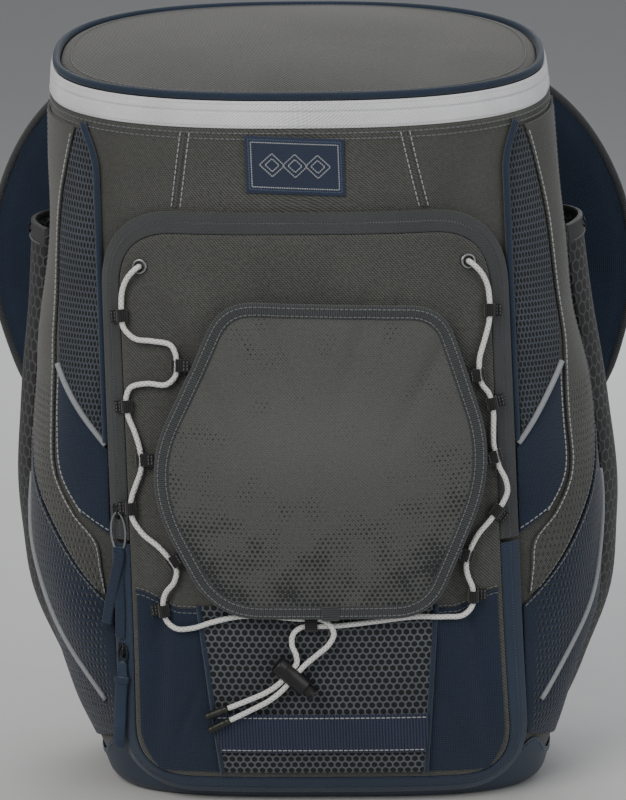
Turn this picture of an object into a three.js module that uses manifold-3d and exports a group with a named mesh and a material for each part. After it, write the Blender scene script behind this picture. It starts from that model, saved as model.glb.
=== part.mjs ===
import * as THREE from 'three';
import { mergeVertices } from 'three/addons/utils/BufferGeometryUtils.js';
import Module from 'manifold-3d';

// Driving dimensions, in millimetres

// Body of the bag
const bodyHeight = 430;
const bodyWidth = 370;
const frontReach = 95;
const backReach = 88;
const rimRise = 47;
const bodyLean = 14;
const bodyWall = 3;

// Clearances between pieces that touch
const seat = 0.3;
const skinGap = 0.8;
const skinThickness = 1.5;

// Boot round the foot of the bag
const bootThickness = 1.5;
const heelRadius = 6;
const bootFront = 9;
const bootSide = 20;
const bootCorner = 36;

// Lid and its zip
const tapeLower = 10;
const tapeUpper = 6.5;
const lidThickness = 3;
const lidCrown = 6;
const lidPipingRadius = 2.5;
const hingeWidth = 190;

// Front pocket and the zip round it
const pocketWidth = 226;
const pocketFlare = 8;
const pocketFoot = 21;
const pocketTop = 368;
const pocketCorner = 34;
const pocketWall = 2;
const pocketGusset = 12;
const pocketCrown = 8;
const zipWidth = 12;
const zipThickness = 1.8;
const zipEnd = 175;

// Mesh and webbing on the pocket
const meshTop = 118;
const meshFoot = 26;
const meshTopWidth = 144;
const meshFootWidth = 128;
const webbingHeight = 25.4;
const webbingFoot = 41;
const webbingThickness = 1.6;

// Helmet holder
const panelLeft = 104;
const panelRight = 112;
const panelTopHeight = 329;
const panelFootHeight = 131;
const panelLift = 8;
const panelThickness = 3;
const panelCrown = 8;
const bindingWidth = 9;
const bindingThickness = 4.6;

// Shock cord, its loops, eyelets and tips
const cordDiameter = 3.5;
const loopClearance = 0.9;
const loopWall = 1;
const loopWidth = 8;
const loopTab = 9;
const eyeletOuter = 5;
const eyeletInner = 3;
const eyeletHeight = 1.5;
const tipLength = 16;
const tipWall = 0.5;

// Cord lock
const lockLength = 24;
const lockDiameter = 12;
const lockAngle = 42;
const lockAcross = -18;
const lockUp = 93;
const lockLift = 8.6;
const lockFloor = 2;
const slotLength = 9.4;
const slotDepth = 4.4;
const plungerDiameter = 8;
const plungerTravel = 3.5;
const plungerShow = 7;
const plungerFlange = 11;
const flangeThickness = 1.5;

// Label patch on the yoke
const patchWidth = 62;
const patchHeight = 34;
const patchAcross = -3;
const patchUp = 408;
const patchThickness = 1.2;

// Bat sleeves
const sleeveTop = 350;
const sleeveFoot = 26;
const sleeveBulge = 18;
const sleeveWall = 2;
const sleeveGap = 0.8;

// Piping down the front edges
const pipingRadius = 2.2;

// Back pad, shoulder straps, webbing, buckles and haul loop
const padWidth = 210;
const padFoot = 60;
const padTop = 362;
const padThickness = 12;
const strapWidth = 62;
const strapThickness = 10;
const strapRootAcross = 52;
const strapRootUp = 430;
const strapReach = 193;
const strapEndUp = 236;
const backWebbingWidth = 25;
const backWebbingThickness = 1.8;
const buckleWidth = 35;
const buckleHeight = 25;
const buckleThickness = 6;
const haulWidth = 90;
const haulRoot = 428;
const haulTop = 484;
const haulBand = 25;
const haulThickness = 3;

// Zip pulls
const pullUpperTop = 190;
const pullUpperLength = 72;
const pullLowerTop = 93;
const pullLowerLength = 55;
const pullThickness = 2.4;

// Worked out from the driving dimensions
const halfBody = bodyWidth / 2;
const shellFloor = bootThickness + skinGap;
const zipStack = tapeLower + tapeUpper + 2 * seat;
const quarter = Math.PI / 2;
const cordRadius = cordDiameter / 2;
const pocketMiddle = (pocketTop + pocketFoot) / 2;
const pocketHalfHeight = (pocketTop - pocketFoot) / 2;

// Sections of the body: height as a share of bodyHeight, then shares of the half width,
// the front reach and the back reach, and how square the section is
const sections = [
  { height: 0.00, width: 0.760, front: 0.90, back: 0.84, square: 3.4 },
  { height: 0.04, width: 0.790, front: 0.94, back: 0.88, square: 3.4 },
  { height: 0.15, width: 0.885, front: 1.00, back: 0.97, square: 3.4 },
  { height: 0.27, width: 0.975, front: 1.00, back: 1.00, square: 3.3 },
  { height: 0.37, width: 1.000, front: 1.00, back: 1.00, square: 3.3 },
  { height: 0.46, width: 1.000, front: 1.00, back: 1.00, square: 3.2 },
  { height: 0.55, width: 0.980, front: 0.98, back: 1.00, square: 3.1 },
  { height: 0.70, width: 0.930, front: 0.93, back: 1.00, square: 3.0 },
  { height: 0.77, width: 0.908, front: 0.90, back: 1.00, square: 2.9 },
  { height: 0.87, width: 0.878, front: 0.86, back: 1.00, square: 2.8 },
  { height: 1.00, width: 0.865, front: 0.80, back: 1.00, square: 2.6 },
  { height: 1.06, width: 0.850, front: 0.79, back: 1.00, square: 2.5 },
];

// Folds in the face of the pocket: place and size as shares of its half width and half
// height, turn in degrees from level, and how deep it is as a share of pocketGusset
const folds = [
  { across: -0.64, up: 0.60, long: 0.30, broad: 0.045, turn: -55, deep: -0.28 },
  { across: -0.20, up: 0.68, long: 0.26, broad: 0.045, turn: -68, deep: -0.24 },
  { across: 0.30, up: 0.66, long: 0.28, broad: 0.050, turn: 62, deep: -0.24 },
  { across: 0.70, up: 0.58, long: 0.30, broad: 0.045, turn: 50, deep: -0.28 },
  { across: -0.88, up: -0.62, long: 0.30, broad: 0.060, turn: 82, deep: -0.42 },
  { across: 0.88, up: -0.66, long: 0.30, broad: 0.060, turn: -82, deep: -0.36 },
];

// Corners of the helmet panel: shares of its reach to each side and of its height
const panelCorners = [
  { across: -0.49, up: 1.00, round: 20 },
  { across: 0.75, up: 0.98, round: 22 },
  { across: 1.00, up: 0.48, round: 36 },
  { across: 0.64, up: 0.00, round: 24 },
  { across: -0.62, up: 0.00, round: 30 },
  { across: -1.00, up: 0.44, round: 40 },
];

// Value of one column of a table at a place along another column, on a smooth curve
function along(rows, key, value, place) {
  const last = rows.length - 1;
  let i = 0;
  while (i < last - 1 && place > rows[i + 1][key]) i += 1;
  const slope = (k) => {
    const a = rows[Math.max(k - 1, 0)];
    const b = rows[Math.min(k + 1, last)];
    return (b[value] - a[value]) / (b[key] - a[key]);
  };
  const span = rows[i + 1][key] - rows[i][key];
  const t = THREE.MathUtils.clamp((place - rows[i][key]) / span, 0, 1);
  const s = t * t * (3 - 2 * t);
  const bend = t * (1 - t) * ((1 - t) * slope(i) - t * slope(i + 1)) * span;
  return rows[i][value] * (1 - s) + rows[i + 1][value] * s + bend;
}

// Half width of the body at a height share
function halfWidthAt(share) {
  return halfBody * along(sections, 'height', 'width', share);
}

// Point on the bare body: turn 0 is the front, 1 the right side, 2 the back
function bodyPoint(turn, share) {
  const angle = turn * quarter;
  const power = 2 / along(sections, 'height', 'square', share);
  const front = Math.cos(angle) > 0;
  const reach = front ? frontReach * along(sections, 'height', 'front', share)
    : backReach * along(sections, 'height', 'back', share);
  const x = halfWidthAt(share) * Math.sign(Math.sin(angle)) * Math.abs(Math.sin(angle)) ** power;
  const y = -reach * Math.sign(Math.cos(angle)) * Math.abs(Math.cos(angle)) ** power;
  const rise = rimRise * THREE.MathUtils.smoothstep(share, 0.7, 1)
    * (y + frontReach) / (frontReach + backReach);
  const z = share * bodyHeight + rise;
  return new THREE.Vector3(x - bodyLean * z / bodyHeight, y, z);
}

// Point at a distance out from the body, along its normal
function bodySurface(turn, share, out = 0) {
  const step = 0.01;
  const side = bodyPoint(turn + step, share).sub(bodyPoint(turn - step, share));
  const rise = bodyPoint(turn, share + step).sub(bodyPoint(turn, share - step));
  const normal = side.cross(rise).normalize();
  return bodyPoint(turn, share).addScaledVector(normal, out);
}

// Turn at which the body reaches a distance to the side of its middle
function turnAt(across, share) {
  const power = along(sections, 'height', 'square', share) / 2;
  const part = Math.min(Math.abs(across) / halfWidthAt(share), 1);
  return Math.sign(across) * Math.asin(part ** power) / quarter;
}

// Point over the front of the body, by its distance across and up
function onFront(across, up, out) {
  const share = up / bodyHeight;
  return bodySurface(turnAt(across, share), share, out);
}

// Closed body from triangles over a list of points
function meshOf(points, faces) {
  const geometry = new THREE.BufferGeometry();
  const flat = points.flatMap((p) => [p.x, p.y, p.z]);
  geometry.setAttribute('position', new THREE.Float32BufferAttribute(flat, 3));
  geometry.setIndex(faces);
  return geometry;
}

// Closed body through rings of equal count; its ends are fans, or strips across a crescent,
// or it closes on itself
function ringLoft(rings, closed = false, crescent = false) {
  const count = rings[0].length;
  const points = rings.flat();
  const faces = [];
  const rows = closed ? rings.length : rings.length - 1;
  for (let r = 0; r < rows; r += 1) {
    const next = (r + 1) % rings.length;
    for (let i = 0; i < count; i += 1) {
      const j = (i + 1) % count;
      const [a, b] = [r * count + i, r * count + j];
      const [c, d] = [next * count + i, next * count + j];
      faces.push(a, b, d, a, d, c);
    }
  }
  if (crescent) {
    const base = (rings.length - 1) * count;
    for (let i = 0; i < count / 2 - 1; i += 1) {
      const [a, b, c, d] = [i, i + 1, count - 2 - i, count - 1 - i];
      faces.push(a, d, c, a, c, b);
      faces.push(base + a, base + c, base + d, base + a, base + b, base + c);
    }
  } else if (!closed) {
    [rings[0], rings.at(-1)].forEach((ring, end) => {
      const middle = ring.reduce((sum, p) => sum.add(p), new THREE.Vector3());
      points.push(middle.divideScalar(count));
      const hub = points.length - 1;
      const base = end * (rings.length - 1) * count;
      for (let i = 0; i < count; i += 1) {
        const pair = [base + i, base + (i + 1) % count];
        faces.push(hub, ...(end ? pair : pair.reverse()));
      }
    });
  }
  return meshOf(points, faces);
}

// Thin closed sheet between two grids, given as functions of two shares
function sheet(columns, rows, outer, inner) {
  const points = [];
  for (const face of [outer, inner]) {
    for (let r = 0; r <= rows; r += 1) {
      for (let c = 0; c <= columns; c += 1) points.push(face(c / columns, r / rows));
    }
  }
  const wide = columns + 1;
  const back = wide * (rows + 1);
  const faces = [];
  const quad = (a, b, c, d) => faces.push(a, b, c, a, c, d);
  for (let r = 0; r < rows; r += 1) {
    for (let c = 0; c < columns; c += 1) {
      const a = r * wide + c;
      quad(a, a + 1, a + 1 + wide, a + wide);
      quad(back + a, back + a + wide, back + a + 1 + wide, back + a + 1);
    }
  }
  for (let c = 0; c < columns; c += 1) {
    const top = rows * wide + c;
    quad(c, back + c, back + c + 1, c + 1);
    quad(top, top + 1, back + top + 1, back + top);
  }
  for (let r = 0; r < rows; r += 1) {
    const [a, b] = [r * wide, r * wide + columns];
    quad(a, a + wide, back + a + wide, back + a);
    quad(b, back + b, back + b + wide, b + wide);
  }
  return meshOf(points, faces);
}

// Round tube of flat sides along points, as an extrusion
function tube(points, radius, sides, steps) {
  const shape = new THREE.Shape();
  for (let i = 0; i < sides; i += 1) {
    const angle = (i + 0.5) * 2 * Math.PI / sides;
    const corner = [radius * Math.cos(angle), radius * Math.sin(angle)];
    if (i === 0) shape.moveTo(...corner);
    else shape.lineTo(...corner);
  }
  const path = new THREE.CatmullRomCurve3(points, false, 'centripetal');
  return new THREE.ExtrudeGeometry(shape, { steps, bevelEnabled: false, extrudePath: path });
}

// Outline through corners, each rounded by its own radius, as evenly spaced points
function roundedOutline(corners, count) {
  const shape = new THREE.Shape();
  corners.forEach((corner, i) => {
    const here = new THREE.Vector2(corner.x, corner.y);
    const toward = (other) => new THREE.Vector2(other.x, other.y).sub(here)
      .setLength(corner.round).add(here);
    const before = toward(corners.at(i - 1));
    const after = toward(corners[(i + 1) % corners.length]);
    if (i === 0) shape.moveTo(before.x, before.y);
    else shape.lineTo(before.x, before.y);
    shape.quadraticCurveTo(here.x, here.y, after.x, after.y);
  });
  shape.closePath();
  return shape.getSpacedPoints(count).slice(0, count);
}

// The same outline moved outwards by a distance, for outlines that run clockwise
function grown(outline, distance, open = false) {
  const last = outline.length - 1;
  return outline.map((point, i) => {
    const next = open ? outline[Math.min(i + 1, last)] : outline[(i + 1) % outline.length];
    const before = open ? outline[Math.max(i - 1, 0)] : outline.at(i - 1);
    const way = next.clone().sub(before).normalize();
    return new THREE.Vector2(point.x - way.y * distance, point.y + way.x * distance);
  });
}

// The stretch of an outline that lies over or under a level, with its ends on the level
function cutAt(outline, level, over) {
  const kept = (point) => (over ? point.y > level : point.y < level);
  const cross = (a, b) => a.clone().lerp(b, (level - a.y) / (b.y - a.y));
  const at = (i) => outline[i % outline.length];
  let i = outline.findIndex((point, k) => kept(point) && !kept(outline.at(k - 1)));
  const line = [cross(outline.at(i - 1), outline[i])];
  for (; kept(at(i)); i += 1) line.push(at(i));
  return [...line, cross(at(i - 1), at(i))];
}

// The same outline drawn in towards a middle by a share
function drawnIn(outline, middle, share) {
  return outline.map((point) => point.clone().lerp(middle, share));
}

const wasm = await Module();
wasm.setup();

// Closed geometry as a solid that can be cut and joined
function solidOf(source) {
  const bare = source.clone();
  bare.deleteAttribute('normal');
  bare.deleteAttribute('uv');
  const merged = mergeVertices(bare, 1e-4);
  return new wasm.Manifold(new wasm.Mesh({
    numProp: 3,
    vertProperties: new Float32Array(merged.attributes.position.array),
    triVerts: new Uint32Array(merged.index.array),
  }));
}

// Geometry of a solid
function geometryOf(solid) {
  const mesh = solid.getMesh();
  const geometry = new THREE.BufferGeometry();
  geometry.setAttribute('position', new THREE.Float32BufferAttribute(mesh.vertProperties, 3));
  geometry.setIndex([...mesh.triVerts]);
  return geometry;
}

const bag = new THREE.Group();

// Adds one named piece with its own finish
function add(name, geometry, colour, roughness, metalness = 0) {
  const material = new THREE.MeshStandardMaterial({ color: colour, roughness, metalness });
  const mesh = new THREE.Mesh(geometry, material);
  mesh.name = name;
  bag.add(mesh);
  return mesh;
}

const sides = [
  { name: 'l', hand: -1 },
  { name: 'r', hand: 1 },
];
const colours = {
  twill: 0x545553, navy: 0x243347, piping: 0x2b3a4f, boot: 0x3a4658, white: 0xe6e7ec,
  binding: 0x3e4042, sleeve: 0x3b3c3d, webbing: 0x2a3350, mesh: 0x4a5058, cord: 0xe8e8e6,
  black: 0x1a1a1a, tip: 0x23261f, steel: 0x9a9da0, pad: 0x2e3a4b,
};

// Ring round the body at a height share, at a distance out
const around = 32;
function bodyRing(share, out, level = null) {
  return Array.from({ length: around }, (_, i) => {
    const point = bodySurface(4 * i / around, share, out);
    if (level !== null) point.z = level;
    return point;
  });
}

// Rings of the rounded heel, from the underside to its upright
function heelRings(out) {
  return [0, 45, 90].map((degrees) => {
    const angle = THREE.MathUtils.degToRad(degrees);
    const radius = heelRadius + out;
    const level = shellFloor + heelRadius - radius * Math.cos(angle);
    return bodyRing(level / bodyHeight, radius * Math.sin(angle) - heelRadius, level);
  });
}

// Main compartment: a hollow shell, open at its rim
function mainShell() {
  const shares = [0.08, 0.15, 0.27, 0.46, 0.7, 0.85, 1];
  return ringLoft([
    ...heelRings(0),
    ...shares.map((share) => bodyRing(share, 0)),
    ...shares.toReversed().map((share) => bodyRing(share, -bodyWall)),
    ...heelRings(-bodyWall).toReversed(),
  ]);
}

// Height of the boot's edge: low in front, raised in points at the front corners
function bootEdge(turn) {
  const front = Math.abs(Math.abs(turn > 2 ? turn - 4 : turn));
  const point = Math.exp(-(((front - 0.6) / 0.14) ** 2));
  const plain = bootFront + (bootSide - bootFront) * THREE.MathUtils.smoothstep(front, 0.45, 0.8);
  return plain + (bootCorner - plain) * point;
}

function bootEdgeRing(out) {
  return Array.from({ length: around }, (_, i) => {
    const turn = 4 * i / around;
    const level = bootEdge(turn);
    const point = bodySurface(turn, level / bodyHeight, out);
    point.z = level;
    return point;
  });
}

function baseBoot() {
  const outer = skinGap + bootThickness;
  return ringLoft([
    ...heelRings(outer),
    bootEdgeRing(outer),
    bootEdgeRing(skinGap),
    ...heelRings(skinGap).toReversed(),
  ]);
}

add('main_shell', mainShell(), colours.twill, 0.9);
add('base_boot', baseBoot(), colours.boot, 0.45);

// Height share of a level measured up from the rim of the shell
function overRim(level) {
  return 1 + level / bodyHeight;
}

// Band that stands on the rim between two turns and two levels
function rimBand(from, to, columns, low, high) {
  const level = (v) => overRim(low + (high - low) * v);
  const place = (u, v, out) => bodySurface(from + (to - from) * u, level(v), out);
  return sheet(columns, 1, (u, v) => place(u, v, 0), (u, v) => place(u, v, -bodyWall));
}

const hingeTurn = 2 - Math.abs(turnAt(hingeWidth / 2, 1));
const hingeSeat = seat / bodyWidth;
add('zip_tape_lower', rimBand(-hingeTurn + hingeSeat, hingeTurn - hingeSeat, 34,
  seat, seat + tapeLower), colours.white, 0.7);
add('zip_tape_upper', rimBand(-hingeTurn + hingeSeat, hingeTurn - hingeSeat, 34,
  2 * seat + tapeLower, zipStack), colours.white, 0.7);
add('lid_hinge', rimBand(hingeTurn + hingeSeat, 4 - hingeTurn - hingeSeat, 8,
  seat, zipStack), colours.twill, 0.9);

// Lid: a crowned plate inside its piping
function lidRing(out, level) {
  return bodyRing(overRim(level), out);
}

function lidPanel() {
  const base = zipStack + seat;
  const edge = -2 * lidPipingRadius - seat;
  const plate = lidRing(edge, base);
  const middle = plate.reduce((sum, p) => sum.add(p), new THREE.Vector3())
    .divideScalar(plate.length);
  const dome = (share) => plate.map((p) => {
    const point = p.clone().lerp(middle, share);
    point.z += lidThickness + lidCrown * (1 - (1 - share) ** 2);
    return point;
  });
  return ringLoft([plate, dome(0), dome(0.15), dome(0.4), dome(0.7)]);
}

function lidPiping() {
  const corners = 6;
  const level = zipStack + seat + lidPipingRadius;
  const rings = [];
  for (let k = 0; k < corners; k += 1) {
    const angle = (k + 0.5) * 2 * Math.PI / corners;
    const out = -lidPipingRadius - lidPipingRadius * Math.cos(angle);
    rings.push(lidRing(out + seat / 2, level - lidPipingRadius * Math.sin(angle)));
  }
  return ringLoft(rings, true);
}

add('lid_panel', lidPanel(), colours.twill, 0.9);
add('lid_piping', lidPiping(), colours.piping, 0.8);

// Half width of the pocket at a height, flaring a little to its foot
function pocketHalfWidth(up) {
  return (pocketWidth + pocketFlare * (1 - up / pocketTop)) / 2;
}

// How far the pocket's face stands off the body: its gusset, its crown and its folds
function pocketStand(across, up) {
  const u = THREE.MathUtils.clamp(across / pocketHalfWidth(up), -1, 1);
  const v = THREE.MathUtils.clamp((up - pocketMiddle) / pocketHalfHeight, -1, 1);
  let fold = 0;
  for (const row of folds) {
    const angle = THREE.MathUtils.degToRad(row.turn);
    const [du, dv] = [u - row.across, v - row.up];
    const lengthwise = du * Math.cos(angle) + dv * Math.sin(angle);
    const sideways = dv * Math.cos(angle) - du * Math.sin(angle);
    fold += row.deep * Math.exp(-((lengthwise / row.long) ** 2) - (sideways / row.broad) ** 2);
  }
  const edge = (1 - u ** 8) * (1 - v ** 8);
  return pocketGusset * (1 + fold * edge) + pocketCrown * (1 - u * u) * (1 - v * v);
}

// Point over the pocket's face, by its distance across and up
function onPocket(across, up, out = 0) {
  return onFront(across, up, pocketStand(across, up) + out);
}

const pocketCount = 44;
const pocketOutline = roundedOutline([
  { x: -pocketHalfWidth(pocketFoot), y: pocketFoot, round: pocketCorner },
  { x: -pocketHalfWidth(pocketTop), y: pocketTop, round: pocketCorner },
  { x: pocketHalfWidth(pocketTop), y: pocketTop, round: pocketCorner },
  { x: pocketHalfWidth(pocketFoot), y: pocketFoot, round: pocketCorner },
], pocketCount);

// Pocket: a hollow tray, open at its back where it meets the body
function frontPocket() {
  const centre = new THREE.Vector2(0, pocketMiddle);
  const on = (outline, place) => outline.map((p) => place(p.x, p.y));
  const shoulder = pocketWall + 1;
  const face = [0, 0.12, 0.3, 0.5, 0.75].map((share) => (
    on(drawnIn(grown(pocketOutline, -shoulder), centre, share), (x, z) => onPocket(x, z))));
  const lining = (share) => drawnIn(grown(pocketOutline, -shoulder), centre, share);
  const back = [0.75, 0.4, 0].map((share) => (
    on(lining(share), (x, z) => onPocket(x, z, -pocketWall))));
  const rim = skinGap;
  return ringLoft([
    ...back,
    on(grown(pocketOutline, -pocketWall), (x, z) => onFront(x, z, rim)),
    on(pocketOutline, (x, z) => onFront(x, z, rim)),
    on(pocketOutline, (x, z) => onFront(x, z, pocketGusset - pocketWall)),
    ...face,
  ].toReversed());
}

add('front_pocket', frontPocket(), colours.twill, 0.9);

// Zip strip outside the pocket's edge, sloping from the pocket down over the boot
function zipStrip(line) {
  const inner = grown(line, seat, true);
  const outer = grown(line, zipWidth, true);
  const low = bootThickness + skinGap + 2 * seat + zipThickness;
  const high = pocketGusset - pocketWall;
  const place = (u, v, out) => {
    const i = Math.round(u * (line.length - 1));
    const point = inner[i].clone().lerp(outer[i], v);
    return onFront(point.x, point.y, high + (low - high) * v + out);
  };
  return sheet(line.length - 1, 1, (u, v) => place(u, v, 0),
    (u, v) => place(u, v, -zipThickness));
}

add('pocket_zipper', zipStrip(cutAt(pocketOutline, zipEnd + seat, true)), colours.binding, 0.8);
add('base_zipper', zipStrip(cutAt(pocketOutline, zipEnd - seat, false)), colours.navy, 0.8);

// Mesh and webbing on the lower pocket
function meshHalfWidth(up) {
  const share = (up - meshFoot) / (meshTop - meshFoot);
  return (meshFootWidth + (meshTopWidth - meshFootWidth) * share) / 2;
}

function pocketPatch(columns, rows, low, high, halfWidth, out, thickness) {
  const place = (u, v, extra) => {
    const up = low + (high - low) * v;
    return onPocket(halfWidth(up) * (2 * u - 1), up, extra);
  };
  return sheet(columns, rows, (u, v) => place(u, v, out + thickness), (u, v) => place(u, v, out));
}

add('mesh_pocket', pocketPatch(8, 5, meshFoot, meshTop, meshHalfWidth, skinGap,
  skinThickness), colours.mesh, 0.85);
add('mesh_webbing', pocketPatch(8, 1, webbingFoot, webbingFoot + webbingHeight, meshHalfWidth,
  2 * skinGap + skinThickness, webbingThickness), colours.webbing, 0.8);

// Patch on the yoke, bare of any words
function labelPatch() {
  const place = (u, v, out) => onFront(patchAcross + patchWidth * (u - 0.5),
    patchUp + patchHeight * (v - 0.5), out);
  return sheet(5, 2, (u, v) => place(u, v, skinGap + patchThickness),
    (u, v) => place(u, v, skinGap));
}

add('label_patch', labelPatch(), colours.webbing, 0.8);

// Helmet panel: a crowned hexagon with a bound edge
const panelHeight = panelTopHeight - panelFootHeight;
const panelCentre = new THREE.Vector2((panelRight - panelLeft) / 2,
  panelFootHeight + panelHeight / 2);
const panelOutline = roundedOutline(panelCorners.map((corner) => ({
  x: corner.across * (corner.across > 0 ? panelRight : panelLeft),
  y: panelFootHeight + corner.up * panelHeight,
  round: corner.round,
})), 36);

// Point over the pocket at the level of the panel's underside, by share from edge to middle
function overPanel(outline, share, out) {
  const crown = panelCrown * (1 - (1 - share) ** 2);
  return drawnIn(outline, panelCentre, share)
    .map((p) => onPocket(p.x, p.y, panelLift + crown + out));
}

function helmetPanel() {
  const edge = grown(panelOutline, -bindingWidth - seat);
  const low = (bindingThickness - panelThickness) / 2;
  const steps = [0, 0.25, 0.6];
  return ringLoft([
    ...steps.toReversed().map((share) => overPanel(edge, share, low)),
    ...steps.map((share) => overPanel(edge, share, low + panelThickness)),
  ].toReversed());
}

function helmetBinding() {
  const inner = grown(panelOutline, -bindingWidth);
  const soft = bindingThickness / 3;
  const trim = grown(panelOutline, -bindingWidth / 8);
  return ringLoft([
    overPanel(inner, 0, 0),
    overPanel(trim, 0, 0),
    overPanel(panelOutline, 0, soft),
    overPanel(panelOutline, 0, bindingThickness - soft),
    overPanel(trim, 0, bindingThickness),
    overPanel(inner, 0, bindingThickness),
  ].toReversed(), true);
}

add('helmet_panel', helmetPanel(), colours.twill, 0.9);
add('helmet_binding', helmetBinding(), colours.binding, 0.85);

// Height share of the body at a level, and the outer edge of the zip at that level
function zipSide(share) {
  const up = share * bodyHeight;
  return turnAt(pocketHalfWidth(Math.min(up, pocketTop)) + zipWidth + 2 * seat, share);
}

// Piping down each front edge: its turn at each height share, never inside the zip
const pipingRows = [
  { share: 0.55, turn: 0.405 },
  { share: 0.64, turn: 0.420 },
  { share: 0.71, turn: 0.450 },
  { share: 0.82, turn: 0.490 },
  { share: 0.885, turn: 0.495 },
  { share: 0.95, turn: 0.535 },
  { share: 0.99, turn: 0.590 },
];
function pipingTurn(share) {
  const room = turnAt(pocketHalfWidth(share * bodyHeight) + zipWidth
    + pipingRadius + 3 * seat, share);
  return Math.max(along(pipingRows, 'share', 'turn', share), room);
}

function frontPiping(hand) {
  const low = pipingRows[0].share;
  const high = pipingRows.at(-1).share;
  const points = Array.from({ length: 12 }, (_, i) => {
    const share = low + (high - low) * i / 11;
    return bodySurface(hand * pipingTurn(share), share, pipingRadius + skinGap);
  });
  return tube(points, pipingRadius, 6, 16);
}

// Panels of each side: turn and height share of their inner and outer edges, top to foot
const sideSheets = {
  mesh: [
    { inner: 0, innerShare: 0.980, outer: 0.625, outerShare: 0.980 },
    { inner: 0, innerShare: 0.940, outer: 0.670, outerShare: 0.940 },
    { inner: 0, innerShare: 0.885, outer: 0.710, outerShare: 0.885 },
    { inner: 0, innerShare: 0.820, outer: 0.725, outerShare: 0.820 },
    { inner: 0, innerShare: 0.710, outer: 0.700, outerShare: 0.730 },
    { inner: 0, innerShare: 0.620, outer: 0.675, outerShare: 0.685 },
    { inner: 0, innerShare: 0.558, outer: 0.665, outerShare: 0.664 },
  ],
  panel: [
    { inner: 0.640, innerShare: 0.980, outer: 1.00, outerShare: 0.980 },
    { inner: 0.730, innerShare: 0.885, outer: 1.00, outerShare: 0.900 },
    { inner: 0.745, innerShare: 0.820, outer: 1.00, outerShare: 0.820 },
    { inner: 0.720, innerShare: 0.710, outer: 1.00, outerShare: 0.710 },
    { inner: 0.690, innerShare: 0.650, outer: 1.00, outerShare: 0.640 },
    { inner: 0.665, innerShare: 0.575, outer: 0.96, outerShare: 0.570 },
    { inner: 0.630, innerShare: 0.500, outer: 0.88, outerShare: 0.527 },
    { inner: 0.530, innerShare: 0.440, outer: 0.78, outerShare: 0.480 },
    { inner: 0.430, innerShare: 0.400, outer: 0.66, outerShare: 0.425 },
    { inner: 0.415, innerShare: 0.355, outer: 0.55, outerShare: 0.375 },
    { inner: 0.410, innerShare: 0.318, outer: 0.43, outerShare: 0.322 },
  ],
  leaf: [
    { inner: 0, innerShare: 0.538, outer: 0.662, outerShare: 0.650 },
    { inner: 0, innerShare: 0.500, outer: 0.640, outerShare: 0.575 },
    { inner: 0, innerShare: 0.455, outer: 0.600, outerShare: 0.500 },
    { inner: 0, innerShare: 0.412, outer: 0.490, outerShare: 0.440 },
  ],
  lower: [
    { inner: 0, innerShare: 0.300, outer: 0.97, outerShare: 0.548 },
    { inner: 0, innerShare: 0.250, outer: 1.00, outerShare: 0.420 },
    { inner: 0, innerShare: 0.200, outer: 1.00, outerShare: 0.300 },
    { inner: 0, innerShare: 0.150, outer: 1.00, outerShare: 0.180 },
    { inner: 0, innerShare: 0.096, outer: 1.00, outerShare: 0.062 },
  ],
};

// One such panel; its inner edge keeps clear of the piping above and of the zip below
function sideSheet(rows, hand, columns, steps) {
  const table = rows.map((row, i) => ({ ...row, place: i / (rows.length - 1) }));
  const place = (u, v, out) => {
    const read = (key) => along(table, 'place', key, 1 - v);
    const w = hand > 0 ? u : 1 - u;
    const innerShare = read('innerShare');
    const clear = innerShare > pipingRows[0].share
      ? pipingTurn(innerShare) + (pipingRadius + 3 * seat) / halfBody : zipSide(innerShare) + 0.01;
    const inner = Math.max(read('inner'), clear);
    const turn = inner + (Math.max(read('outer'), inner + 0.01) - inner) * w;
    const share = innerShare + (read('outerShare') - innerShare) * w;
    return bodySurface(hand * turn, share, out);
  };
  return sheet(columns, steps, (u, v) => place(u, v, skinGap + skinThickness),
    (u, v) => place(u, v, skinGap));
}

// Bulge of a bat sleeve from its foot to its rim, as shares of its height and sleeveBulge
const sleeveRows = [
  { rise: 0.00, bulge: 0.20 },
  { rise: 0.04, bulge: 0.50 },
  { rise: 0.12, bulge: 0.80 },
  { rise: 0.30, bulge: 1.00 },
  { rise: 0.65, bulge: 1.00 },
  { rise: 1.00, bulge: 1.05 },
];
const sleeveFront = 1.02;
const sleeveRear = 1.5;

// Bat sleeve: a hollow sock against the side of the body, open at its rim
function batSleeve(hand) {
  const arc = 7;
  const ring = (rise, inset) => {
    const share = (sleeveFoot + (sleeveTop - sleeveFoot) * rise + (rise ? 0 : inset)) / bodyHeight;
    const bulge = sleeveBulge * along(sleeveRows, 'rise', 'bulge', rise);
    const margin = inset / halfBody;
    const at = (i) => sleeveFront + margin + (sleeveRear - sleeveFront - 2 * margin) * i / arc;
    const outer = (i) => bodySurface(hand * at(i), share,
      sleeveGap + 2 * sleeveWall + bulge * Math.sin(Math.PI * i / arc) ** 0.7 - inset);
    const inner = (i) => bodySurface(hand * at(i), share, sleeveGap + inset);
    const steps = Array.from({ length: arc + 1 }, (_, i) => i);
    const points = [...steps.map(outer), ...steps.toReversed().map(inner)];
    return hand > 0 ? points : points.toReversed();
  };
  const rises = [0, 0.04, 0.12, 0.21, 0.3, 0.41, 0.53, 0.65, 0.82, 1];
  return ringLoft([
    ...rises.map((rise) => ring(rise, 0)),
    ...rises.toReversed().map((rise) => ring(rise, sleeveWall)),
  ], false, true);
}

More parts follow.
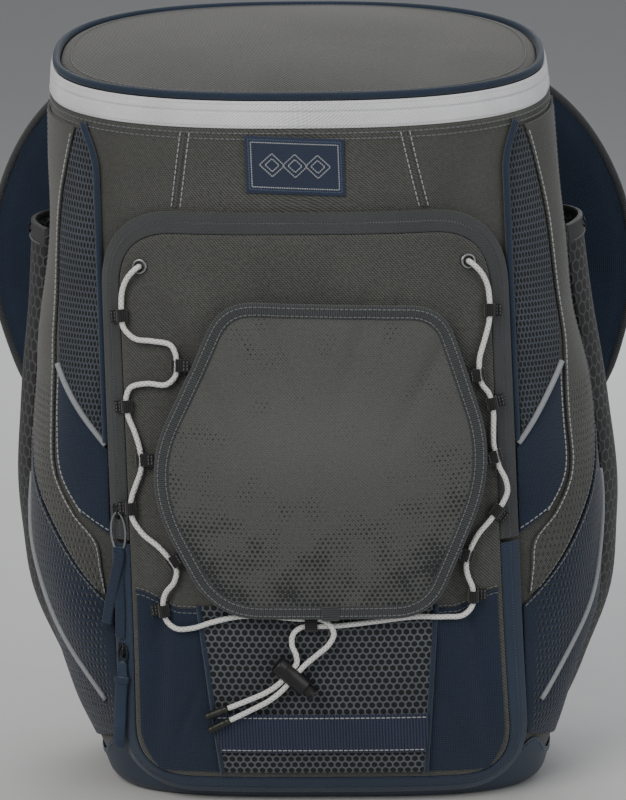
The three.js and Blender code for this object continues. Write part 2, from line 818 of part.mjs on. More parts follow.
for (const { name, hand } of sides) {
  add(`front_piping_${name}`, frontPiping(hand), colours.piping, 0.8);
  add(`side_mesh_${name}`, sideSheet(sideSheets.mesh, hand, 3, 8), colours.mesh, 0.85);
  add(`side_panel_${name}`, sideSheet(sideSheets.panel, hand, 4, 14), colours.twill, 0.9);
  add(`side_leaf_${name}`, sideSheet(sideSheets.leaf, hand, 3, 4), colours.navy, 0.9);
  add(`side_lower_${name}`, sideSheet(sideSheets.lower, hand, 8, 8), colours.navy, 0.9);
  add(`bat_sleeve_${name}`, batSleeve(hand), colours.sleeve, 0.7);
}

// Frame on the pocket's face: its origin, the way outwards, and a way along the face
function pocketFrame(across, up, lift, degrees) {
  const angle = THREE.MathUtils.degToRad(degrees);
  const step = 2;
  const at = (sign, out) => onPocket(across + sign * step * Math.cos(angle),
    up + sign * step * Math.sin(angle), out);
  const origin = onPocket(across, up, lift);
  const lengthwise = at(1, lift).sub(at(-1, lift)).normalize();
  const outward = onFront(across, up, pocketGusset).sub(onFront(across, up, 0)).normalize();
  const sideways = outward.clone().cross(lengthwise).normalize();
  return { origin, lengthwise, outward: lengthwise.clone().cross(sideways), sideways };
}

// Routes of the two cords over the pocket, from eyelet to tip: distance across and up, and
// height over the face; a row with a loop is where one holds the cord
const routes = {
  l: [
    { across: -100, up: 348, lift: 1.2 },
    { across: -100.3, up: 347.7, lift: 3.8 },
    { across: -103, up: 345, lift: 5.4 },
    { across: -107, up: 340, lift: 4.8 },
    { across: -110, up: 333, lift: 4.0 },
    { across: -111, up: 325, lift: 3.9 },
    { across: -111, up: 318, lift: 3.9, loop: 'edge' },
    { across: -110.5, up: 311, lift: 3.9 },
    { across: -104, up: 304.5, lift: 3.9 },
    { across: -94, up: 303.5, lift: 3.9 },
    { across: -83, up: 301.5, lift: 3.9 },
    { across: -79.9, up: 295.5, lift: 3.9 },
    { across: -80, up: 289, lift: 3.9, loop: 'panel' },
    { across: -80.5, up: 282.5, lift: 3.9 },
    { across: -86.5, up: 276.8, lift: 3.9 },
    { across: -98, up: 277, lift: 3.9 },
    { across: -108, up: 274, lift: 3.9 },
    { across: -111, up: 268, lift: 3.9 },
    { across: -111, up: 262, lift: 3.9, loop: 'edge' },
    { across: -110.5, up: 256, lift: 3.9 },
    { across: -107, up: 246, lift: 3.9 },
    { across: -104.5, up: 236, lift: 3.9 },
    { across: -104, up: 229, lift: 3.9, loop: 'panel' },
    { across: -104.5, up: 222, lift: 3.9 },
    { across: -108, up: 213, lift: 3.9 },
    { across: -111, up: 205, lift: 3.9 },
    { across: -112, up: 198, lift: 3.9, loop: 'edge' },
    { across: -111, up: 191, lift: 3.9 },
    { across: -105, up: 182, lift: 3.9 },
    { across: -97, up: 175.5, lift: 3.9 },
    { across: -92, up: 170, lift: 3.9 },
    { across: -88.5, up: 165, lift: 3.9, loop: 'panel' },
    { across: -86, up: 159.5, lift: 3.9 },
    { across: -88, up: 152, lift: 3.9 },
    { across: -93, up: 145.5, lift: 3.9 },
    { across: -95.3, up: 139.5, lift: 3.9 },
    { across: -95.3, up: 133, lift: 4.1, loop: 'edge' },
    { across: -94, up: 126.5, lift: 3.9 },
    { across: -88, up: 121.8, lift: 3.9 },
    { across: -78, up: 122.5, lift: 3.9 },
    { across: -65, up: 127, lift: 3.9 },
    { across: -48, up: 131, lift: 3.9 },
    { across: -28, up: 131, lift: 3.9 },
    { across: -11, up: 129.5, lift: 3.9 },
    { across: -4, up: 129.5, lift: 3.9, loop: 'middle' },
    { across: 2.5, up: 129.3, lift: 4.8 },
    { across: 8, up: 126.2, lift: 7.9 },
    { across: 10, up: 120.5, lift: 8.2 },
    { across: 6.5, up: 113.5, lift: 8.4 },
    { across: -0.4, up: 107.2, lift: 8.6 },
    { across: -9.1, up: 99.7, lift: 8.6 },
    { across: -16.4, up: 91.6, lift: 8.6 },
    { across: -23.2, up: 84.1, lift: 8.6 },
    { across: -32, up: 77, lift: 8.2 },
    { across: -44, up: 70.5, lift: 7.6 },
    { across: -57, up: 64, lift: 7.2 },
  ],
  r: [
    { across: 100, up: 350, lift: 1.2 },
    { across: 100.3, up: 349.7, lift: 3.8 },
    { across: 103, up: 347, lift: 5.4 },
    { across: 107, up: 342, lift: 4.8 },
    { across: 110, up: 335, lift: 4.0 },
    { across: 111, up: 327, lift: 3.9 },
    { across: 111, up: 320, lift: 3.9, loop: 'edge' },
    { across: 110.5, up: 313, lift: 3.9 },
    { across: 107.5, up: 302, lift: 3.9 },
    { across: 104.5, up: 292, lift: 3.9 },
    { across: 104, up: 286.5, lift: 3.9 },
    { across: 104, up: 281, lift: 3.9, loop: 'panel' },
    { across: 105.3, up: 275, lift: 3.9 },
    { across: 109.3, up: 269, lift: 3.9 },
    { across: 111.2, up: 262.5, lift: 3.9, loop: 'edge' },
    { across: 111.8, up: 255.8, lift: 3.9 },
    { across: 111.5, up: 246, lift: 3.9 },
    { across: 111.5, up: 236.5, lift: 3.9 },
    { across: 113, up: 229.5, lift: 3.9, loop: 'panel' },
    { across: 114.5, up: 222.5, lift: 3.9 },
    { across: 118, up: 214.5, lift: 3.9 },
    { across: 119, up: 207, lift: 3.9 },
    { across: 116.3, up: 200.2, lift: 3.9 },
    { across: 112.5, up: 195, lift: 3.9, loop: 'edge' },
    { across: 108, up: 189.5, lift: 3.9 },
    { across: 101.5, up: 182.5, lift: 3.9 },
    { across: 97, up: 175, lift: 3.9 },
    { across: 94.5, up: 168.5, lift: 3.9, loop: 'panel' },
    { across: 93, up: 161.5, lift: 3.9 },
    { across: 94, up: 154.5, lift: 3.9 },
    { across: 96.3, up: 148, lift: 3.9 },
    { across: 96.8, up: 141.5, lift: 3.9, loop: 'edge' },
    { across: 95.8, up: 135, lift: 3.9 },
    { across: 90, up: 129.6, lift: 3.9 },
    { across: 79, up: 129.3, lift: 3.9 },
    { across: 60, up: 130, lift: 3.9 },
    { across: 36, up: 127.5, lift: 3.9 },
    { across: 16, up: 125.2, lift: 3.9 },
    { across: 3.5, up: 124.6, lift: 3.9 },
    { across: -4, up: 124.6, lift: 3.9 },
    { across: -10.5, up: 124, lift: 4.2 },
    { across: -15.6, up: 119.8, lift: 5.4 },
    { across: -16.6, up: 113, lift: 7.0 },
    { across: -14.3, up: 106.6, lift: 8.4 },
    { across: -14.2, up: 101, lift: 8.6 },
    { across: -19.6, up: 94.4, lift: 8.6 },
    { across: -25.6, up: 87.8, lift: 8.6 },
    { across: -34, up: 82, lift: 8.2 },
    { across: -46, up: 76.5, lift: 7.6 },
    { across: -58, up: 71.5, lift: 7.2 },
  ],
};

// Loop of flat webbing round the cord, sewn down by a tab on one side
function cordLoop(rows, i, hand, toPanel) {
  const row = rows[i];
  const way = Math.atan2(rows[i + 1].up - rows[i - 1].up, rows[i + 1].across - rows[i - 1].across);
  const frame = pocketFrame(row.across, row.up, row.lift, THREE.MathUtils.radToDeg(way));
  const hole = cordRadius + loopClearance;
  const ring = hole + loopWall;
  const outboard = frame.sideways.x * hand > 0;
  const tab = (outboard === toPanel ? -1 : 1) * loopTab;
  const high = toPanel ? 1 : -1;
  const low = Math.asin((ring - loopWall) / ring);
  const outline = [new THREE.Vector2(tab, high * (ring - loopWall))];
  const arc = 6;
  for (let k = 0; k <= arc; k += 1) {
    const angle = low - (low + 1.5 * Math.PI) * k / arc;
    outline.push(new THREE.Vector2(Math.sign(tab) * ring * Math.cos(angle),
      high * ring * Math.sin(angle)));
  }
  outline.push(new THREE.Vector2(tab, high * ring));
  const shape = new THREE.Shape(outline);
  shape.holes.push(new THREE.Path().absarc(0, 0, hole, 0, 2 * Math.PI));
  const geometry = new THREE.ExtrudeGeometry(shape,
    { depth: loopWidth, bevelEnabled: false, curveSegments: 3 });
  geometry.translate(0, 0, -loopWidth / 2);
  const basis = new THREE.Matrix4().makeBasis(frame.sideways, frame.outward, frame.lengthwise);
  return geometry.applyMatrix4(basis.setPosition(frame.origin));
}

// Wide loop at the foot of the panel, round both cords, with a tab behind the binding
function middleLoop() {
  const [left, right] = [routes.l, routes.r].map((rows) => (
    rows.filter((row) => Math.abs(row.across + 4) < 0.5)[0]));
  const frame = pocketFrame(left.across, (left.up + right.up) / 2, left.lift, 0);
  const hole = cordRadius + loopClearance;
  const ring = hole + loopWall;
  const reach = (left.up - right.up) / 2;
  const rounded = (target, radius) => {
    target.absarc(reach, 0, radius, -Math.PI / 2, Math.PI / 2);
    target.absarc(-reach, 0, radius, Math.PI / 2, 1.5 * Math.PI);
    return target;
  };
  const shape = rounded(new THREE.Shape(), ring);
  shape.holes.push(rounded(new THREE.Path(), hole));
  const geometry = new THREE.ExtrudeGeometry(shape,
    { depth: loopWidth, bevelEnabled: false, curveSegments: 4 });
  geometry.translate(0, 0, -loopWidth / 2);
  const basis = new THREE.Matrix4().makeBasis(frame.sideways, frame.outward, frame.lengthwise);
  return geometry.applyMatrix4(basis.setPosition(frame.origin));
}

function eyelet(row) {
  const frame = pocketFrame(row.across, row.up, seat, 0);
  const profile = [[eyeletInner, 0], [eyeletOuter, 0], [eyeletOuter - 0.8, eyeletHeight],
    [eyeletInner, eyeletHeight], [eyeletInner, 0]].map(([r, h]) => new THREE.Vector2(r, h));
  const geometry = new THREE.LatheGeometry(profile, 12);
  const basis = new THREE.Matrix4().makeBasis(frame.lengthwise, frame.outward,
    frame.lengthwise.clone().cross(frame.outward));
  return geometry.applyMatrix4(basis.setPosition(frame.origin));
}

for (const { name, hand } of sides) {
  const rows = routes[name];
  const points = rows.map((row) => onPocket(row.across, row.up, row.lift));
  add(`eyelet_${name}`, eyelet(rows[0]), colours.steel, 0.4, 0.8);
  add(`shock_cord_${name}`, tube(points, cordRadius, 8, 60), colours.cord, 0.8);
  const way = points.at(-1).clone().sub(points.at(-2)).normalize();
  const from = points.at(-1).clone().addScaledVector(way, seat);
  add(`cord_tip_${name}`, tube([from, from.clone().addScaledVector(way, tipLength)],
    cordRadius + tipWall, 8, 2), colours.tip, 0.5);
  const counts = { edge: 0, panel: 0 };
  rows.forEach((row, i) => {
    if (row.loop !== 'edge' && row.loop !== 'panel') return;
    counts[row.loop] += 1;
    const title = row.loop === 'edge' ? 'pocket' : 'panel';
    add(`${title}_loop_${name}${counts[row.loop]}`, cordLoop(rows, i, hand,
      row.loop === 'panel'), colours.black, 0.85);
  });
}
add('panel_loop_middle', middleLoop(), colours.black, 0.85);

// Cord lock: a barrel bored for its plunger, with a slot across both for the two cords
function lockFrame() {
  const frame = pocketFrame(lockAcross, lockUp, lockLift, -lockAngle);
  return new THREE.Matrix4().makeBasis(frame.lengthwise, frame.outward,
    frame.lengthwise.clone().cross(frame.outward)).setPosition(frame.origin);
}

// Solid rod along the lock's axis between two places
function rod(radius, from, to, segments) {
  const geometry = new THREE.CylinderGeometry(radius, radius, to - from, segments);
  geometry.rotateZ(-Math.PI / 2);
  geometry.translate((from + to) / 2, 0, 0);
  return solidOf(geometry);
}

function slotAcross(from, to) {
  const geometry = new THREE.BoxGeometry(to - from, slotDepth, 2 * lockDiameter);
  geometry.translate((from + to) / 2, 0, 0);
  return solidOf(geometry);
}

const lockEnd = lockLength / 2;
const plungerRadius = plungerDiameter / 2;
const plungerStart = -lockEnd + lockFloor + plungerTravel + seat;
const halfSlot = slotLength / 2;
const barrel = rod(lockDiameter / 2, -lockEnd, lockEnd, 16)
  .subtract(rod(plungerRadius + seat, -lockEnd + lockFloor, lockEnd + 1, 16))
  .subtract(slotAcross(-halfSlot, halfSlot));
const plunger = rod(plungerRadius, plungerStart, lockEnd + plungerShow, 16)
  .add(rod(plungerFlange / 2, lockEnd + plungerShow - flangeThickness,
    lockEnd + plungerShow, 16))
  .subtract(slotAcross(-halfSlot + seat, halfSlot - seat + plungerTravel));
add('cord_lock_barrel', geometryOf(barrel).applyMatrix4(lockFrame()), colours.black, 0.5);
add('cord_lock_plunger', geometryOf(plunger).applyMatrix4(lockFrame()), colours.black, 0.5);

// Point of the leaning frame that the straps hang in
function leaning(x, y, z) {
  return new THREE.Vector3(x - bodyLean * z / bodyHeight, y, z);
}

// Flat band along points, its face turned one way as near as its path lets it
function band(points, facing, width, thickness, steps) {
  const path = new THREE.CatmullRomCurve3(points, false, 'centripetal');
  const place = (u, v, side) => {
    const way = path.getTangentAt(v);
    const across = way.clone().cross(facing).normalize();
    const normal = across.clone().cross(way).normalize();
    return path.getPointAt(v).addScaledVector(across, width * (u - 0.5))
      .addScaledVector(normal, side * thickness / 2);
  };
  return sheet(1, steps, (u, v) => place(u, v, 1), (u, v) => place(u, v, -1));
}

// Pad on the back, crowned and turned in at its edges
function backPad() {
  const place = (u, v, out) => {
    const share = (padFoot + (padTop - padFoot) * v) / bodyHeight;
    const turn = 2 - turnAt(padWidth * (u - 0.5), share);
    return bodySurface(turn, share, out);
  };
  const crown = (u, v) => 1 - Math.max(Math.abs(2 * u - 1), Math.abs(2 * v - 1)) ** 6 * 0.75;
  return sheet(8, 8, (u, v) => place(1 - u, v, skinGap + padThickness * crown(u, v)),
    (u, v) => place(1 - u, v, skinGap));
}

add('back_pad', backPad(), colours.pad, 0.9);

const backward = new THREE.Vector3(0, 1, 0);
const haulDepth = backReach + skinGap + haulThickness / 2;
const strapDepth = haulDepth + (haulThickness + strapThickness) / 2 + 6 * seat;
const haulHalf = haulWidth / 2;
add('haul_loop', band([
  leaning(-haulHalf, haulDepth, haulRoot),
  leaning(-haulHalf, haulDepth, haulRoot + 22),
  leaning(-haulHalf * 0.75, haulDepth + 5, haulTop - 12),
  leaning(0, haulDepth + 7, haulTop),
  leaning(haulHalf * 0.75, haulDepth + 5, haulTop - 12),
  leaning(haulHalf, haulDepth, haulRoot + 22),
  leaning(haulHalf, haulDepth, haulRoot),
], backward, haulBand, haulThickness, 18), colours.webbing, 0.8);

// Course of a shoulder strap: shares of the way out to its reach, depth behind its root,
// and shares of the way down from its root to its end
const strapRows = [
  { out: 0.00, behind: 0, down: 0.00 },
  { out: 0.24, behind: 14, down: -0.04 },
  { out: 0.52, behind: 33, down: 0.02 },
  { out: 0.80, behind: 48, down: 0.18 },
  { out: 0.97, behind: 53, down: 0.42 },
  { out: 1.00, behind: 48, down: 0.66 },
  { out: 0.93, behind: 38, down: 0.86 },
  { out: 0.85, behind: 30, down: 1.00 },
];

for (const { name, hand } of sides) {
  const points = strapRows.map((row) => leaning(
    hand * (strapRootAcross + (strapReach - strapRootAcross) * row.out),
    strapDepth + row.behind,
    strapRootUp + (strapEndUp - strapRootUp) * row.down));
  add(`shoulder_strap_${name}`, band(points, backward, strapWidth, strapThickness, 18),
    colours.navy, 0.9);
  const end = points.at(-1);
  const way = end.clone().sub(points.at(-2)).normalize();
  const buckle = (from, to) => [from, (from + to) / 2, to]
    .map((reach) => end.clone().addScaledVector(way, reach));
  add(`strap_buckle_${name}`, band(buckle(seat, seat + buckleHeight), backward, buckleWidth,
    buckleThickness, 2), colours.black, 0.5);
  const foot = bodySurface(hand * (2 - Math.abs(turnAt(strapRootAcross * 2, 0.1))), 0.1,
    skinGap + 2 * backWebbingThickness);
  const start = end.clone().addScaledVector(way, 6 * seat + buckleHeight);
  const middle = start.clone().lerp(foot, 0.5);
  middle.y += backWebbingWidth / 2;
  add(`strap_webbing_${name}`, band([start, middle, foot], backward, backWebbingWidth,
    backWebbingThickness, 8), colours.webbing, 0.8);
}

// Pulls that hang over the left zip
function zipPull(top, length, width) {
  const hand = -1;
  const stand = pocketGusset - pocketWall + 2 * seat;
  const place = (u, v, out) => {
    const up = top - length * (1 - v);
    const across = hand * (pocketHalfWidth(up) + 2 * seat + width * (1 - u));
    return onFront(across, up, stand + out);
  };
  return sheet(2, 5, (u, v) => place(u, v, pullThickness), (u, v) => place(u, v, 0));
}

add('zip_pull_upper', zipPull(pullUpperTop, pullUpperLength, zipWidth * 0.9), colours.navy, 0.6);
add('zip_pull_lower', zipPull(pullLowerTop, pullLowerLength, zipWidth * 0.7), colours.navy, 0.5);

// The origin is the middle of the underside of the bag, its cords left aside
const cordPieces = ['shock_cord_l', 'shock_cord_r', 'cord_tip_l', 'cord_tip_r'];
const extent = new THREE.Box3();
bag.updateMatrixWorld(true);
for (const piece of bag.children) {
  if (!cordPieces.includes(piece.name)) extent.expandByObject(piece);
}
const middle = extent.getCenter(new THREE.Vector3());
bag.position.set(-middle.x, -middle.y, -extent.min.z);

export default bag;
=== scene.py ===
"""Baseball bat backpack, dressed piece by piece over its solid model."""
import logging
import math
from dataclasses import dataclass, field
from enum import Enum
from typing import Callable, Sequence

import bmesh
import bpy
import numpy as np
from mathutils import Matrix, Vector


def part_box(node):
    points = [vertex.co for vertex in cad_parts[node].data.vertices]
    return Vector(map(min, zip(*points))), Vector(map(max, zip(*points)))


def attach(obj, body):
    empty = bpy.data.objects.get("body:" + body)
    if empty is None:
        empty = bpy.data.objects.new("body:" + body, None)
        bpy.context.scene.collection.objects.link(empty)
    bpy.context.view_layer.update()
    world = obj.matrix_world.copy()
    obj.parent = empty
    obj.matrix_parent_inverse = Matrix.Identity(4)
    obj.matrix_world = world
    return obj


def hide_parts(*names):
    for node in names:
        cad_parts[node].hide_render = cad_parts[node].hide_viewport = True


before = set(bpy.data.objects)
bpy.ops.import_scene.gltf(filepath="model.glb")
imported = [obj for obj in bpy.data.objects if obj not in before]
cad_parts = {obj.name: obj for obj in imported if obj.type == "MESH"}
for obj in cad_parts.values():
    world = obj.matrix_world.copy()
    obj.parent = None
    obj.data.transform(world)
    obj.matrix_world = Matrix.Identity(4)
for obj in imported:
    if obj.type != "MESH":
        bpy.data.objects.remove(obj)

LOG = logging.getLogger("bat_bag")
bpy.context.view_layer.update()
Array = np.ndarray
HANDS = {"l": -1, "r": 1}
UP = np.array([0.0, 0.0, 1.0])
BACK = np.array([0.0, 1.0, 0.0])


# Curves and grids

def along(keys: Sequence[float], values: Sequence[float], place: Array) -> Array:
    """Reads one column of a table at places along another column.

    Between two rows the value is a smooth step, plus t(1 - t) times the slopes of the rows.

    Args:
        keys: The rising column.
        values: The column that is read.
        place: Where it is read.

    Returns:
        The value at each place.
    """
    k, v, at = np.asarray(keys, float), np.asarray(values, float), np.asarray(place, float)
    last = len(k) - 1
    before, after = np.maximum(np.arange(last + 1) - 1, 0), np.minimum(np.arange(last + 1) + 1, last)
    slope = (v[after] - v[before]) / (k[after] - k[before])
    i = np.searchsorted(k[1:-1], at, side="left")
    span = k[i + 1] - k[i]
    t = np.clip((at - k[i]) / span, 0, 1)
    s = t * t * (3 - 2 * t)
    return v[i] * (1 - s) + v[i + 1] * s + t * (1 - t) * ((1 - t) * slope[i] - t * slope[i + 1]) * span


def smoothstep(value: Array, low: float, high: float) -> Array:
    """Smooth step from 0 at low to 1 at high."""
    t = np.clip((np.asarray(value, float) - low) / (high - low), 0, 1)
    return t * t * (3 - 2 * t)


def unit(vectors: Array) -> Array:
    """Vectors divided by their lengths."""
    return vectors / np.maximum(np.linalg.norm(vectors, axis=-1, keepdims=True), 1e-12)


def running(points: Array) -> Array:
    """Length run along a line of points, at each of them."""
    steps = np.linalg.norm(np.diff(points, axis=0), axis=1)
    return np.concatenate([[0.0], np.cumsum(steps)])


def evenly(points: Array, count: int, closed: bool = False) -> Array:
    """Places points at even distances along a line.

    Args:
        points: Line of two or three coordinates a point.
        count: How many points come back.
        closed: Whether the line closes on itself.

    Returns:
        The evenly spaced points.
    """
    line = np.vstack([points, points[:1]]) if closed else np.asarray(points, float)
    run = running(line)
    at = np.linspace(0, run[-1], count + 1)[:-1] if closed else np.linspace(0, run[-1], count)
    return np.stack([np.interp(at, run, line[:, k]) for k in range(line.shape[1])], 1)


def spread(values: Array, count: int) -> Array:
    """Rows of an array drawn out to a number of rows, evenly and in a straight line between."""
    place, keys = np.linspace(0, 1, count), np.linspace(0, 1, len(values))
    return np.stack([np.interp(place, keys, column) for column in values.T], 1)


def through(points: Array, per: int = 10) -> Array:
    """Centripetal Catmull-Rom curve through points.

    Each span is a cubic whose end slopes come from its neighbours, timed by the square root of
    the distance between points.

    Args:
        points: The points of the route.
        per: Steps in each span.

    Returns:
        Points along the curve.
    """
    p = np.asarray(points, float)
    p = np.vstack([2 * p[0] - p[1], p, 2 * p[-1] - p[-2]])
    d = np.maximum(np.sqrt(np.linalg.norm(np.diff(p, axis=0), axis=1)), 1e-6)[:, None]
    p0, p1, p2, p3 = p[:-3], p[1:-2], p[2:-1], p[3:]
    d0, d1, d2 = d[:-2], d[1:-1], d[2:]
    m1 = ((p1 - p0) / d0 - (p2 - p0) / (d0 + d1) + (p2 - p1) / d1) * d1
    m2 = ((p2 - p1) / d1 - (p3 - p1) / (d1 + d2) + (p3 - p2) / d2) * d1
    t = (np.arange(per) / per)[None, :, None]
    a, b, c, e = (x[:, None, :] for x in (p1, p2, m1, m2))
    curve = (a * (2 * t**3 - 3 * t**2 + 1) + c * (t**3 - 2 * t**2 + t)
             + b * (3 * t**2 - 2 * t**3) + e * (t**3 - t**2))
    return np.vstack([curve.reshape(-1, p.shape[1]), p2[-1:]])


def rounded(corners: Sequence[tuple[float, float, float]], count: int) -> Array:
    """Outline through corners, each turned by a quadratic arc of its own reach.

    Args:
        corners: Across, up and reach of each corner.
        count: Points round the outline.

    Returns:
        Evenly spaced points of two coordinates.
    """
    c = np.array([corner[:2] for corner in corners])
    reach = np.array([corner[2] for corner in corners])[:, None]
    before = c + unit(np.roll(c, 1, 0) - c) * reach
    after = c + unit(np.roll(c, -1, 0) - c) * reach
    t = np.linspace(0, 1, 16)[None, :, None]
    arcs = before[:, None] * (1 - t)**2 + 2 * c[:, None] * t * (1 - t) + after[:, None] * t**2
    return evenly(arcs.reshape(-1, 2), count, closed=True)


def grown(outline: Array, distance: float, closed: bool = True) -> Array:
    """A clockwise outline moved outwards by a distance along its normals."""
    if closed:
        way = unit(np.roll(outline, -1, 0) - np.roll(outline, 1, 0))
    else:
        way = unit(np.gradient(outline, axis=0))
    return outline + distance * np.stack([-way[:, 1], way[:, 0]], 1)


def frames(path: Array, facing: Array, closed: bool = False) -> tuple[Array, Array, Array]:
    """Tangent, side and normal along a path.

    The side is tangent x facing, and the normal is side x tangent.

    Args:
        path: Points of the path.
        facing: The way the path's upper side looks, one vector or one a point.
        closed: Whether the path closes on itself.

    Returns:
        Three arrays of unit vectors.
    """
    step = np.roll(path, -1, 0) - np.roll(path, 1, 0) if closed else np.gradient(path, axis=0)
    tangent = unit(step)
    side = unit(np.cross(tangent, np.broadcast_to(facing, path.shape)))
    return tangent, side, np.cross(side, tangent)


def mesh_object(name: str, points: Array, quads: Array, triangles: Array | None = None,
                uv: Array | None = None, uv_of: tuple[Array, Array | None] | None = None
                ) -> bpy.types.Object:
    """Makes an object of whole arrays.

    Args:
        name: Name of the piece.
        points: Its vertices.
        quads: Vertex numbers of its four-sided faces.
        triangles: Vertex numbers of its three-sided faces.
        uv: Places on the cloth in metres, one a vertex or one an entry of uv_of.
        uv_of: Entries of uv at the corners of the quads and triangles.

    Returns:
        The object, linked into the scene, smooth shaded.
    """
    points = np.asarray(points, float).reshape(-1, 3)
    triangles = np.zeros((0, 3), int) if triangles is None else np.asarray(triangles, int)
    quads = np.asarray(quads, int).reshape(-1, 4)
    mesh = bpy.data.meshes.new(name)
    corners = np.concatenate([quads.ravel(), triangles.ravel()])
    totals = np.concatenate([np.full(len(quads), 4), np.full(len(triangles), 3)])
    mesh.vertices.add(len(points))
    mesh.vertices.foreach_set("co", points.ravel())
    mesh.loops.add(len(corners))
    mesh.loops.foreach_set("vertex_index", corners)
    mesh.polygons.add(len(totals))
    mesh.polygons.foreach_set("loop_start", np.concatenate([[0], np.cumsum(totals)[:-1]]))
    mesh.polygons.foreach_set("loop_total", totals)
    mesh.polygons.foreach_set("use_smooth", np.ones(len(totals), bool))
    if uv is not None:
        parts = (quads, triangles) if uv_of is None else uv_of
        at = np.concatenate([np.asarray(parts[0]).ravel(),
                             np.zeros(0, int) if parts[1] is None else np.asarray(parts[1]).ravel()])
        layer = mesh.uv_layers.new(name="UVMap")
        layer.data.foreach_set("uv", np.asarray(uv, float).reshape(-1, 2)[at].ravel())
    mesh.update(calc_edges=True)
    mesh.validate()
    piece = bpy.data.objects.new(name, mesh)
    bpy.context.scene.collection.objects.link(piece)
    return piece


def grid_object(name: str, points: Array, uv: Array | None = None, around: bool = False,
                closed: bool = False, fans: tuple[bool, bool] = (False, False)
                ) -> bpy.types.Object:
    """Makes an object of a grid of points, rows by columns, that faces columns x rows.

    Args:
        name: Name of the piece.
        points: Array of rows, columns and three coordinates.
        uv: Places on the cloth, with one more column or row than the points where it closes.
        around: Whether the last column joins the first.
        closed: Whether the last row joins the first.
        fans: Whether the first and the last row are closed by a fan of triangles.

    Returns:
        The object.
    """
    rows, columns = points.shape[:2]
    r, c = np.meshgrid(np.arange(rows if closed else rows - 1),
                       np.arange(columns if around else columns - 1), indexing="ij")
    r, c = r.ravel(), c.ravel()

    def corner(row: Array, column: Array) -> Array:
        return (row % rows) * columns + column % columns

    quads = np.stack([corner(r, c), corner(r, c + 1), corner(r + 1, c + 1), corner(r + 1, c)], 1)
    flat = points.reshape(-1, 3)
    wide = columns + 1 if around else columns
    if uv is None:
        u = running(np.vstack([points[0], points[0][:1]]) if around else points[0])
        v = running(np.vstack([points[:, 0], points[:1, 0]]) if closed else points[:, 0])
        uv = np.stack(np.meshgrid(u, v), -1)
    marks = np.asarray(uv, float).reshape(-1, 2)
    uv_quads = np.stack([r * wide + c, r * wide + c + 1, (r + 1) * wide + c + 1,
                         (r + 1) * wide + c], 1)
    triangles, uv_triangles = [], []
    ring = np.arange(columns if around else columns - 1)
    for last, wanted in enumerate(fans):
        if not wanted:
            continue
        base, mark = ((rows - 1) * columns, (rows - 1) * wide) if last else (0, 0)
        hub, hub_mark = len(flat), len(marks)
        flat = np.vstack([flat, flat[base:base + columns].mean(0)])
        marks = np.vstack([marks, marks[mark:mark + wide].mean(0)])
        pair = [base + ring, base + (ring + 1) % columns]
        marked = [mark + ring, mark + ring + 1]
        order = (0, 1) if last else (1, 0)
        triangles.append(np.stack([pair[order[0]], pair[order[1]], np.full(len(ring), hub)], 1))
        uv_triangles.append(np.stack([marked[order[0]], marked[order[1]],
                                      np.full(len(ring), hub_mark)], 1))
    extra = np.vstack(triangles) if triangles else None
    extra_uv = np.vstack(uv_triangles) if triangles else None
    return mesh_object(name, flat, quads, extra, marks, (uv_quads, extra_uv))


def tube_object(name: str, path: Array, radius: float | Array, sides: int = 10,
                closed: bool = False, facing: Array = UP, flat: float = 1.0
                ) -> bpy.types.Object:
    """Tube whose ring at each point of a path is side cos a + normal sin a, times its radius.

    Args:
        name: Name of the piece.
        path: Points of the middle line.
        radius: Radius, one for all or one a point.
        sides: Corners of the ring.
        closed: Whether the path closes on itself.
        facing: The way its upper side looks.
        flat: Share of the radius along the normal.

    Returns:
        The tube, with fans over its ends where it is open.
    """
    _, side, normal = frames(path, facing, closed)
    angle = np.arange(sides) * 2 * math.pi / sides
    radii = np.broadcast_to(np.asarray(radius, float), (len(path),))[:, None, None]
    ring = (side[:, None] * np.cos(angle)[None, :, None]
            - flat * normal[:, None] * np.sin(angle)[None, :, None])
    points = path[:, None] + radii * ring
    line = np.vstack([path, path[:1]]) if closed else path
    girth = 2 * math.pi * float(np.mean(radii))
    uv = np.stack(np.meshgrid(np.linspace(0, girth, sides + 1), running(line)), -1)
    ends = (not closed, not closed)
    return grid_object(name, points, uv, around=True, closed=closed, fans=ends)


def profile_object(name: str, profile: Array, path: Array, facing: Array, closed: bool = False
                   ) -> bpy.types.Object:
    """Closed profile carried along a path: path + side x + normal y, with fans over its ends.

    Args:
        name: Name of the piece.
        profile: Anticlockwise points, across and outwards.
        path: Points of the path.
        facing: The way the profile's y looks.
        closed: Whether the path closes on itself.

    Returns:
        The piece.
    """
    _, side, normal = frames(path, facing, closed)
    turned = profile[::-1]
    points = (path[:, None] + side[:, None] * turned[None, :, :1]
              + normal[:, None] * turned[None, :, 1:])
    line = np.vstack([path, path[:1]]) if closed else path
    girth = running(np.vstack([turned, turned[:1]]))
    uv = np.stack(np.meshgrid(girth, running(line)), -1)
    ends = (not closed, not closed)
    return grid_object(name, points, uv, around=True, closed=closed, fans=ends)


def band_profile(width: float, thickness: float, round_share: float = 0.5, steps: int = 5
                 ) -> Array:
    """Anticlockwise profile of a flat band with rounded edges, about its own middle."""
    radius = thickness * round_share
    angle = np.linspace(0, math.pi / 2, steps)
    x, y = width / 2 - radius, thickness / 2 - radius
    quadrants = []
    for start, sx, sy in ((0, 1, 1), (1, -1, 1), (2, -1, -1), (3, 1, -1)):
        a = angle + start * math.pi / 2
        quadrants.append(np.stack([sx * x + radius * np.cos(a), sy * y + radius * np.sin(a)], 1))
    return np.vstack(quadrants)


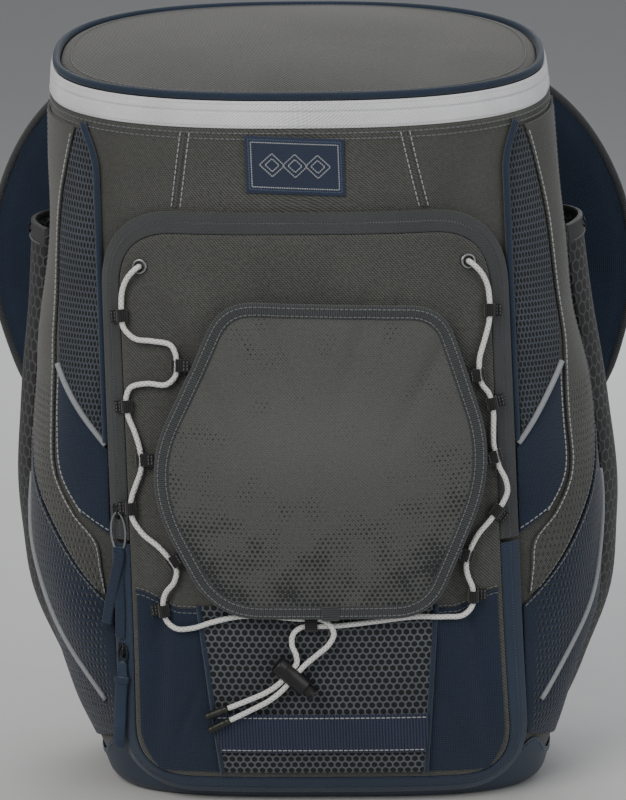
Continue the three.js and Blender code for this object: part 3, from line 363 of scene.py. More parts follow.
def stitches(name: str, lines: Sequence[tuple[Array, Array]], pitch: float = 0.0034,
             width: float = 0.0009, height: float = 0.0005) -> bpy.types.Object:
    """Row of short joined stitches along seams.

    Each stitch is a capsule of three rings of six corners, as long as 0.86 of the pitch.

    Args:
        name: Name of the piece.
        lines: Pairs of a path and the ways outwards along it.
        pitch: Distance from stitch to stitch.
        width: Width of the thread as it lies.
        height: How far it stands out.

    Returns:
        One object with all the stitches.
    """
    all_points, count = [], 0
    for path, outward in lines:
        run = running(path)
        number = max(int(run[-1] / pitch), 1)
        at = (np.arange(number) + 0.5) * run[-1] / number
        centre, up = (np.stack([np.interp(at, run, a[:, k]) for k in range(3)], 1)
                      for a in (path, np.broadcast_to(outward, path.shape)))
        ahead = np.stack([np.interp(at + pitch / 4, run, path[:, k]) for k in range(3)], 1)
        behind = np.stack([np.interp(at - pitch / 4, run, path[:, k]) for k in range(3)], 1)
        tangent = unit(ahead - behind)
        side = unit(np.cross(tangent, up))
        normal = np.cross(side, tangent)
        angle = np.arange(6) * math.pi / 3
        for shift, size in ((-0.43, 0.35), (-0.28, 1.0), (0.28, 1.0), (0.43, 0.35)):
            ring = (side[:, None] * np.cos(angle)[None, :, None] * width / 2
                    - normal[:, None] * np.sin(angle)[None, :, None] * height) * size
            all_points.append((centre + tangent * shift * pitch)[:, None] + ring)
        count += 1
    blocks, quads, ends, base = [], [], [], 0
    corner = np.arange(6)
    for k in range(count):
        rings = np.stack(all_points[4 * k:4 * k + 4], 1)
        number = rings.shape[0]
        start = base + np.arange(number)[:, None, None] * 24
        level = np.arange(3)[None, :, None] * 6
        a, b = start + level + corner, start + level + (corner + 1) % 6
        quads.append(np.stack([a, b, b + 6, a + 6], -1).reshape(-1, 4))
        first, last = start[:, 0], start[:, 0] + 18
        ends += [np.concatenate([first + [5, 4, 3, 2], first + [5, 2, 1, 0]]),
                 np.concatenate([last + [0, 1, 2, 3], last + [0, 3, 4, 5]])]
        blocks.append(rings.reshape(-1, 3))
        base += number * 24
    points = np.vstack(blocks)
    return mesh_object(name, points, np.vstack(quads + ends), None, points[:, [0, 2]])


# The body and the pocket, whose faces every piece of cloth follows

@dataclass(frozen=True)
class Body:
    """Outer form of the bag: superellipse sections that change with height."""

    height: float = 0.430
    width: float = 0.370
    front: float = 0.095
    back: float = 0.088
    rise: float = 0.047
    lean: float = 0.014
    floor: float = 0.0023
    crease: float = 0.0016
    shares: tuple = (0.00, 0.04, 0.15, 0.27, 0.37, 0.46, 0.55, 0.70, 0.77, 0.87, 1.00, 1.06)
    widths: tuple = (0.760, 0.790, 0.885, 0.975, 1, 1, 0.980, 0.930, 0.908, 0.878, 0.865, 0.850)
    fronts: tuple = (0.90, 0.94, 1, 1, 1, 1, 0.98, 0.93, 0.90, 0.86, 0.80, 0.79)
    backs: tuple = (0.84, 0.88, 0.97, 1, 1, 1, 1, 1, 1, 1, 1, 1)
    squares: tuple = (3.4, 3.4, 3.4, 3.3, 3.3, 3.2, 3.1, 3.0, 2.9, 2.8, 2.6, 2.5)

    def half_width(self, share: Array) -> Array:
        """Half width of the body at a height share."""
        return self.width / 2 * along(self.shares, self.widths, share)

    def bare(self, turn: Array, share: Array) -> Array:
        """Point of the form before it is set in the frame.

        x is the half width times |sin|^p and y the reach times |cos|^p with p = 2 / squareness;
        the rim rises to the back, and the whole leans to one side with height.

        Args:
            turn: 0 in front, 1 on the right, 2 behind, -1 on the left.
            share: Height share.

        Returns:
            The points.
        """
        turn, share = np.broadcast_arrays(np.asarray(turn, float), np.asarray(share, float))
        sine, cosine = np.sin(turn * math.pi / 2), np.cos(turn * math.pi / 2)
        power = 2 / along(self.shares, self.squares, share)
        reach = np.where(cosine > 0, self.front * along(self.shares, self.fronts, share),
                         self.back * along(self.shares, self.backs, share))
        x = self.half_width(share) * np.sign(sine) * np.abs(sine)**power
        y = -reach * np.sign(cosine) * np.abs(cosine)**power
        rise = self.rise * smoothstep(share, 0.7, 1) * (y + self.front) / (self.front + self.back)
        z = share * self.height + rise
        return np.stack([x - self.lean * z / self.height, y, z], -1)

    def normal(self, turn: Array, share: Array) -> Array:
        """Way outwards: the cross product of small steps round and up the form."""
        step = 0.01
        side = self.bare(turn + step, share) - self.bare(turn - step, share)
        rise = self.bare(turn, share + step) - self.bare(turn, share - step)
        return unit(np.cross(side, rise))

    def shift(self) -> Array:
        """The step from the form to the frame, from the lowest corner of the shell's solid."""
        low = np.array(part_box("main_shell")[0])
        own = [self.bare(-1, 0.46)[0], self.bare(0, 0.27)[1], self.floor]
        return low - np.array(own)

    def at(self, turn: Array, share: Array, out: Array = 0.0) -> Array:
        """Point in the frame, at a distance out from the form."""
        turn, share = np.asarray(turn, float), np.asarray(share, float)
        lift = np.asarray(out, float)[..., None] * self.normal(turn, share)
        return self.bare(turn, share) + lift + SHIFT

    def ease(self, turn: Array, share: Array) -> Array:
        """Slack of the cloth: long soft creases, as sums of slanting sines, that die at seams."""
        angle = np.asarray(turn, float) * math.pi / 2
        wave = (np.sin(5 * angle + 13 * share + 1.7 * np.sin(9 * share))
                + 0.7 * np.sin(8 * angle - 21 * share + 2.1)
                + 0.5 * np.sin(3 * angle + 34 * share + 0.6))
        fade = smoothstep(share, 0.06, 0.14) * (1 - smoothstep(share, 0.9, 0.98))
        return self.crease * wave / 2.2 * fade

    def skin(self, turn: Array, share: Array, out: Array = 0.0) -> Array:
        """Point on the cloth of the body, which has slack in it, at a distance out."""
        return self.at(turn, share, out + self.ease(turn, share))

    def turn_at(self, across: Array, share: Array) -> Array:
        """Turn at which the front reaches a distance to the side of its middle."""
        power = along(self.shares, self.squares, share) / 2
        part = np.minimum(np.abs(across) / self.half_width(share), 1)
        return np.sign(across) * np.arcsin(part**power) / (math.pi / 2)

    def on_front(self, across: Array, up: Array, out: Array = 0.0) -> Array:
        """Point over the front, by its distances across and up."""
        across, up = np.asarray(across, float), np.asarray(up, float)
        share = up / self.height
        return self.at(self.turn_at(across, share), share, out)

    def over_rim(self, level: Array) -> Array:
        """Height share of a level measured up from the rim."""
        return 1 + np.asarray(level, float) / self.height


BODY = Body()
SHIFT = np.zeros(3)
SHIFT = BODY.shift()


@dataclass(frozen=True)
class Pocket:
    """Face of the front pocket: it stands off the body by a gusset, a crown and folds."""

    width: float = 0.226
    flare: float = 0.008
    foot: float = 0.021
    top: float = 0.368
    corner: float = 0.034
    gusset: float = 0.012
    crown: float = 0.008
    wall: float = 0.002
    folds: tuple = (
        (-0.64, 0.60, 0.30, 0.045, -55, -0.28), (-0.20, 0.68, 0.26, 0.045, -68, -0.24),
        (0.30, 0.66, 0.28, 0.050, 62, -0.24), (0.70, 0.58, 0.30, 0.045, 50, -0.28),
        (-0.88, -0.62, 0.30, 0.060, 82, -0.42), (0.88, -0.66, 0.30, 0.060, -82, -0.36))
    creases: tuple = (
        (-0.44, 0.74, 0.20, 0.020, -62, -0.16), (-0.76, 0.72, 0.14, 0.020, -48, -0.14),
        (0.06, 0.74, 0.16, 0.022, 84, -0.14), (0.50, 0.74, 0.18, 0.020, 56, -0.15),
        (0.84, 0.70, 0.13, 0.020, 44, -0.13), (-0.80, -0.30, 0.22, 0.024, 64, -0.16),
        (-0.74, -0.78, 0.16, 0.026, 58, -0.18), (0.78, -0.34, 0.20, 0.024, -60, -0.15),
        (0.74, -0.80, 0.15, 0.026, -52, -0.18), (-0.93, 0.05, 0.25, 0.020, 86, -0.12),
        (0.93, 0.10, 0.25, 0.020, -86, -0.12), (0.0, -0.92, 0.30, 0.025, 4, -0.12))

    def half_width(self, up: Array) -> Array:
        """Half width at a height, a little wider towards the foot."""
        return (self.width + self.flare * (1 - np.asarray(up, float) / self.top)) / 2

    def stand(self, across: Array, up: Array, creased: bool = False) -> Array:
        """How far the face stands off the body.

        The gusset times one plus the folds, each a long narrow bell turned by its angle, plus a
        crown that is a parabola both ways.

        Args:
            across: Distance to the side of the middle.
            up: Height.
            creased: Whether the small creases are in it too.

        Returns:
            The distances.
        """
        middle, half = (self.top + self.foot) / 2, (self.top - self.foot) / 2
        u = np.clip(across / self.half_width(up), -1, 1)
        v = np.clip((up - middle) / half, -1, 1)
        fold = np.zeros(np.broadcast(u, v).shape)
        for a, b, long, broad, turn, deep in self.folds + (self.creases if creased else ()):
            c, s = math.cos(math.radians(turn)), math.sin(math.radians(turn))
            lengthwise, sideways = (u - a) * c + (v - b) * s, (v - b) * c - (u - a) * s
            fold = fold + deep * np.exp(-(lengthwise / long)**2 - (sideways / broad)**2)
        edge = (1 - u**8) * (1 - v**8)
        return self.gusset * (1 + fold * edge) + self.crown * (1 - u * u) * (1 - v * v)

    def on(self, across: Array, up: Array, out: Array = 0.0, creased: bool = False) -> Array:
        """Point over the face in the frame, by its distances across, up and out."""
        across, up = np.asarray(across, float), np.asarray(up, float)
        return BODY.on_front(across, up, self.stand(across, up, creased) + out)

    def outward(self, across: Array, up: Array) -> Array:
        """Way outwards from the face."""
        return unit(BODY.on_front(across, up, 0.012) - BODY.on_front(across, up, 0.0))

    def outline(self, count: int) -> Array:
        """Clockwise outline of the pocket, with rounded corners."""
        low, high = self.half_width(self.foot), self.half_width(self.top)
        return rounded([(-low, self.foot, self.corner), (-high, self.top, self.corner),
                        (high, self.top, self.corner), (low, self.foot, self.corner)], count)


POCKET = Pocket()


# Materials

def linear(code: str) -> tuple[float, float, float, float]:
    """Colour from its sRGB hex code, made linear by the sRGB curve."""
    parts = [int(code[i:i + 2], 16) / 255 for i in (1, 3, 5)]
    return tuple(p / 12.92 if p <= 0.04045 else ((p + 0.055) / 1.055)**2.4 for p in parts) + (1.0,)


class Graph:
    """Node tree of one material, filled a node at a time."""

    def __init__(self, title: str) -> None:
        """Starts an empty tree."""
        self.material = bpy.data.materials.new(title)
        self.material.use_nodes = True
        self.tree = self.material.node_tree
        self.tree.nodes.clear()

    def add(self, kind: str, settings: dict | None = None, links: dict | None = None
            ) -> bpy.types.Node:
        """Adds a node.

        Args:
            kind: Blender's name for the node.
            settings: Values of its properties.
            links: For each input, a node, a socket or a plain value.

        Returns:
            The node.
        """
        node = self.tree.nodes.new(kind)
        for key, value in (settings or {}).items():
            setattr(node, key, value)
        for key, value in (links or {}).items():
            if isinstance(value, bpy.types.Node):
                value = value.outputs[0]
            if isinstance(value, bpy.types.NodeSocket):
                self.tree.links.new(value, node.inputs[key])
            else:
                node.inputs[key].default_value = value
        return node

    def surface(self, base: object, roughness: object, height: object | None = None,
                depth: float = 0.0004, **constants: object) -> None:
        """Ends the tree in a shader.

        Args:
            base: Colour or the node that gives it.
            roughness: Roughness or the node that gives it.
            height: Node that gives the relief, 0 to 1.
            depth: What a height of 1 stands for, in metres.
            constants: Further values, set on the shader's own sockets.
        """
        shader = self.add("ShaderNodeBsdfPrincipled", {}, {"Base Color": base,
                                                           "Roughness": roughness})
        for key, value in constants.items():
            shader.inputs[key.replace("_", " ")].default_value = value
        if height is not None:
            bump = self.add("ShaderNodeBump", {}, {"Strength": 1.0, "Distance": depth,
                                                   "Height": height})
            self.tree.links.new(bump.outputs[0], shader.inputs["Normal"])
        self.add("ShaderNodeOutputMaterial", {}, {"Surface": shader})


class Place(Enum):
    """Where a pattern is read."""

    CLOTH = "UV"
    SPACE = "Object"


class Weaving(Enum):
    """How threads cross."""

    PLAIN = "plain"
    TWILL = "twill"
    RIBBED = "ribbed"


@dataclass(frozen=True)
class Finish:
    """A finish; its material is made once and shared."""

    title: str

    def paint(self, graph: Graph) -> None:
        """Fills the tree."""
        raise NotImplementedError

    def material(self) -> bpy.types.Material:
        """The material, made on first use."""
        found = bpy.data.materials.get(self.title)
        if found is None:
            graph = Graph(self.title)
            self.paint(graph)
            found = graph.material
        return found

    def spot(self, graph: Graph, place: Place) -> bpy.types.NodeSocket:
        """Coordinates that the pattern is read at, in metres."""
        return graph.add("ShaderNodeTexCoord").outputs[place.value]

    def cells(self, graph: Graph, spot: object, size: float) -> tuple[object, object]:
        """Distances in a field of hexagons.

        Two lattices of spacing (1, 1.732), half a step apart, hold all the middles. The distance
        to one is the length to it, and the hexagon's own distance is the greater of |x| and
        |x| / 2 + 0.866 |y|. The nearer lattice wins.

        Args:
            graph: The tree.
            spot: Coordinates in metres.
            size: Width of a cell in metres.

        Returns:
            The hexagon's distance and the round one, both in cells.
        """
        sides, rounds = [], []
        scale = (1 / size, 1 / (size * 1.732), 0.0)
        for offset in ((0.0, 0.0, 0.0), (0.5, 0.5, 0.0)):
            placed = graph.add("ShaderNodeVectorMath", {"operation": "MULTIPLY_ADD"},
                               {0: spot, 1: scale, 2: offset})
            part = graph.add("ShaderNodeVectorMath", {"operation": "FRACTION"}, {0: placed})
            centred = graph.add("ShaderNodeVectorMath", {"operation": "SUBTRACT"},
                                {0: part, 1: (0.5, 0.5, 0.0)})
            sized = graph.add("ShaderNodeVectorMath", {"operation": "MULTIPLY"},
                              {0: centred, 1: (1.0, 1.732, 0.0)})
            held = graph.add("ShaderNodeVectorMath", {"operation": "ABSOLUTE"}, {0: sized})
            slant = graph.add("ShaderNodeVectorMath", {"operation": "DOT_PRODUCT"},
                              {0: held, 1: (0.5, 0.866, 0.0)})
            axes = graph.add("ShaderNodeSeparateXYZ", {}, {0: held})
            sides.append(graph.add("ShaderNodeMath", {"operation": "MAXIMUM"},
                                   {0: axes, 1: slant.outputs["Value"]}))
            length = graph.add("ShaderNodeVectorMath", {"operation": "LENGTH"}, {0: held})
            rounds.append(length.outputs["Value"])
        hexagon = graph.add("ShaderNodeMath", {"operation": "MINIMUM"}, {0: sides[0], 1: sides[1]})
        circle = graph.add("ShaderNodeMath", {"operation": "MINIMUM"}, {0: rounds[0], 1: rounds[1]})
        return hexagon, circle

    def mottle(self, graph: Graph, spot: object, size: float, detail: float = 2.0) -> object:
        """Cloudy variation whose patches have a size in metres."""
        return graph.add("ShaderNodeTexNoise", {}, {"Vector": spot, "Scale": 1 / size,
                                                    "Detail": detail, "Roughness": 0.55})


@dataclass(frozen=True)
class Woven(Finish):
    """Woven cloth: two sets of threads, heather in the yarn and a little wear.

    The thread pitch is two to three times the real one where that is too fine for the picture.
    """

    dark: str = "#3f403f"
    light: str = "#5c5d5b"
    weaving: Weaving = Weaving.TWILL
    pitch: float = 0.0016
    depth: float = 0.00030
    heather: float = 0.5
    roughness: float = 0.88
    fuzz: float = 0.25
    dots: float = 0.0

    def threads(self, graph: Graph, spot: object) -> object:
        """Relief of the threads: sine ribs one way, and weaker and finer ones across them."""
        first, second, share, fine = {
            Weaving.PLAIN: ("X", "Y", 0.5, 1.0),
            Weaving.TWILL: ("DIAGONAL", "Y", 0.3, 0.8),
            Weaving.RIBBED: ("Y", "X", 0.25, 0.5)}[self.weaving]
        measure = 0.444 if first == "DIAGONAL" else 0.31416
        main = graph.add("ShaderNodeTexWave", {"bands_direction": first},
                         {"Vector": spot, "Scale": measure / self.pitch, "Distortion": 0.6,
                          "Detail": 1.0, "Detail Scale": 3.0})
        cross = graph.add("ShaderNodeTexWave", {"bands_direction": second},
                          {"Vector": spot, "Scale": 0.31416 / (self.pitch * fine),
                           "Distortion": 0.4, "Detail": 1.0, "Detail Scale": 2.0})
        return graph.add("ShaderNodeMix", {"data_type": "FLOAT"},
                         {0: share, 2: main, 3: cross})

    def paint(self, graph: Graph) -> None:
        """Threads, yarn colour between dark and light, slow fading, relief and fuzz, and painted shade
        in any pressed dents.
        """
        spot = self.spot(graph, Place.CLOTH)
        threads = self.threads(graph, spot)
        yarn = self.mottle(graph, spot, self.pitch * 1.6, 3.0)
        wear = self.mottle(graph, spot, 0.06, 3.0)
        tone = graph.add("ShaderNodeMix", {"data_type": "FLOAT"},
                         {0: self.heather, 2: threads, 3: yarn})
        sharp = graph.add("ShaderNodeMapRange", {}, {0: tone, 1: 0.28, 2: 0.74, 3: 0.0, 4: 1.0})
        colour = graph.add("ShaderNodeMix", {"data_type": "RGBA"},
                           {0: sharp, 6: linear(self.dark), 7: linear(self.light)})
        fade = graph.add("ShaderNodeMapRange", {}, {0: wear, 1: 0.3, 2: 0.75, 3: 0.86, 4: 1.1})
        base = graph.add("ShaderNodeVectorMath", {"operation": "SCALE"},
                         {0: colour.outputs[2], 3: fade})
        height: object = threads
        if self.dots:
            _, circle = self.cells(graph, spot, self.dots)
            pit = graph.add("ShaderNodeMapRange", {"interpolation_type": "SMOOTHSTEP"},
                            {0: circle, 1: 0.16, 2: 0.30, 3: 0.0, 4: 1.0})
            mask = graph.add("ShaderNodeAttribute", {"attribute_name": "embossed"})
            lifted = graph.add("ShaderNodeMath", {"operation": "SUBTRACT"},
                               {0: 1.0, 1: pit})
            shown = graph.add("ShaderNodeMath", {"operation": "MULTIPLY"},
                              {0: lifted, 1: mask.outputs["Fac"]})
            dent = graph.add("ShaderNodeMath", {"operation": "MULTIPLY"}, {0: shown, 1: -4.0})
            height = graph.add("ShaderNodeMath", {"operation": "ADD"}, {0: threads, 1: dent})
            # Painted shade: the dents are darkened to 0.6 of the cloth colour
            shade = graph.add("ShaderNodeMapRange", {}, {0: shown, 1: 0.0, 2: 1.0, 3: 1.0, 4: 0.6})
            base = graph.add("ShaderNodeVectorMath", {"operation": "SCALE"}, {0: base, 3: shade})
        gloss = graph.add("ShaderNodeMapRange", {}, {0: yarn, 1: 0.2, 2: 0.8,
                                                     3: self.roughness - 0.06,
                                                     4: self.roughness + 0.05})
        graph.surface(base, gloss, height, self.depth, Sheen_Weight=self.fuzz,
                      Sheen_Roughness=0.5, Specular_IOR_Level=0.35)


@dataclass(frozen=True)
class Netting(Finish):
    """Net of strands round hexagonal holes, or raised lines over a rubbery cloth, where the lines'
    colour is a painted highlight and the cloth's a painted shade.
    """

    strand: str = "#5f666d"
    hole: str = "#10141a"
    cell: float = 0.0042
    edge: float = 0.36
    depth: float = 0.0006
    roughness: float = 0.75
    fuzz: float = 0.15

    def paint(self, graph: Graph) -> None:
        """Strands where the hexagon's distance passes the edge, with a soft shoulder."""
        spot = self.spot(graph, Place.CLOTH)
        hexagon, circle = self.cells(graph, spot, self.cell)
        both = graph.add("ShaderNodeMix", {"data_type": "FLOAT"}, {0: 0.35, 2: hexagon, 3: circle})
        strand = graph.add("ShaderNodeMapRange", {"interpolation_type": "SMOOTHSTEP"},
                           {0: both, 1: self.edge - 0.05, 2: self.edge + 0.05, 3: 0.0, 4: 1.0})
        yarn = self.mottle(graph, spot, self.cell * 0.25, 2.0)
        wear = self.mottle(graph, spot, 0.05, 2.0)
        tone = graph.add("ShaderNodeMapRange", {}, {0: yarn, 1: 0.25, 2: 0.75, 3: 0.75, 4: 1.15})
        fade = graph.add("ShaderNodeMapRange", {}, {0: wear, 1: 0.3, 2: 0.7, 3: 0.85, 4: 1.1})
        both_tones = graph.add("ShaderNodeMath", {"operation": "MULTIPLY"}, {0: tone, 1: fade})
        colour = graph.add("ShaderNodeMix", {"data_type": "RGBA"},
                           {0: strand, 6: linear(self.hole), 7: linear(self.strand)})
        base = graph.add("ShaderNodeVectorMath", {"operation": "SCALE"},
                         {0: colour.outputs[2], 3: both_tones})
        graph.surface(base, self.roughness, strand, self.depth, Sheen_Weight=self.fuzz,
                      Specular_IOR_Level=0.4)


@dataclass(frozen=True)
class Coated(Finish):
    """Smooth coat over cloth or a moulding: fine grain, scuffs that dull it, soft shine."""

    colour: str = "#3a4658"
    worn: str = "#465267"
    grain: float = 0.0012
    depth: float = 0.00012
    roughness: float = 0.45

    def paint(self, graph: Graph) -> None:
        """Colour to worn colour by slow clouds, roughness by finer ones, grain as relief."""
        spot = self.spot(graph, Place.SPACE)
        slow = self.mottle(graph, spot, 0.035, 4.0)
        fine = self.mottle(graph, spot, self.grain, 3.0)
        share = graph.add("ShaderNodeMapRange", {}, {0: slow, 1: 0.35, 2: 0.75, 3: 0.0, 4: 1.0})
        colour = graph.add("ShaderNodeMix", {"data_type": "RGBA"},
                           {0: share, 6: linear(self.colour), 7: linear(self.worn)})
        gloss = graph.add("ShaderNodeMapRange", {}, {0: slow, 1: 0.3, 2: 0.7,
                                                     3: self.roughness - 0.07,
                                                     4: self.roughness + 0.1})
        graph.surface(colour.outputs[2], gloss, fine, self.depth)


@dataclass(frozen=True)
class Plated(Finish):
    """Plated steel: a bright metal with fine scratches that spread its shine."""

    colour: str = "#8d9092"
    roughness: float = 0.32

    def paint(self, graph: Graph) -> None:
        """Metal whose roughness varies with fine clouds."""
        spot = self.spot(graph, Place.SPACE)
        fine = self.mottle(graph, spot, 0.0015, 3.0)
        gloss = graph.add("ShaderNodeMapRange", {}, {0: fine, 1: 0.3, 2: 0.7,
                                                     3: self.roughness - 0.08,
                                                     4: self.roughness + 0.12})
        graph.surface(linear(self.colour), gloss, fine, 0.00004, Metallic=1.0)


@dataclass(frozen=True)
class Braided(Finish):
    """Braided sleeve of a cord: two sets of strands wound against each other."""

    dark: str = "#c4c5c6"
    light: str = "#f0f0ee"
    pitch: float = 0.0022

    def paint(self, graph: Graph) -> None:
        """Two slanting sine waves, one each way round, of which the higher strand shows."""
        spot = self.spot(graph, Place.CLOTH)
        strands = []
        for way in (1.0, -1.0):
            turned = graph.add("ShaderNodeVectorMath", {"operation": "MULTIPLY"},
                               {0: spot, 1: (way, 1.0, 0.0)})
            strands.append(graph.add("ShaderNodeTexWave", {"bands_direction": "DIAGONAL"},
                                     {"Vector": turned, "Scale": 0.444 / self.pitch}))
        height = graph.add("ShaderNodeMath", {"operation": "MAXIMUM"},
                           {0: strands[0], 1: strands[1]})
        dirt = self.mottle(graph, spot, 0.02, 2.0)
        tone = graph.add("ShaderNodeMapRange", {}, {0: height, 1: 0.35, 2: 1.0, 3: 0.0, 4: 1.0})
        fade = graph.add("ShaderNodeMapRange", {}, {0: dirt, 1: 0.3, 2: 0.75, 3: 1.0, 4: 0.9})
        colour = graph.add("ShaderNodeMix", {"data_type": "RGBA"},
                           {0: tone, 6: linear(self.dark), 7: linear(self.light)})
        base = graph.add("ShaderNodeVectorMath", {"operation": "SCALE"},
                         {0: colour.outputs[2], 3: fade})
        graph.surface(base, 0.7, height, 0.0003, Sheen_Weight=0.15)


@dataclass(frozen=True)
class Printed(Woven):
    """Twill with a print of round marks that grow towards some of its edges, and a painted highlight
    over its middle.
    """

    mark: str = "#232629"
    # Pale grey of the painted highlight that lightens the middle of the crowned panel
    painted_highlight: str = "#6f7273"
    cell: float = 0.0034

    def paint(self, graph: Graph) -> None:
        """Marks whose radius follows the attribute "printed", over the threads, on a cloth colour that
        a painted highlight lifts towards pale grey.
        """
        spot = self.spot(graph, Place.CLOTH)
        threads = self.threads(graph, spot)
        yarn = self.mottle(graph, spot, self.pitch * 1.6, 3.0)
        patch = self.mottle(graph, spot, 0.022, 2.0)
        tone = graph.add("ShaderNodeMix", {"data_type": "FLOAT"},
                         {0: self.heather, 2: threads, 3: yarn})
        cloth = graph.add("ShaderNodeMix", {"data_type": "RGBA"},
                          {0: tone, 6: linear(self.dark), 7: linear(self.light)})
        growth = graph.add("ShaderNodeAttribute", {"attribute_name": "printed"})
        loose = graph.add("ShaderNodeMapRange", {}, {0: patch, 1: 0.3, 2: 0.7, 3: -0.16, 4: 0.16})
        reach = graph.add("ShaderNodeMath", {"operation": "ADD"},
                          {0: growth.outputs["Fac"], 1: loose})
        _, circle = self.cells(graph, spot, self.cell)
        gap = graph.add("ShaderNodeMath", {"operation": "SUBTRACT"}, {0: reach, 1: circle})
        shown = graph.add("ShaderNodeMapRange", {"interpolation_type": "SMOOTHSTEP"},
                          {0: gap, 1: -0.02, 2: 0.06, 3: 0.0, 4: 1.0})
        # Painted highlight: the cloth colour is mixed towards pale grey where the crowned panel faces
        # the light
        painted_highlight = graph.add("ShaderNodeAttribute", {"attribute_name": "painted_highlight"})
        lit = graph.add("ShaderNodeMix", {"data_type": "RGBA"},
                        {0: painted_highlight.outputs["Fac"], 6: cloth.outputs[2], 7: linear(self.painted_highlight)})
        inked = graph.add("ShaderNodeMix", {"data_type": "RGBA"},
                          {0: shown, 6: lit.outputs[2], 7: linear(self.mark)})
        graph.surface(inked.outputs[2], self.roughness, threads, self.depth,
                      Sheen_Weight=self.fuzz, Sheen_Roughness=0.5, Specular_IOR_Level=0.35)


@dataclass(frozen=True)
class Thread(Woven):
    """Sewing thread: a very fine twist, smoother than cloth."""

    pitch: float = 0.0007
    depth: float = 0.0001
    heather: float = 0.2
    roughness: float = 0.7


@dataclass(frozen=True)
class Coil(Coated):
    """Nylon coil of a zip: smooth, bright teeth."""

    grain: float = 0.0010
    depth: float = 0.00003
    roughness: float = 0.35


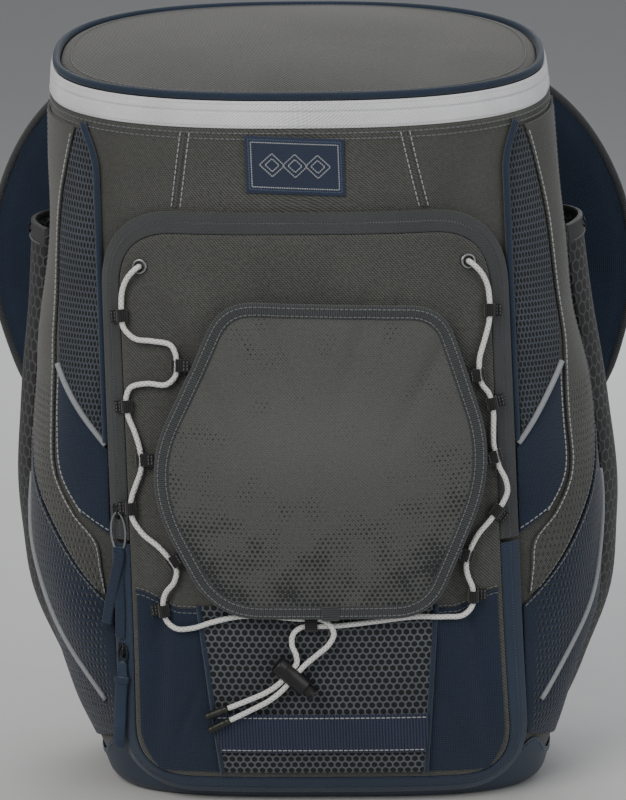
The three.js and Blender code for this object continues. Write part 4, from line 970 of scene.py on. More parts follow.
class Cloth:
    """The finishes of the bag."""

    # Heathered polyester twill: matt grey with fine slanting ribs and paler flecks
    TWILL = Woven("heathered twill cloth", "#333433", "#5a5b58", Weaving.TWILL, 0.0015)
    # The same twill, pressed with rows of small round dents towards its foot, each dent darkened by
    # painted shade
    EMBOSSED_TWILL = Woven("embossed twill cloth", "#333433", "#5a5b58", Weaving.TWILL, 0.0015,
                           dots=0.0052)
    # Navy pack cloth: dark blue, plain weave, faint sheen
    NAVY = Woven("navy pack cloth", "#101b2b", "#1e2f47", Weaving.PLAIN, 0.0014, heather=0.45)
    # Navy pack cloth pressed with rows of small dents, each darkened by painted shade
    EMBOSSED_NAVY = Woven("embossed navy cloth", "#101b2b", "#1e2f47", Weaving.PLAIN, 0.0014,
                          heather=0.45, dots=0.0056)
    # Bias-cut navy cloth round a cord: paler, with its threads aslant
    PIPING = Woven("navy bias piping", "#162233", "#28394f", Weaving.TWILL, 0.0012)
    # Reflective grey piping: pale, slightly glossy, very fine weave
    PALE_PIPING = Woven("pale grey piping", "#7d8187", "#a3a7ae", Weaving.PLAIN, 0.0010,
                        depth=0.00012, roughness=0.6)
    # White woven zip tape: clean herringbone ribs
    WHITE_TAPE = Woven("white zip tape", "#c9cbd2", "#f1f2f6", Weaving.TWILL, 0.0014,
                       depth=0.0002, heather=0.25, fuzz=0.1)
    # Grey grosgrain binding: ribs across its length
    BINDING = Woven("grey grosgrain binding", "#2c2e30", "#4b4e51", Weaving.RIBBED, 0.0014,
                    heather=0.3)
    # Dark grey woven zip tape
    GREY_TAPE = Woven("dark zip tape", "#303234", "#4a4c4f", Weaving.TWILL, 0.0012,
                      depth=0.0002, heather=0.3)
    # Navy zip tape
    NAVY_TAPE = Woven("navy zip tape", "#1a2636", "#304158", Weaving.TWILL, 0.0012,
                      depth=0.0002, heather=0.3)
    # Ribbed navy webbing: thick ribs across its run, catching light on their tops
    WEBBING = Woven("ribbed navy webbing", "#171d2e", "#323b56", Weaving.RIBBED, 0.0019,
                    depth=0.0005, heather=0.2)
    # Narrow navy tape of the zip pull
    WEBBING_FINE = Woven("narrow navy tape", "#172333", "#2a3a52", Weaving.RIBBED, 0.0012,
                         depth=0.0002, heather=0.25)
    # Woven damask of the patch: dense, smooth and slightly shiny
    DAMASK = Woven("woven navy patch", "#1b2438", "#2a3650", Weaving.PLAIN, 0.0009,
                   depth=0.00012, heather=0.35, roughness=0.7)
    # Black woven tape of the cord loops
    LOOP = Woven("black woven tape", "#0d0d0e", "#2a2a2c", Weaving.RIBBED, 0.0012, heather=0.3)
    # Thick polyester thread, pale where it should show and dark elsewhere
    PALE_THREAD = Thread("pale sewing thread", "#85888d", "#b4b7bb")
    GREY_THREAD = Thread("grey sewing thread", "#55585b", "#7a7d80")
    NAVY_THREAD = Thread("navy sewing thread", "#2c3b52", "#4a5d7a")
    WHITE_THREAD = Thread("white sewing thread", "#cfd1d4", "#f2f3f5")
    # Warp-knitted mesh over a dark lining, and a finer one on the sides
    MESH = Netting("knitted mesh", "#5a6067", "#0d1015", 0.0046, 0.385)
    SIDE_MESH = Netting("fine knitted mesh", "#474f5b", "#0d1219", 0.0042, 0.375)
    # Rubbery cloth with a net of raised lines, the lines painted lighter as painted highlight and the
    # cloth between them darker as painted shade
    SLEEVE = Netting("embossed rubbery cloth", "#4a4c4e", "#242526", 0.0084, 0.42, 0.0007, 0.62,
                     0.05)
    # The same cloth, plain, where it is turned for a hem
    SLEEVE_HEM = Coated("turned rubbery hem", "#323334", "#454648", 0.0012, 0.00015, 0.6)
    # Padded air mesh of the back and the inner side of the straps
    AIR_MESH = Netting("padded air mesh", "#36465a", "#141d28", 0.0044, 0.36, 0.0006)
    # Polyurethane coat over strong cloth: smooth, half matt, marked by scuffs
    BOOT = Coated("coated boot cloth", "#2e3846", "#3a4453", 0.0016, 0.00010, 0.42)
    # Injection-moulded acetal: black, satin
    MOULDED = Coated("moulded black plastic", "#141415", "#1e1e20", 0.0008, 0.00005, 0.36)
    # Heat-shrunk tube over the cord's end
    SHRUNK = Coated("shrunk tube", "#1d201a", "#2b2f27", 0.0010, 0.00010, 0.4)
    # Moulded soft rubber of the zip pull
    RUBBER = Coated("moulded navy rubber", "#1d2c40", "#2a3c54", 0.0012, 0.00008, 0.5)
    # Nylon coils that lock between the tapes, in the colours of their tapes
    GREY_COIL = Coil("grey nylon coil", "#37393c", "#4a4d50")
    NAVY_COIL = Coil("navy nylon coil", "#1f2d41", "#31435b")
    WHITE_COIL = Coil("white nylon coil", "#c9ccd4", "#e4e6ec", roughness=0.4)
    STEEL = Plated("plated steel")
    DARK_STEEL = Plated("darkened steel", "#3c3e40", 0.38)
    CORD = Braided("white braided cord")
    # Printed twill of the helmet panel, its middle lightened by a painted highlight
    PANEL = Printed("printed twill", "#3d3e3e", "#616260", Weaving.TWILL, 0.0015)


# Base of the sub-assemblies

class Assembly:
    """A sub-assembly: it builds its pieces, dresses them and reports each one."""

    def keep(self, piece: bpy.types.Object, finish: Finish, slot: str,
             stands_for: Sequence[str] = (), body: str = "bag") -> bpy.types.Object:
        """Dresses a piece and sets it in the frame.

        Args:
            piece: The piece.
            finish: Its finish.
            slot: Not used.
            stands_for: The solids it stands for.
            body: The body it rides on.

        Returns:
            The piece.
        """
        piece.data.materials.clear()
        piece.data.materials.append(finish.material())
        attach(piece, body)
        if stands_for:
            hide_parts(*stands_for)
        LOG.info("%s: %s, %d faces", piece.name, finish.title, len(piece.data.polygons))
        return piece

    def thicken(self, piece: bpy.types.Object, thickness: float, bevel: float
                ) -> bpy.types.Object:
        """Gives an open sheet its wall, inwards, and softens its edges.

        Args:
            piece: The sheet.
            thickness: Of the wall.
            bevel: Reach of the softened edge.

        Returns:
            The sheet.
        """
        wall = piece.modifiers.new("wall", "SOLIDIFY")
        wall.thickness, wall.offset, wall.use_even_offset = thickness, -1.0, False
        edge = piece.modifiers.new("edge", "BEVEL")
        edge.width, edge.segments, edge.limit_method = bevel, 2, "ANGLE"
        edge.angle_limit = math.radians(50)
        return piece

    def mark(self, piece: bpy.types.Object, name: str, values: Array) -> None:
        """Stores one number a vertex under a name that a material reads."""
        attribute = piece.data.attributes.new(name, "FLOAT", "POINT")
        room = np.zeros(len(piece.data.vertices))
        room[:values.size] = np.asarray(values, float).ravel()
        attribute.data.foreach_set("value", room)


# Length of cloth round a quarter of the body
GIRTH = 0.262


def cloth_uv(turn: Array, share: Array) -> Array:
    """Places on cloth that lies on the body, from the turn and the height share."""
    turn, share = np.broadcast_arrays(turn, share)
    return np.stack([turn * GIRTH, share * BODY.height], -1)


@dataclass
class Shell(Assembly):
    """Main compartment and the boot round its foot."""

    wall: float = 0.003
    heel: float = 0.006
    gap: float = 0.0008
    boot: float = 0.0015
    boot_front: float = 0.009
    boot_side: float = 0.020
    boot_corner: float = 0.036
    around: int = 256

    def heel_rings(self, out: float, steps: int = 7) -> list[Array]:
        """Rings of the rounded heel: a quarter circle of the heel's radius plus out."""
        turn = 4 * np.arange(self.around) / self.around
        rings = []
        for angle in np.linspace(0, math.pi / 2, steps):
            radius = self.heel + out
            level = BODY.floor + self.heel - radius * math.cos(angle)
            ring = BODY.at(turn, level / BODY.height, radius * math.sin(angle) - self.heel)
            ring[:, 2] = level + SHIFT[2]
            rings.append(ring)
        return rings

    def body(self) -> bpy.types.Object:
        """The shell: heel, outer wall, rim, inner wall and floor in one closed surface."""
        turn = 4 * np.arange(self.around) / self.around
        outer = np.linspace(0.03, 1.0, 96)
        inner = outer[::-6]
        rings = (self.heel_rings(0) + [BODY.skin(turn, s, 0.0) for s in outer]
                 + [BODY.skin(turn, s, -self.wall) for s in inner]
                 + self.heel_rings(-self.wall, 3)[::-1])
        shares = np.concatenate([np.linspace(0, 0.02, 7), outer, inner, np.linspace(0.02, 0, 3)])
        wide = 4 * np.arange(self.around + 1) / self.around
        uv = cloth_uv(wide[None], shares[:, None])
        return grid_object("main_shell_cloth", np.array(rings), uv, around=True, fans=(True, True))

    def edge(self, turn: Array) -> Array:
        """Height of the boot's edge: low in front, and a bell-shaped point at each corner."""
        front = np.abs(np.where(turn > 2, turn - 4, turn))
        point = np.exp(-((front - 0.6) / 0.14)**2)
        plain = self.boot_front + (self.boot_side - self.boot_front) * smoothstep(front, 0.45, 0.8)
        return plain + (self.boot_corner - plain) * point

    def boot_ring(self, share: float, out: float) -> Array:
        """Ring of the boot between its heel and its edge."""
        turn = 4 * np.arange(self.around) / self.around
        low = BODY.floor + self.heel
        level = low + (self.edge(turn) - low) * share
        ring = BODY.at(turn, level / BODY.height, out)
        ring[:, 2] = level + SHIFT[2]
        return ring

    def boot_piece(self) -> bpy.types.Object:
        """The boot: outer heel and upright, rolled edge, inner upright and heel."""
        out = self.gap + self.boot
        mid = self.gap + self.boot / 2
        up = np.linspace(0.12, 0.94, 8)
        roll = [self.boot_ring(0.94 + 0.06 * math.sin(a), mid + self.boot / 2 * math.cos(a))
                for a in np.linspace(0.4, math.pi - 0.4, 5)]
        rings = (self.heel_rings(out) + [self.boot_ring(s, out) for s in up] + roll
                 + [self.boot_ring(s, self.gap) for s in up[::-3]]
                 + self.heel_rings(self.gap, 4)[::-1])
        return grid_object("base_boot_coated", np.array(rings), None, around=True,
                           fans=(True, True))

    def seam(self) -> bpy.types.Object:
        """Stitches below the boot's edge, across the front and round to the sides."""
        turn = np.linspace(-1.02, 1.02, 500)
        level = self.edge(turn) - 0.003
        low = BODY.at(turn, level / BODY.height, self.gap + self.boot + 0.0001)
        low[:, 2] = level + SHIFT[2]
        return stitches("boot_stitches", [(low, BODY.normal(turn, level / BODY.height))])

    def rim_seam(self) -> bpy.types.Object:
        """Two rows of stitches under the zip, along the front of the rim."""
        turn = np.linspace(-1.2, 1.2, 500)
        rows = [(BODY.skin(turn, s, 0.0003), BODY.normal(turn, s)) for s in (0.9935, 0.9855)]
        return stitches("rim_stitches", rows)

    def build(self) -> None:
        """Makes and dresses the shell's pieces."""
        self.keep(self.body(), Cloth.TWILL, "twill", ["main_shell"])
        self.keep(self.boot_piece(), Cloth.BOOT, "boot", ["base_boot"])
        self.keep(self.seam(), Cloth.NAVY_THREAD, "boot")
        self.keep(self.rim_seam(), Cloth.GREY_THREAD, "twill")


@dataclass
class Lid(Assembly):
    """Lid, its piping, the white zip under it and the hinge behind."""

    seat: float = 0.0003
    lower: float = 0.010
    upper: float = 0.0065
    wall: float = 0.003
    thickness: float = 0.003
    crown: float = 0.006
    piping: float = 0.0025
    hinge: float = 0.190
    inset: float = 0.0053
    teeth: float = 0.0011
    teeth_pitch: float = 0.0016

    def stack(self) -> float:
        """Height of both tapes over the rim."""
        return self.lower + self.upper + 2 * self.seat

    def hinge_turn(self) -> float:
        """Turn at which the zip ends and the hinge starts."""
        return 2 - abs(float(BODY.turn_at(self.hinge / 2, 1.0)))

    def ribbon(self, name: str, low: float, high: float, profile: Array, count: int
               ) -> bpy.types.Object:
        """Closed profile of (out, level) swept round the rim between two turns.

        Args:
            name: Name of the piece.
            low: First turn.
            high: Last turn.
            profile: Points of the profile, downwards on its outer side.
            count: Steps round.

        Returns:
            The ribbon, its ends closed by fans.
        """
        turn = np.linspace(low, high, count)[:, None]
        points = BODY.at(turn, BODY.over_rim(profile[None, :, 1]), profile[None, :, 0])
        run = running(np.vstack([profile, profile[:1]]))
        uv = np.stack(np.meshgrid(run, turn[:, 0] * GIRTH), -1)
        return grid_object(name, points, uv, around=True, fans=(True, True))

    def tape_profile(self, low: float, high: float, fold_up: bool) -> Array:
        """Profile of one tape: bowed a little, thick at the fold where the teeth hide."""
        t = np.linspace(1, 0, 14)
        lift = (t if fold_up else 1 - t)**3
        outer = np.stack([0.0007 * np.sin(math.pi * t) + 0.0009 * lift, low + (high - low) * t], 1)
        roll = 0.0011 * np.clip(1 - (1 - lift) * 9, 0, 1)
        outer[:, 0] -= roll
        inner = np.stack([np.full(6, -0.0016), np.linspace(low, high, 6)], 1)
        return np.vstack([outer, inner])

    def tapes(self) -> None:
        """Both tapes, the line of teeth between them and their stitches."""
        end = self.hinge_turn() - 0.001
        split = self.seat + self.lower
        lower = self.ribbon("zip_tape_lower_cloth", -end, end,
                            self.tape_profile(self.seat, split + 0.0001, True), 420)
        upper = self.ribbon("zip_tape_upper_cloth", -end, end,
                            self.tape_profile(split + 0.0005, self.stack(), False), 420)
        self.keep(lower, Cloth.WHITE_TAPE, "white_tape", ["zip_tape_lower"])
        self.keep(upper, Cloth.WHITE_TAPE, "white_tape", ["zip_tape_upper"])
        turn = np.linspace(-end, end, 2600)
        line = BODY.at(turn, BODY.over_rim(split + 0.0003), np.full(turn.shape, -0.0008))
        radius = self.teeth * (1 + 0.22 * np.sin(running(line) * 2 * math.pi
                                                 / self.teeth_pitch))
        teeth = tube_object("main_zip_teeth", line, radius, 6, facing=UP)
        self.keep(teeth, Cloth.WHITE_COIL, "white_tape")
        rows = []
        for level in (0.0022, self.stack() - 0.0016):
            t = np.linspace(-end, end, 700)
            rows.append((BODY.at(t, BODY.over_rim(level), np.full(t.shape, 0.0007)),
                         BODY.normal(t, BODY.over_rim(level))))
        self.keep(stitches("main_zip_stitches", rows, 0.003, 0.0007, 0.0003),
                  Cloth.WHITE_THREAD, "white_tape")

    def back_strip(self) -> bpy.types.Object:
        """Strip of cloth that the lid hinges on."""
        end = self.hinge_turn() + 0.001
        t = np.linspace(1, 0, 10)
        outer = np.stack([0.0012 * np.sin(math.pi * t),
                          self.seat + (self.stack() - self.seat) * t], 1)
        inner = np.stack([np.full(4, -self.wall), np.linspace(self.seat, self.stack(), 4)], 1)
        return self.ribbon("lid_hinge_cloth", end, 4 - end, np.vstack([outer, inner]), 80)

    def dome(self, share: Array, out: float = 0.0) -> Array:
        """Point on the lid: its edge drawn to the middle, lifted by a crown and soft slack."""
        count = 256
        turn = 4 * np.arange(count) / count
        ring = BODY.at(turn, BODY.over_rim(self.stack() + self.seat), -self.inset)
        middle = ring.mean(0)
        share = np.asarray(share, float)[:, None, None]
        points = ring[None] * (1 - share) + middle * share
        x, y = points[..., 0], points[..., 1]
        slack = 0.0009 * np.sin(31 * x + 17 * y) * np.sin(23 * y - 8 * x) * (1 - (1 - share[..., 0])**4)
        edge = np.sqrt(np.clip(1 - (1 - np.clip(share[..., 0] / 0.025, 0, 1))**2, 0, 1))
        points[..., 2] += (self.thickness * edge + self.crown * (1 - (1 - share[..., 0])**2)
                           + slack + out)
        return points

    def panel(self) -> bpy.types.Object:
        """Crowned lid with a turned edge, closed underneath."""
        share = np.concatenate([[0, 0.004, 0.010, 0.017, 0.025], np.linspace(0.05, 0.97, 36)])
        points = self.dome(share)
        flat = np.concatenate([points, points[:, :1]], 1)[..., :2]
        return grid_object("lid_panel_cloth", points, flat, around=True, fans=(True, True))

    def build(self) -> None:
        """Makes and dresses the lid's pieces."""
        self.tapes()
        self.keep(self.back_strip(), Cloth.TWILL, "twill", ["lid_hinge"])
        self.keep(self.panel(), Cloth.TWILL, "twill", ["lid_panel"])
        turn = 4 * np.arange(400) / 400
        level = self.stack() + self.seat + self.piping
        line = BODY.at(turn, BODY.over_rim(level), np.full(400, -self.piping + self.seat / 2))
        self.keep(tube_object("lid_piping_cloth", line, self.piping, 12, closed=True, facing=UP),
                  Cloth.PIPING, "piping", ["lid_piping"])
        rim = self.dome(np.array([0.045]), 0.0002)[0]
        rim = np.vstack([rim, rim[:1]])
        self.keep(stitches("lid_stitches", [(rim, UP)]), Cloth.GREY_THREAD, "twill")


@dataclass
class Yoke(Assembly):
    """Front between the zips: its two seams and the woven patch."""

    left: tuple = ((-0.0712, 0.4275), (-0.0755, 0.404), (-0.0794, 0.3825))
    right: tuple = ((0.0665, 0.4275), (0.0715, 0.404), (0.0766, 0.3825))
    width: float = 0.062
    height: float = 0.034
    across: float = -0.003
    up: float = 0.408
    gap: float = 0.0008
    thickness: float = 0.0012

    def seam_line(self, points: tuple, out: float, aside: float = 0.0) -> tuple[Array, Array]:
        """Line of a seam over the front, and the ways outwards along it."""
        line = evenly(through(np.array(points), 12), 60)
        across, up = line[:, 0] + aside, line[:, 1]
        share = up / BODY.height
        turn = BODY.turn_at(across, share)
        return BODY.skin(turn, share, np.full(turn.shape, out)), BODY.normal(turn, share)

    def on_patch(self, u: Array, v: Array, out: float) -> Array:
        """Point on the patch by its shares across and up, with a little pillow to it."""
        u, v = np.broadcast_arrays(u, v)
        pillow = 0.0004 * (1 - (2 * u - 1)**6) * (1 - (2 * v - 1)**6)
        slant = -0.0025 * (u - 0.5)
        return BODY.on_front(self.across + self.width * (u - 0.5),
                             self.up + slant + self.height * (v - 0.5),
                             self.gap + self.thickness + pillow + out)

    def patch(self) -> bpy.types.Object:
        """Woven patch with turned edges."""
        u, v = np.linspace(0, 1, 50)[None], np.linspace(0, 1, 30)[:, None]
        uv = np.stack(np.broadcast_arrays(u * self.width, v * self.height), -1)
        piece = grid_object("label_patch_woven", self.on_patch(u, v, 0.0), uv)
        return self.thicken(piece, self.thickness, 0.0004)

    def patch_rows(self) -> list[tuple[Array, Array]]:
        """Border of the patch and three plain diamonds in a row, as paths for thread."""
        outward = BODY.normal(0.0, self.up / BODY.height)
        rows = []
        for inset in (0.0022, 0.0038):
            a, b = inset / self.width, inset / self.height
            box = np.array([(a, b), (1 - a, b), (1 - a, 1 - b), (a, 1 - b), (a, b)])
            line = evenly(box, 200)
            rows.append((self.on_patch(line[:, 0], line[:, 1], 0.0001), outward))
        for middle in (0.27, 0.5, 0.73):
            for reach in (0.0068, 0.0038):
                a, b = reach * 1.15 / self.width, reach / self.height
                box = np.array([(middle - a, 0.5), (middle, 0.5 - b), (middle + a, 0.5),
                                (middle, 0.5 + b), (middle - a, 0.5)])
                line = evenly(box, 60)
                rows.append((self.on_patch(line[:, 0], line[:, 1], 0.0001), outward))
        return rows

    def build(self) -> None:
        """Makes and dresses the yoke's pieces."""
        for name, points in (("l", self.left), ("r", self.right)):
            line, _ = self.seam_line(points, 0.0004)
            self.keep(tube_object(f"yoke_seam_{name}", line, 0.0009, 8, facing=-BACK, flat=0.7),
                      Cloth.TWILL, "twill")
            rows = [self.seam_line(points, 0.0003, aside) for aside in (-0.0028, 0.0028)]
            self.keep(stitches(f"yoke_stitches_{name}", rows), Cloth.PALE_THREAD, "twill")
        self.keep(self.patch(), Cloth.DAMASK, "webbing", ["label_patch"])
        rows = self.patch_rows()
        self.keep(stitches("patch_border", rows[:1], 0.0016, 0.0009, 0.0003),
                  Cloth.NAVY_THREAD, "webbing")
        self.keep(stitches("patch_motif", rows[1:], 0.0014, 0.0008, 0.0003),
                  Cloth.PALE_THREAD, "webbing")


@dataclass
class Flank(Assembly):
    """One side of the bag: piping, mesh, panels and their seams."""

    name: str
    hand: int
    gap: float = 0.0008
    skin: float = 0.0015
    seat: float = 0.0003
    piping: float = 0.0022
    zip_width: float = 0.012
    piping_shares: tuple = (0.55, 0.64, 0.71, 0.82, 0.885, 0.95, 0.99)
    piping_turns: tuple = (0.405, 0.420, 0.450, 0.490, 0.495, 0.535, 0.590)
    mesh: tuple = (
        (0, 0.980, 0.625, 0.980), (0, 0.940, 0.670, 0.940), (0, 0.885, 0.710, 0.885),
        (0, 0.820, 0.725, 0.820), (0, 0.710, 0.700, 0.730), (0, 0.620, 0.675, 0.685),
        (0, 0.558, 0.665, 0.664))
    panel: tuple = (
        (0.640, 0.980, 1.00, 0.980), (0.730, 0.885, 1.00, 0.900), (0.745, 0.820, 1.00, 0.820),
        (0.720, 0.710, 1.00, 0.710), (0.690, 0.650, 1.00, 0.640), (0.665, 0.575, 0.96, 0.570),
        (0.630, 0.500, 0.88, 0.527), (0.530, 0.440, 0.78, 0.480), (0.430, 0.400, 0.66, 0.425),
        (0.415, 0.355, 0.55, 0.375), (0.410, 0.318, 0.43, 0.322))
    leaf: tuple = (
        (0, 0.538, 0.662, 0.650), (0, 0.500, 0.640, 0.575), (0, 0.455, 0.600, 0.500),
        (0, 0.412, 0.490, 0.440))
    lower: tuple = (
        (0, 0.300, 0.97, 0.548), (0, 0.250, 1.00, 0.420), (0, 0.200, 1.00, 0.300),
        (0, 0.150, 1.00, 0.180), (0, 0.096, 1.00, 0.062))
    chevron: tuple = ((1.00, 0.46), (0.93, 0.40), (0.80, 0.31), (0.66, 0.22), (0.55, 0.15))

    def zip_side(self, share: Array) -> Array:
        """Turn of the outer edge of the pocket's zip."""
        up = np.minimum(np.asarray(share) * BODY.height, POCKET.top)
        reach = POCKET.half_width(up) + self.zip_width + 2 * self.seat
        return BODY.turn_at(reach, share)

    def piping_turn(self, share: Array) -> Array:
        """Turn of the piping, never inside the zip."""
        share = np.asarray(share, float)
        room = (POCKET.half_width(share * BODY.height) + self.zip_width + self.piping
                + 3 * self.seat)
        return np.maximum(along(self.piping_shares, self.piping_turns, share),
                          BODY.turn_at(room, share))

    def place(self, rows: tuple, w: Array, v: Array) -> tuple[Array, Array]:
        """Turn and share of a panel at w from its inner to its outer edge and v from its foot.

        Args:
            rows: Inner turn and share, outer turn and share, from the top row down.
            w: 0 at the inner edge, 1 at the outer.
            v: 0 at the foot, 1 at the top.

        Returns:
            Turn, for the right side, and height share.
        """
        keys = np.linspace(0, 1, len(rows))
        inner, inner_share, outer, outer_share = (
            along(keys, [row[k] for row in rows], 1 - v) for k in range(4))
        clear = np.where(inner_share > self.piping_shares[0],
                         self.piping_turn(inner_share)
                         + (self.piping + 3 * self.seat) / (BODY.width / 2),
                         self.zip_side(inner_share) + 0.01)
        inner = np.maximum(inner, clear)
        turn = inner + (np.maximum(outer, inner + 0.01) - inner) * w
        return turn, inner_share + (outer_share - inner_share) * w

    def sheet(self, name: str, rows: tuple, columns: int, steps: int, out: float = 0.0,
              edge: float = 0.0005) -> bpy.types.Object:
        """Panel of one side, thin, with softened edges."""
        u, v = np.meshgrid(np.linspace(0, 1, columns), np.linspace(0, 1, steps))
        turn, share = self.place(rows, u if self.hand > 0 else 1 - u, v)
        turn = turn * self.hand
        points = BODY.skin(turn, share, self.gap + self.skin + out)
        piece = grid_object(f"{name}_{self.name}_cloth", points, cloth_uv(turn, share))
        self.shares = share
        self.sides = u if self.hand > 0 else 1 - u
        return self.thicken(piece, self.skin, edge)

    def line(self, rows: tuple, w: Array, v: Array, out: float) -> tuple[Array, Array]:
        """Line over a panel and the ways outwards along it."""
        w, v = np.broadcast_arrays(np.asarray(w, float), np.asarray(v, float))
        turn, share = self.place(rows, w, v)
        turn = turn * self.hand
        return BODY.skin(turn, share, np.full(turn.shape, out)), BODY.normal(turn, share)

    def panels(self) -> None:
        """Mesh, grey panel, leaf and lower panel."""
        n = self.name
        self.keep(self.sheet("side_mesh", self.mesh, 24, 70, -0.0003), Cloth.SIDE_MESH, "mesh",
                  [f"side_mesh_{n}"])
        grey = self.sheet("side_panel", self.panel, 40, 110)
        self.mark(grey, "embossed", (1 - smoothstep(self.shares, 0.60, 0.64))
                  * smoothstep(self.sides, 0.04, 0.1))
        self.keep(grey, Cloth.EMBOSSED_TWILL, "twill", [f"side_panel_{n}"])
        self.keep(self.sheet("side_leaf", self.leaf, 24, 40), Cloth.NAVY, "navy",
                  [f"side_leaf_{n}"])
        low = self.sheet("side_lower", self.lower, 60, 70)
        self.mark(low, "embossed", smoothstep(self.sides, 0.05, 0.12))
        self.keep(low, Cloth.EMBOSSED_NAVY, "navy", [f"side_lower_{n}"])

    def pipings(self) -> None:
        """Navy piping down the front, and pale ones under the mesh and over the lower panel."""
        n = self.name
        share = np.linspace(self.piping_shares[0], self.piping_shares[-1], 90)
        turn = self.hand * self.piping_turn(share)
        line = BODY.at(turn, share, np.full(90, self.piping + self.gap))
        self.keep(tube_object(f"front_piping_{n}_cloth", line, self.piping, 12,
                              facing=BODY.normal(turn, share)),
                  Cloth.PIPING, "piping", [f"front_piping_{n}"])
        w = np.linspace(-0.02, 1.0, 50)
        start, outward = self.line(self.leaf, w, 1.0, self.gap + self.skin + 0.0006)
        top, _ = self.line(self.mesh, w, 0.0, self.gap + self.skin + 0.0006)
        self.keep(tube_object(f"mesh_piping_{n}", (start + top) / 2, 0.0018, 10, facing=outward),
                  Cloth.PALE_PIPING, "piping")
        route = through(np.array(self.chevron), 12)
        turn, share = self.hand * route[:, 0], route[:, 1]
        line = BODY.skin(turn, share, np.full(turn.shape, self.gap + self.skin + 0.0006))
        self.keep(tube_object(f"chevron_piping_{n}", line, 0.0016, 10,
                              facing=BODY.normal(turn, share)),
                  Cloth.PALE_PIPING, "piping")

    def seams(self) -> None:
        """Rows of stitches along the panels' edges."""
        out = self.gap + self.skin + 0.0001
        t = np.linspace(0.01, 0.99, 160)
        pale = [self.line(self.panel, np.full(160, 0.035), t, out),
                self.line(self.leaf, np.full(160, 0.97), t, out),
                self.line(self.leaf, t, np.full(160, 0.05), out)]
        self.keep(stitches(f"side_stitches_{self.name}", pale), Cloth.PALE_THREAD, "twill")
        dark = [self.line(self.panel, np.full(160, 0.95), t, out),
                self.line(self.lower, t, np.full(160, 0.985), out)]
        self.keep(stitches(f"side_dark_stitches_{self.name}", dark), Cloth.GREY_THREAD, "twill")

    def build(self) -> None:
        """Makes and dresses one side."""
        self.panels()
        self.pipings()
        self.seams()


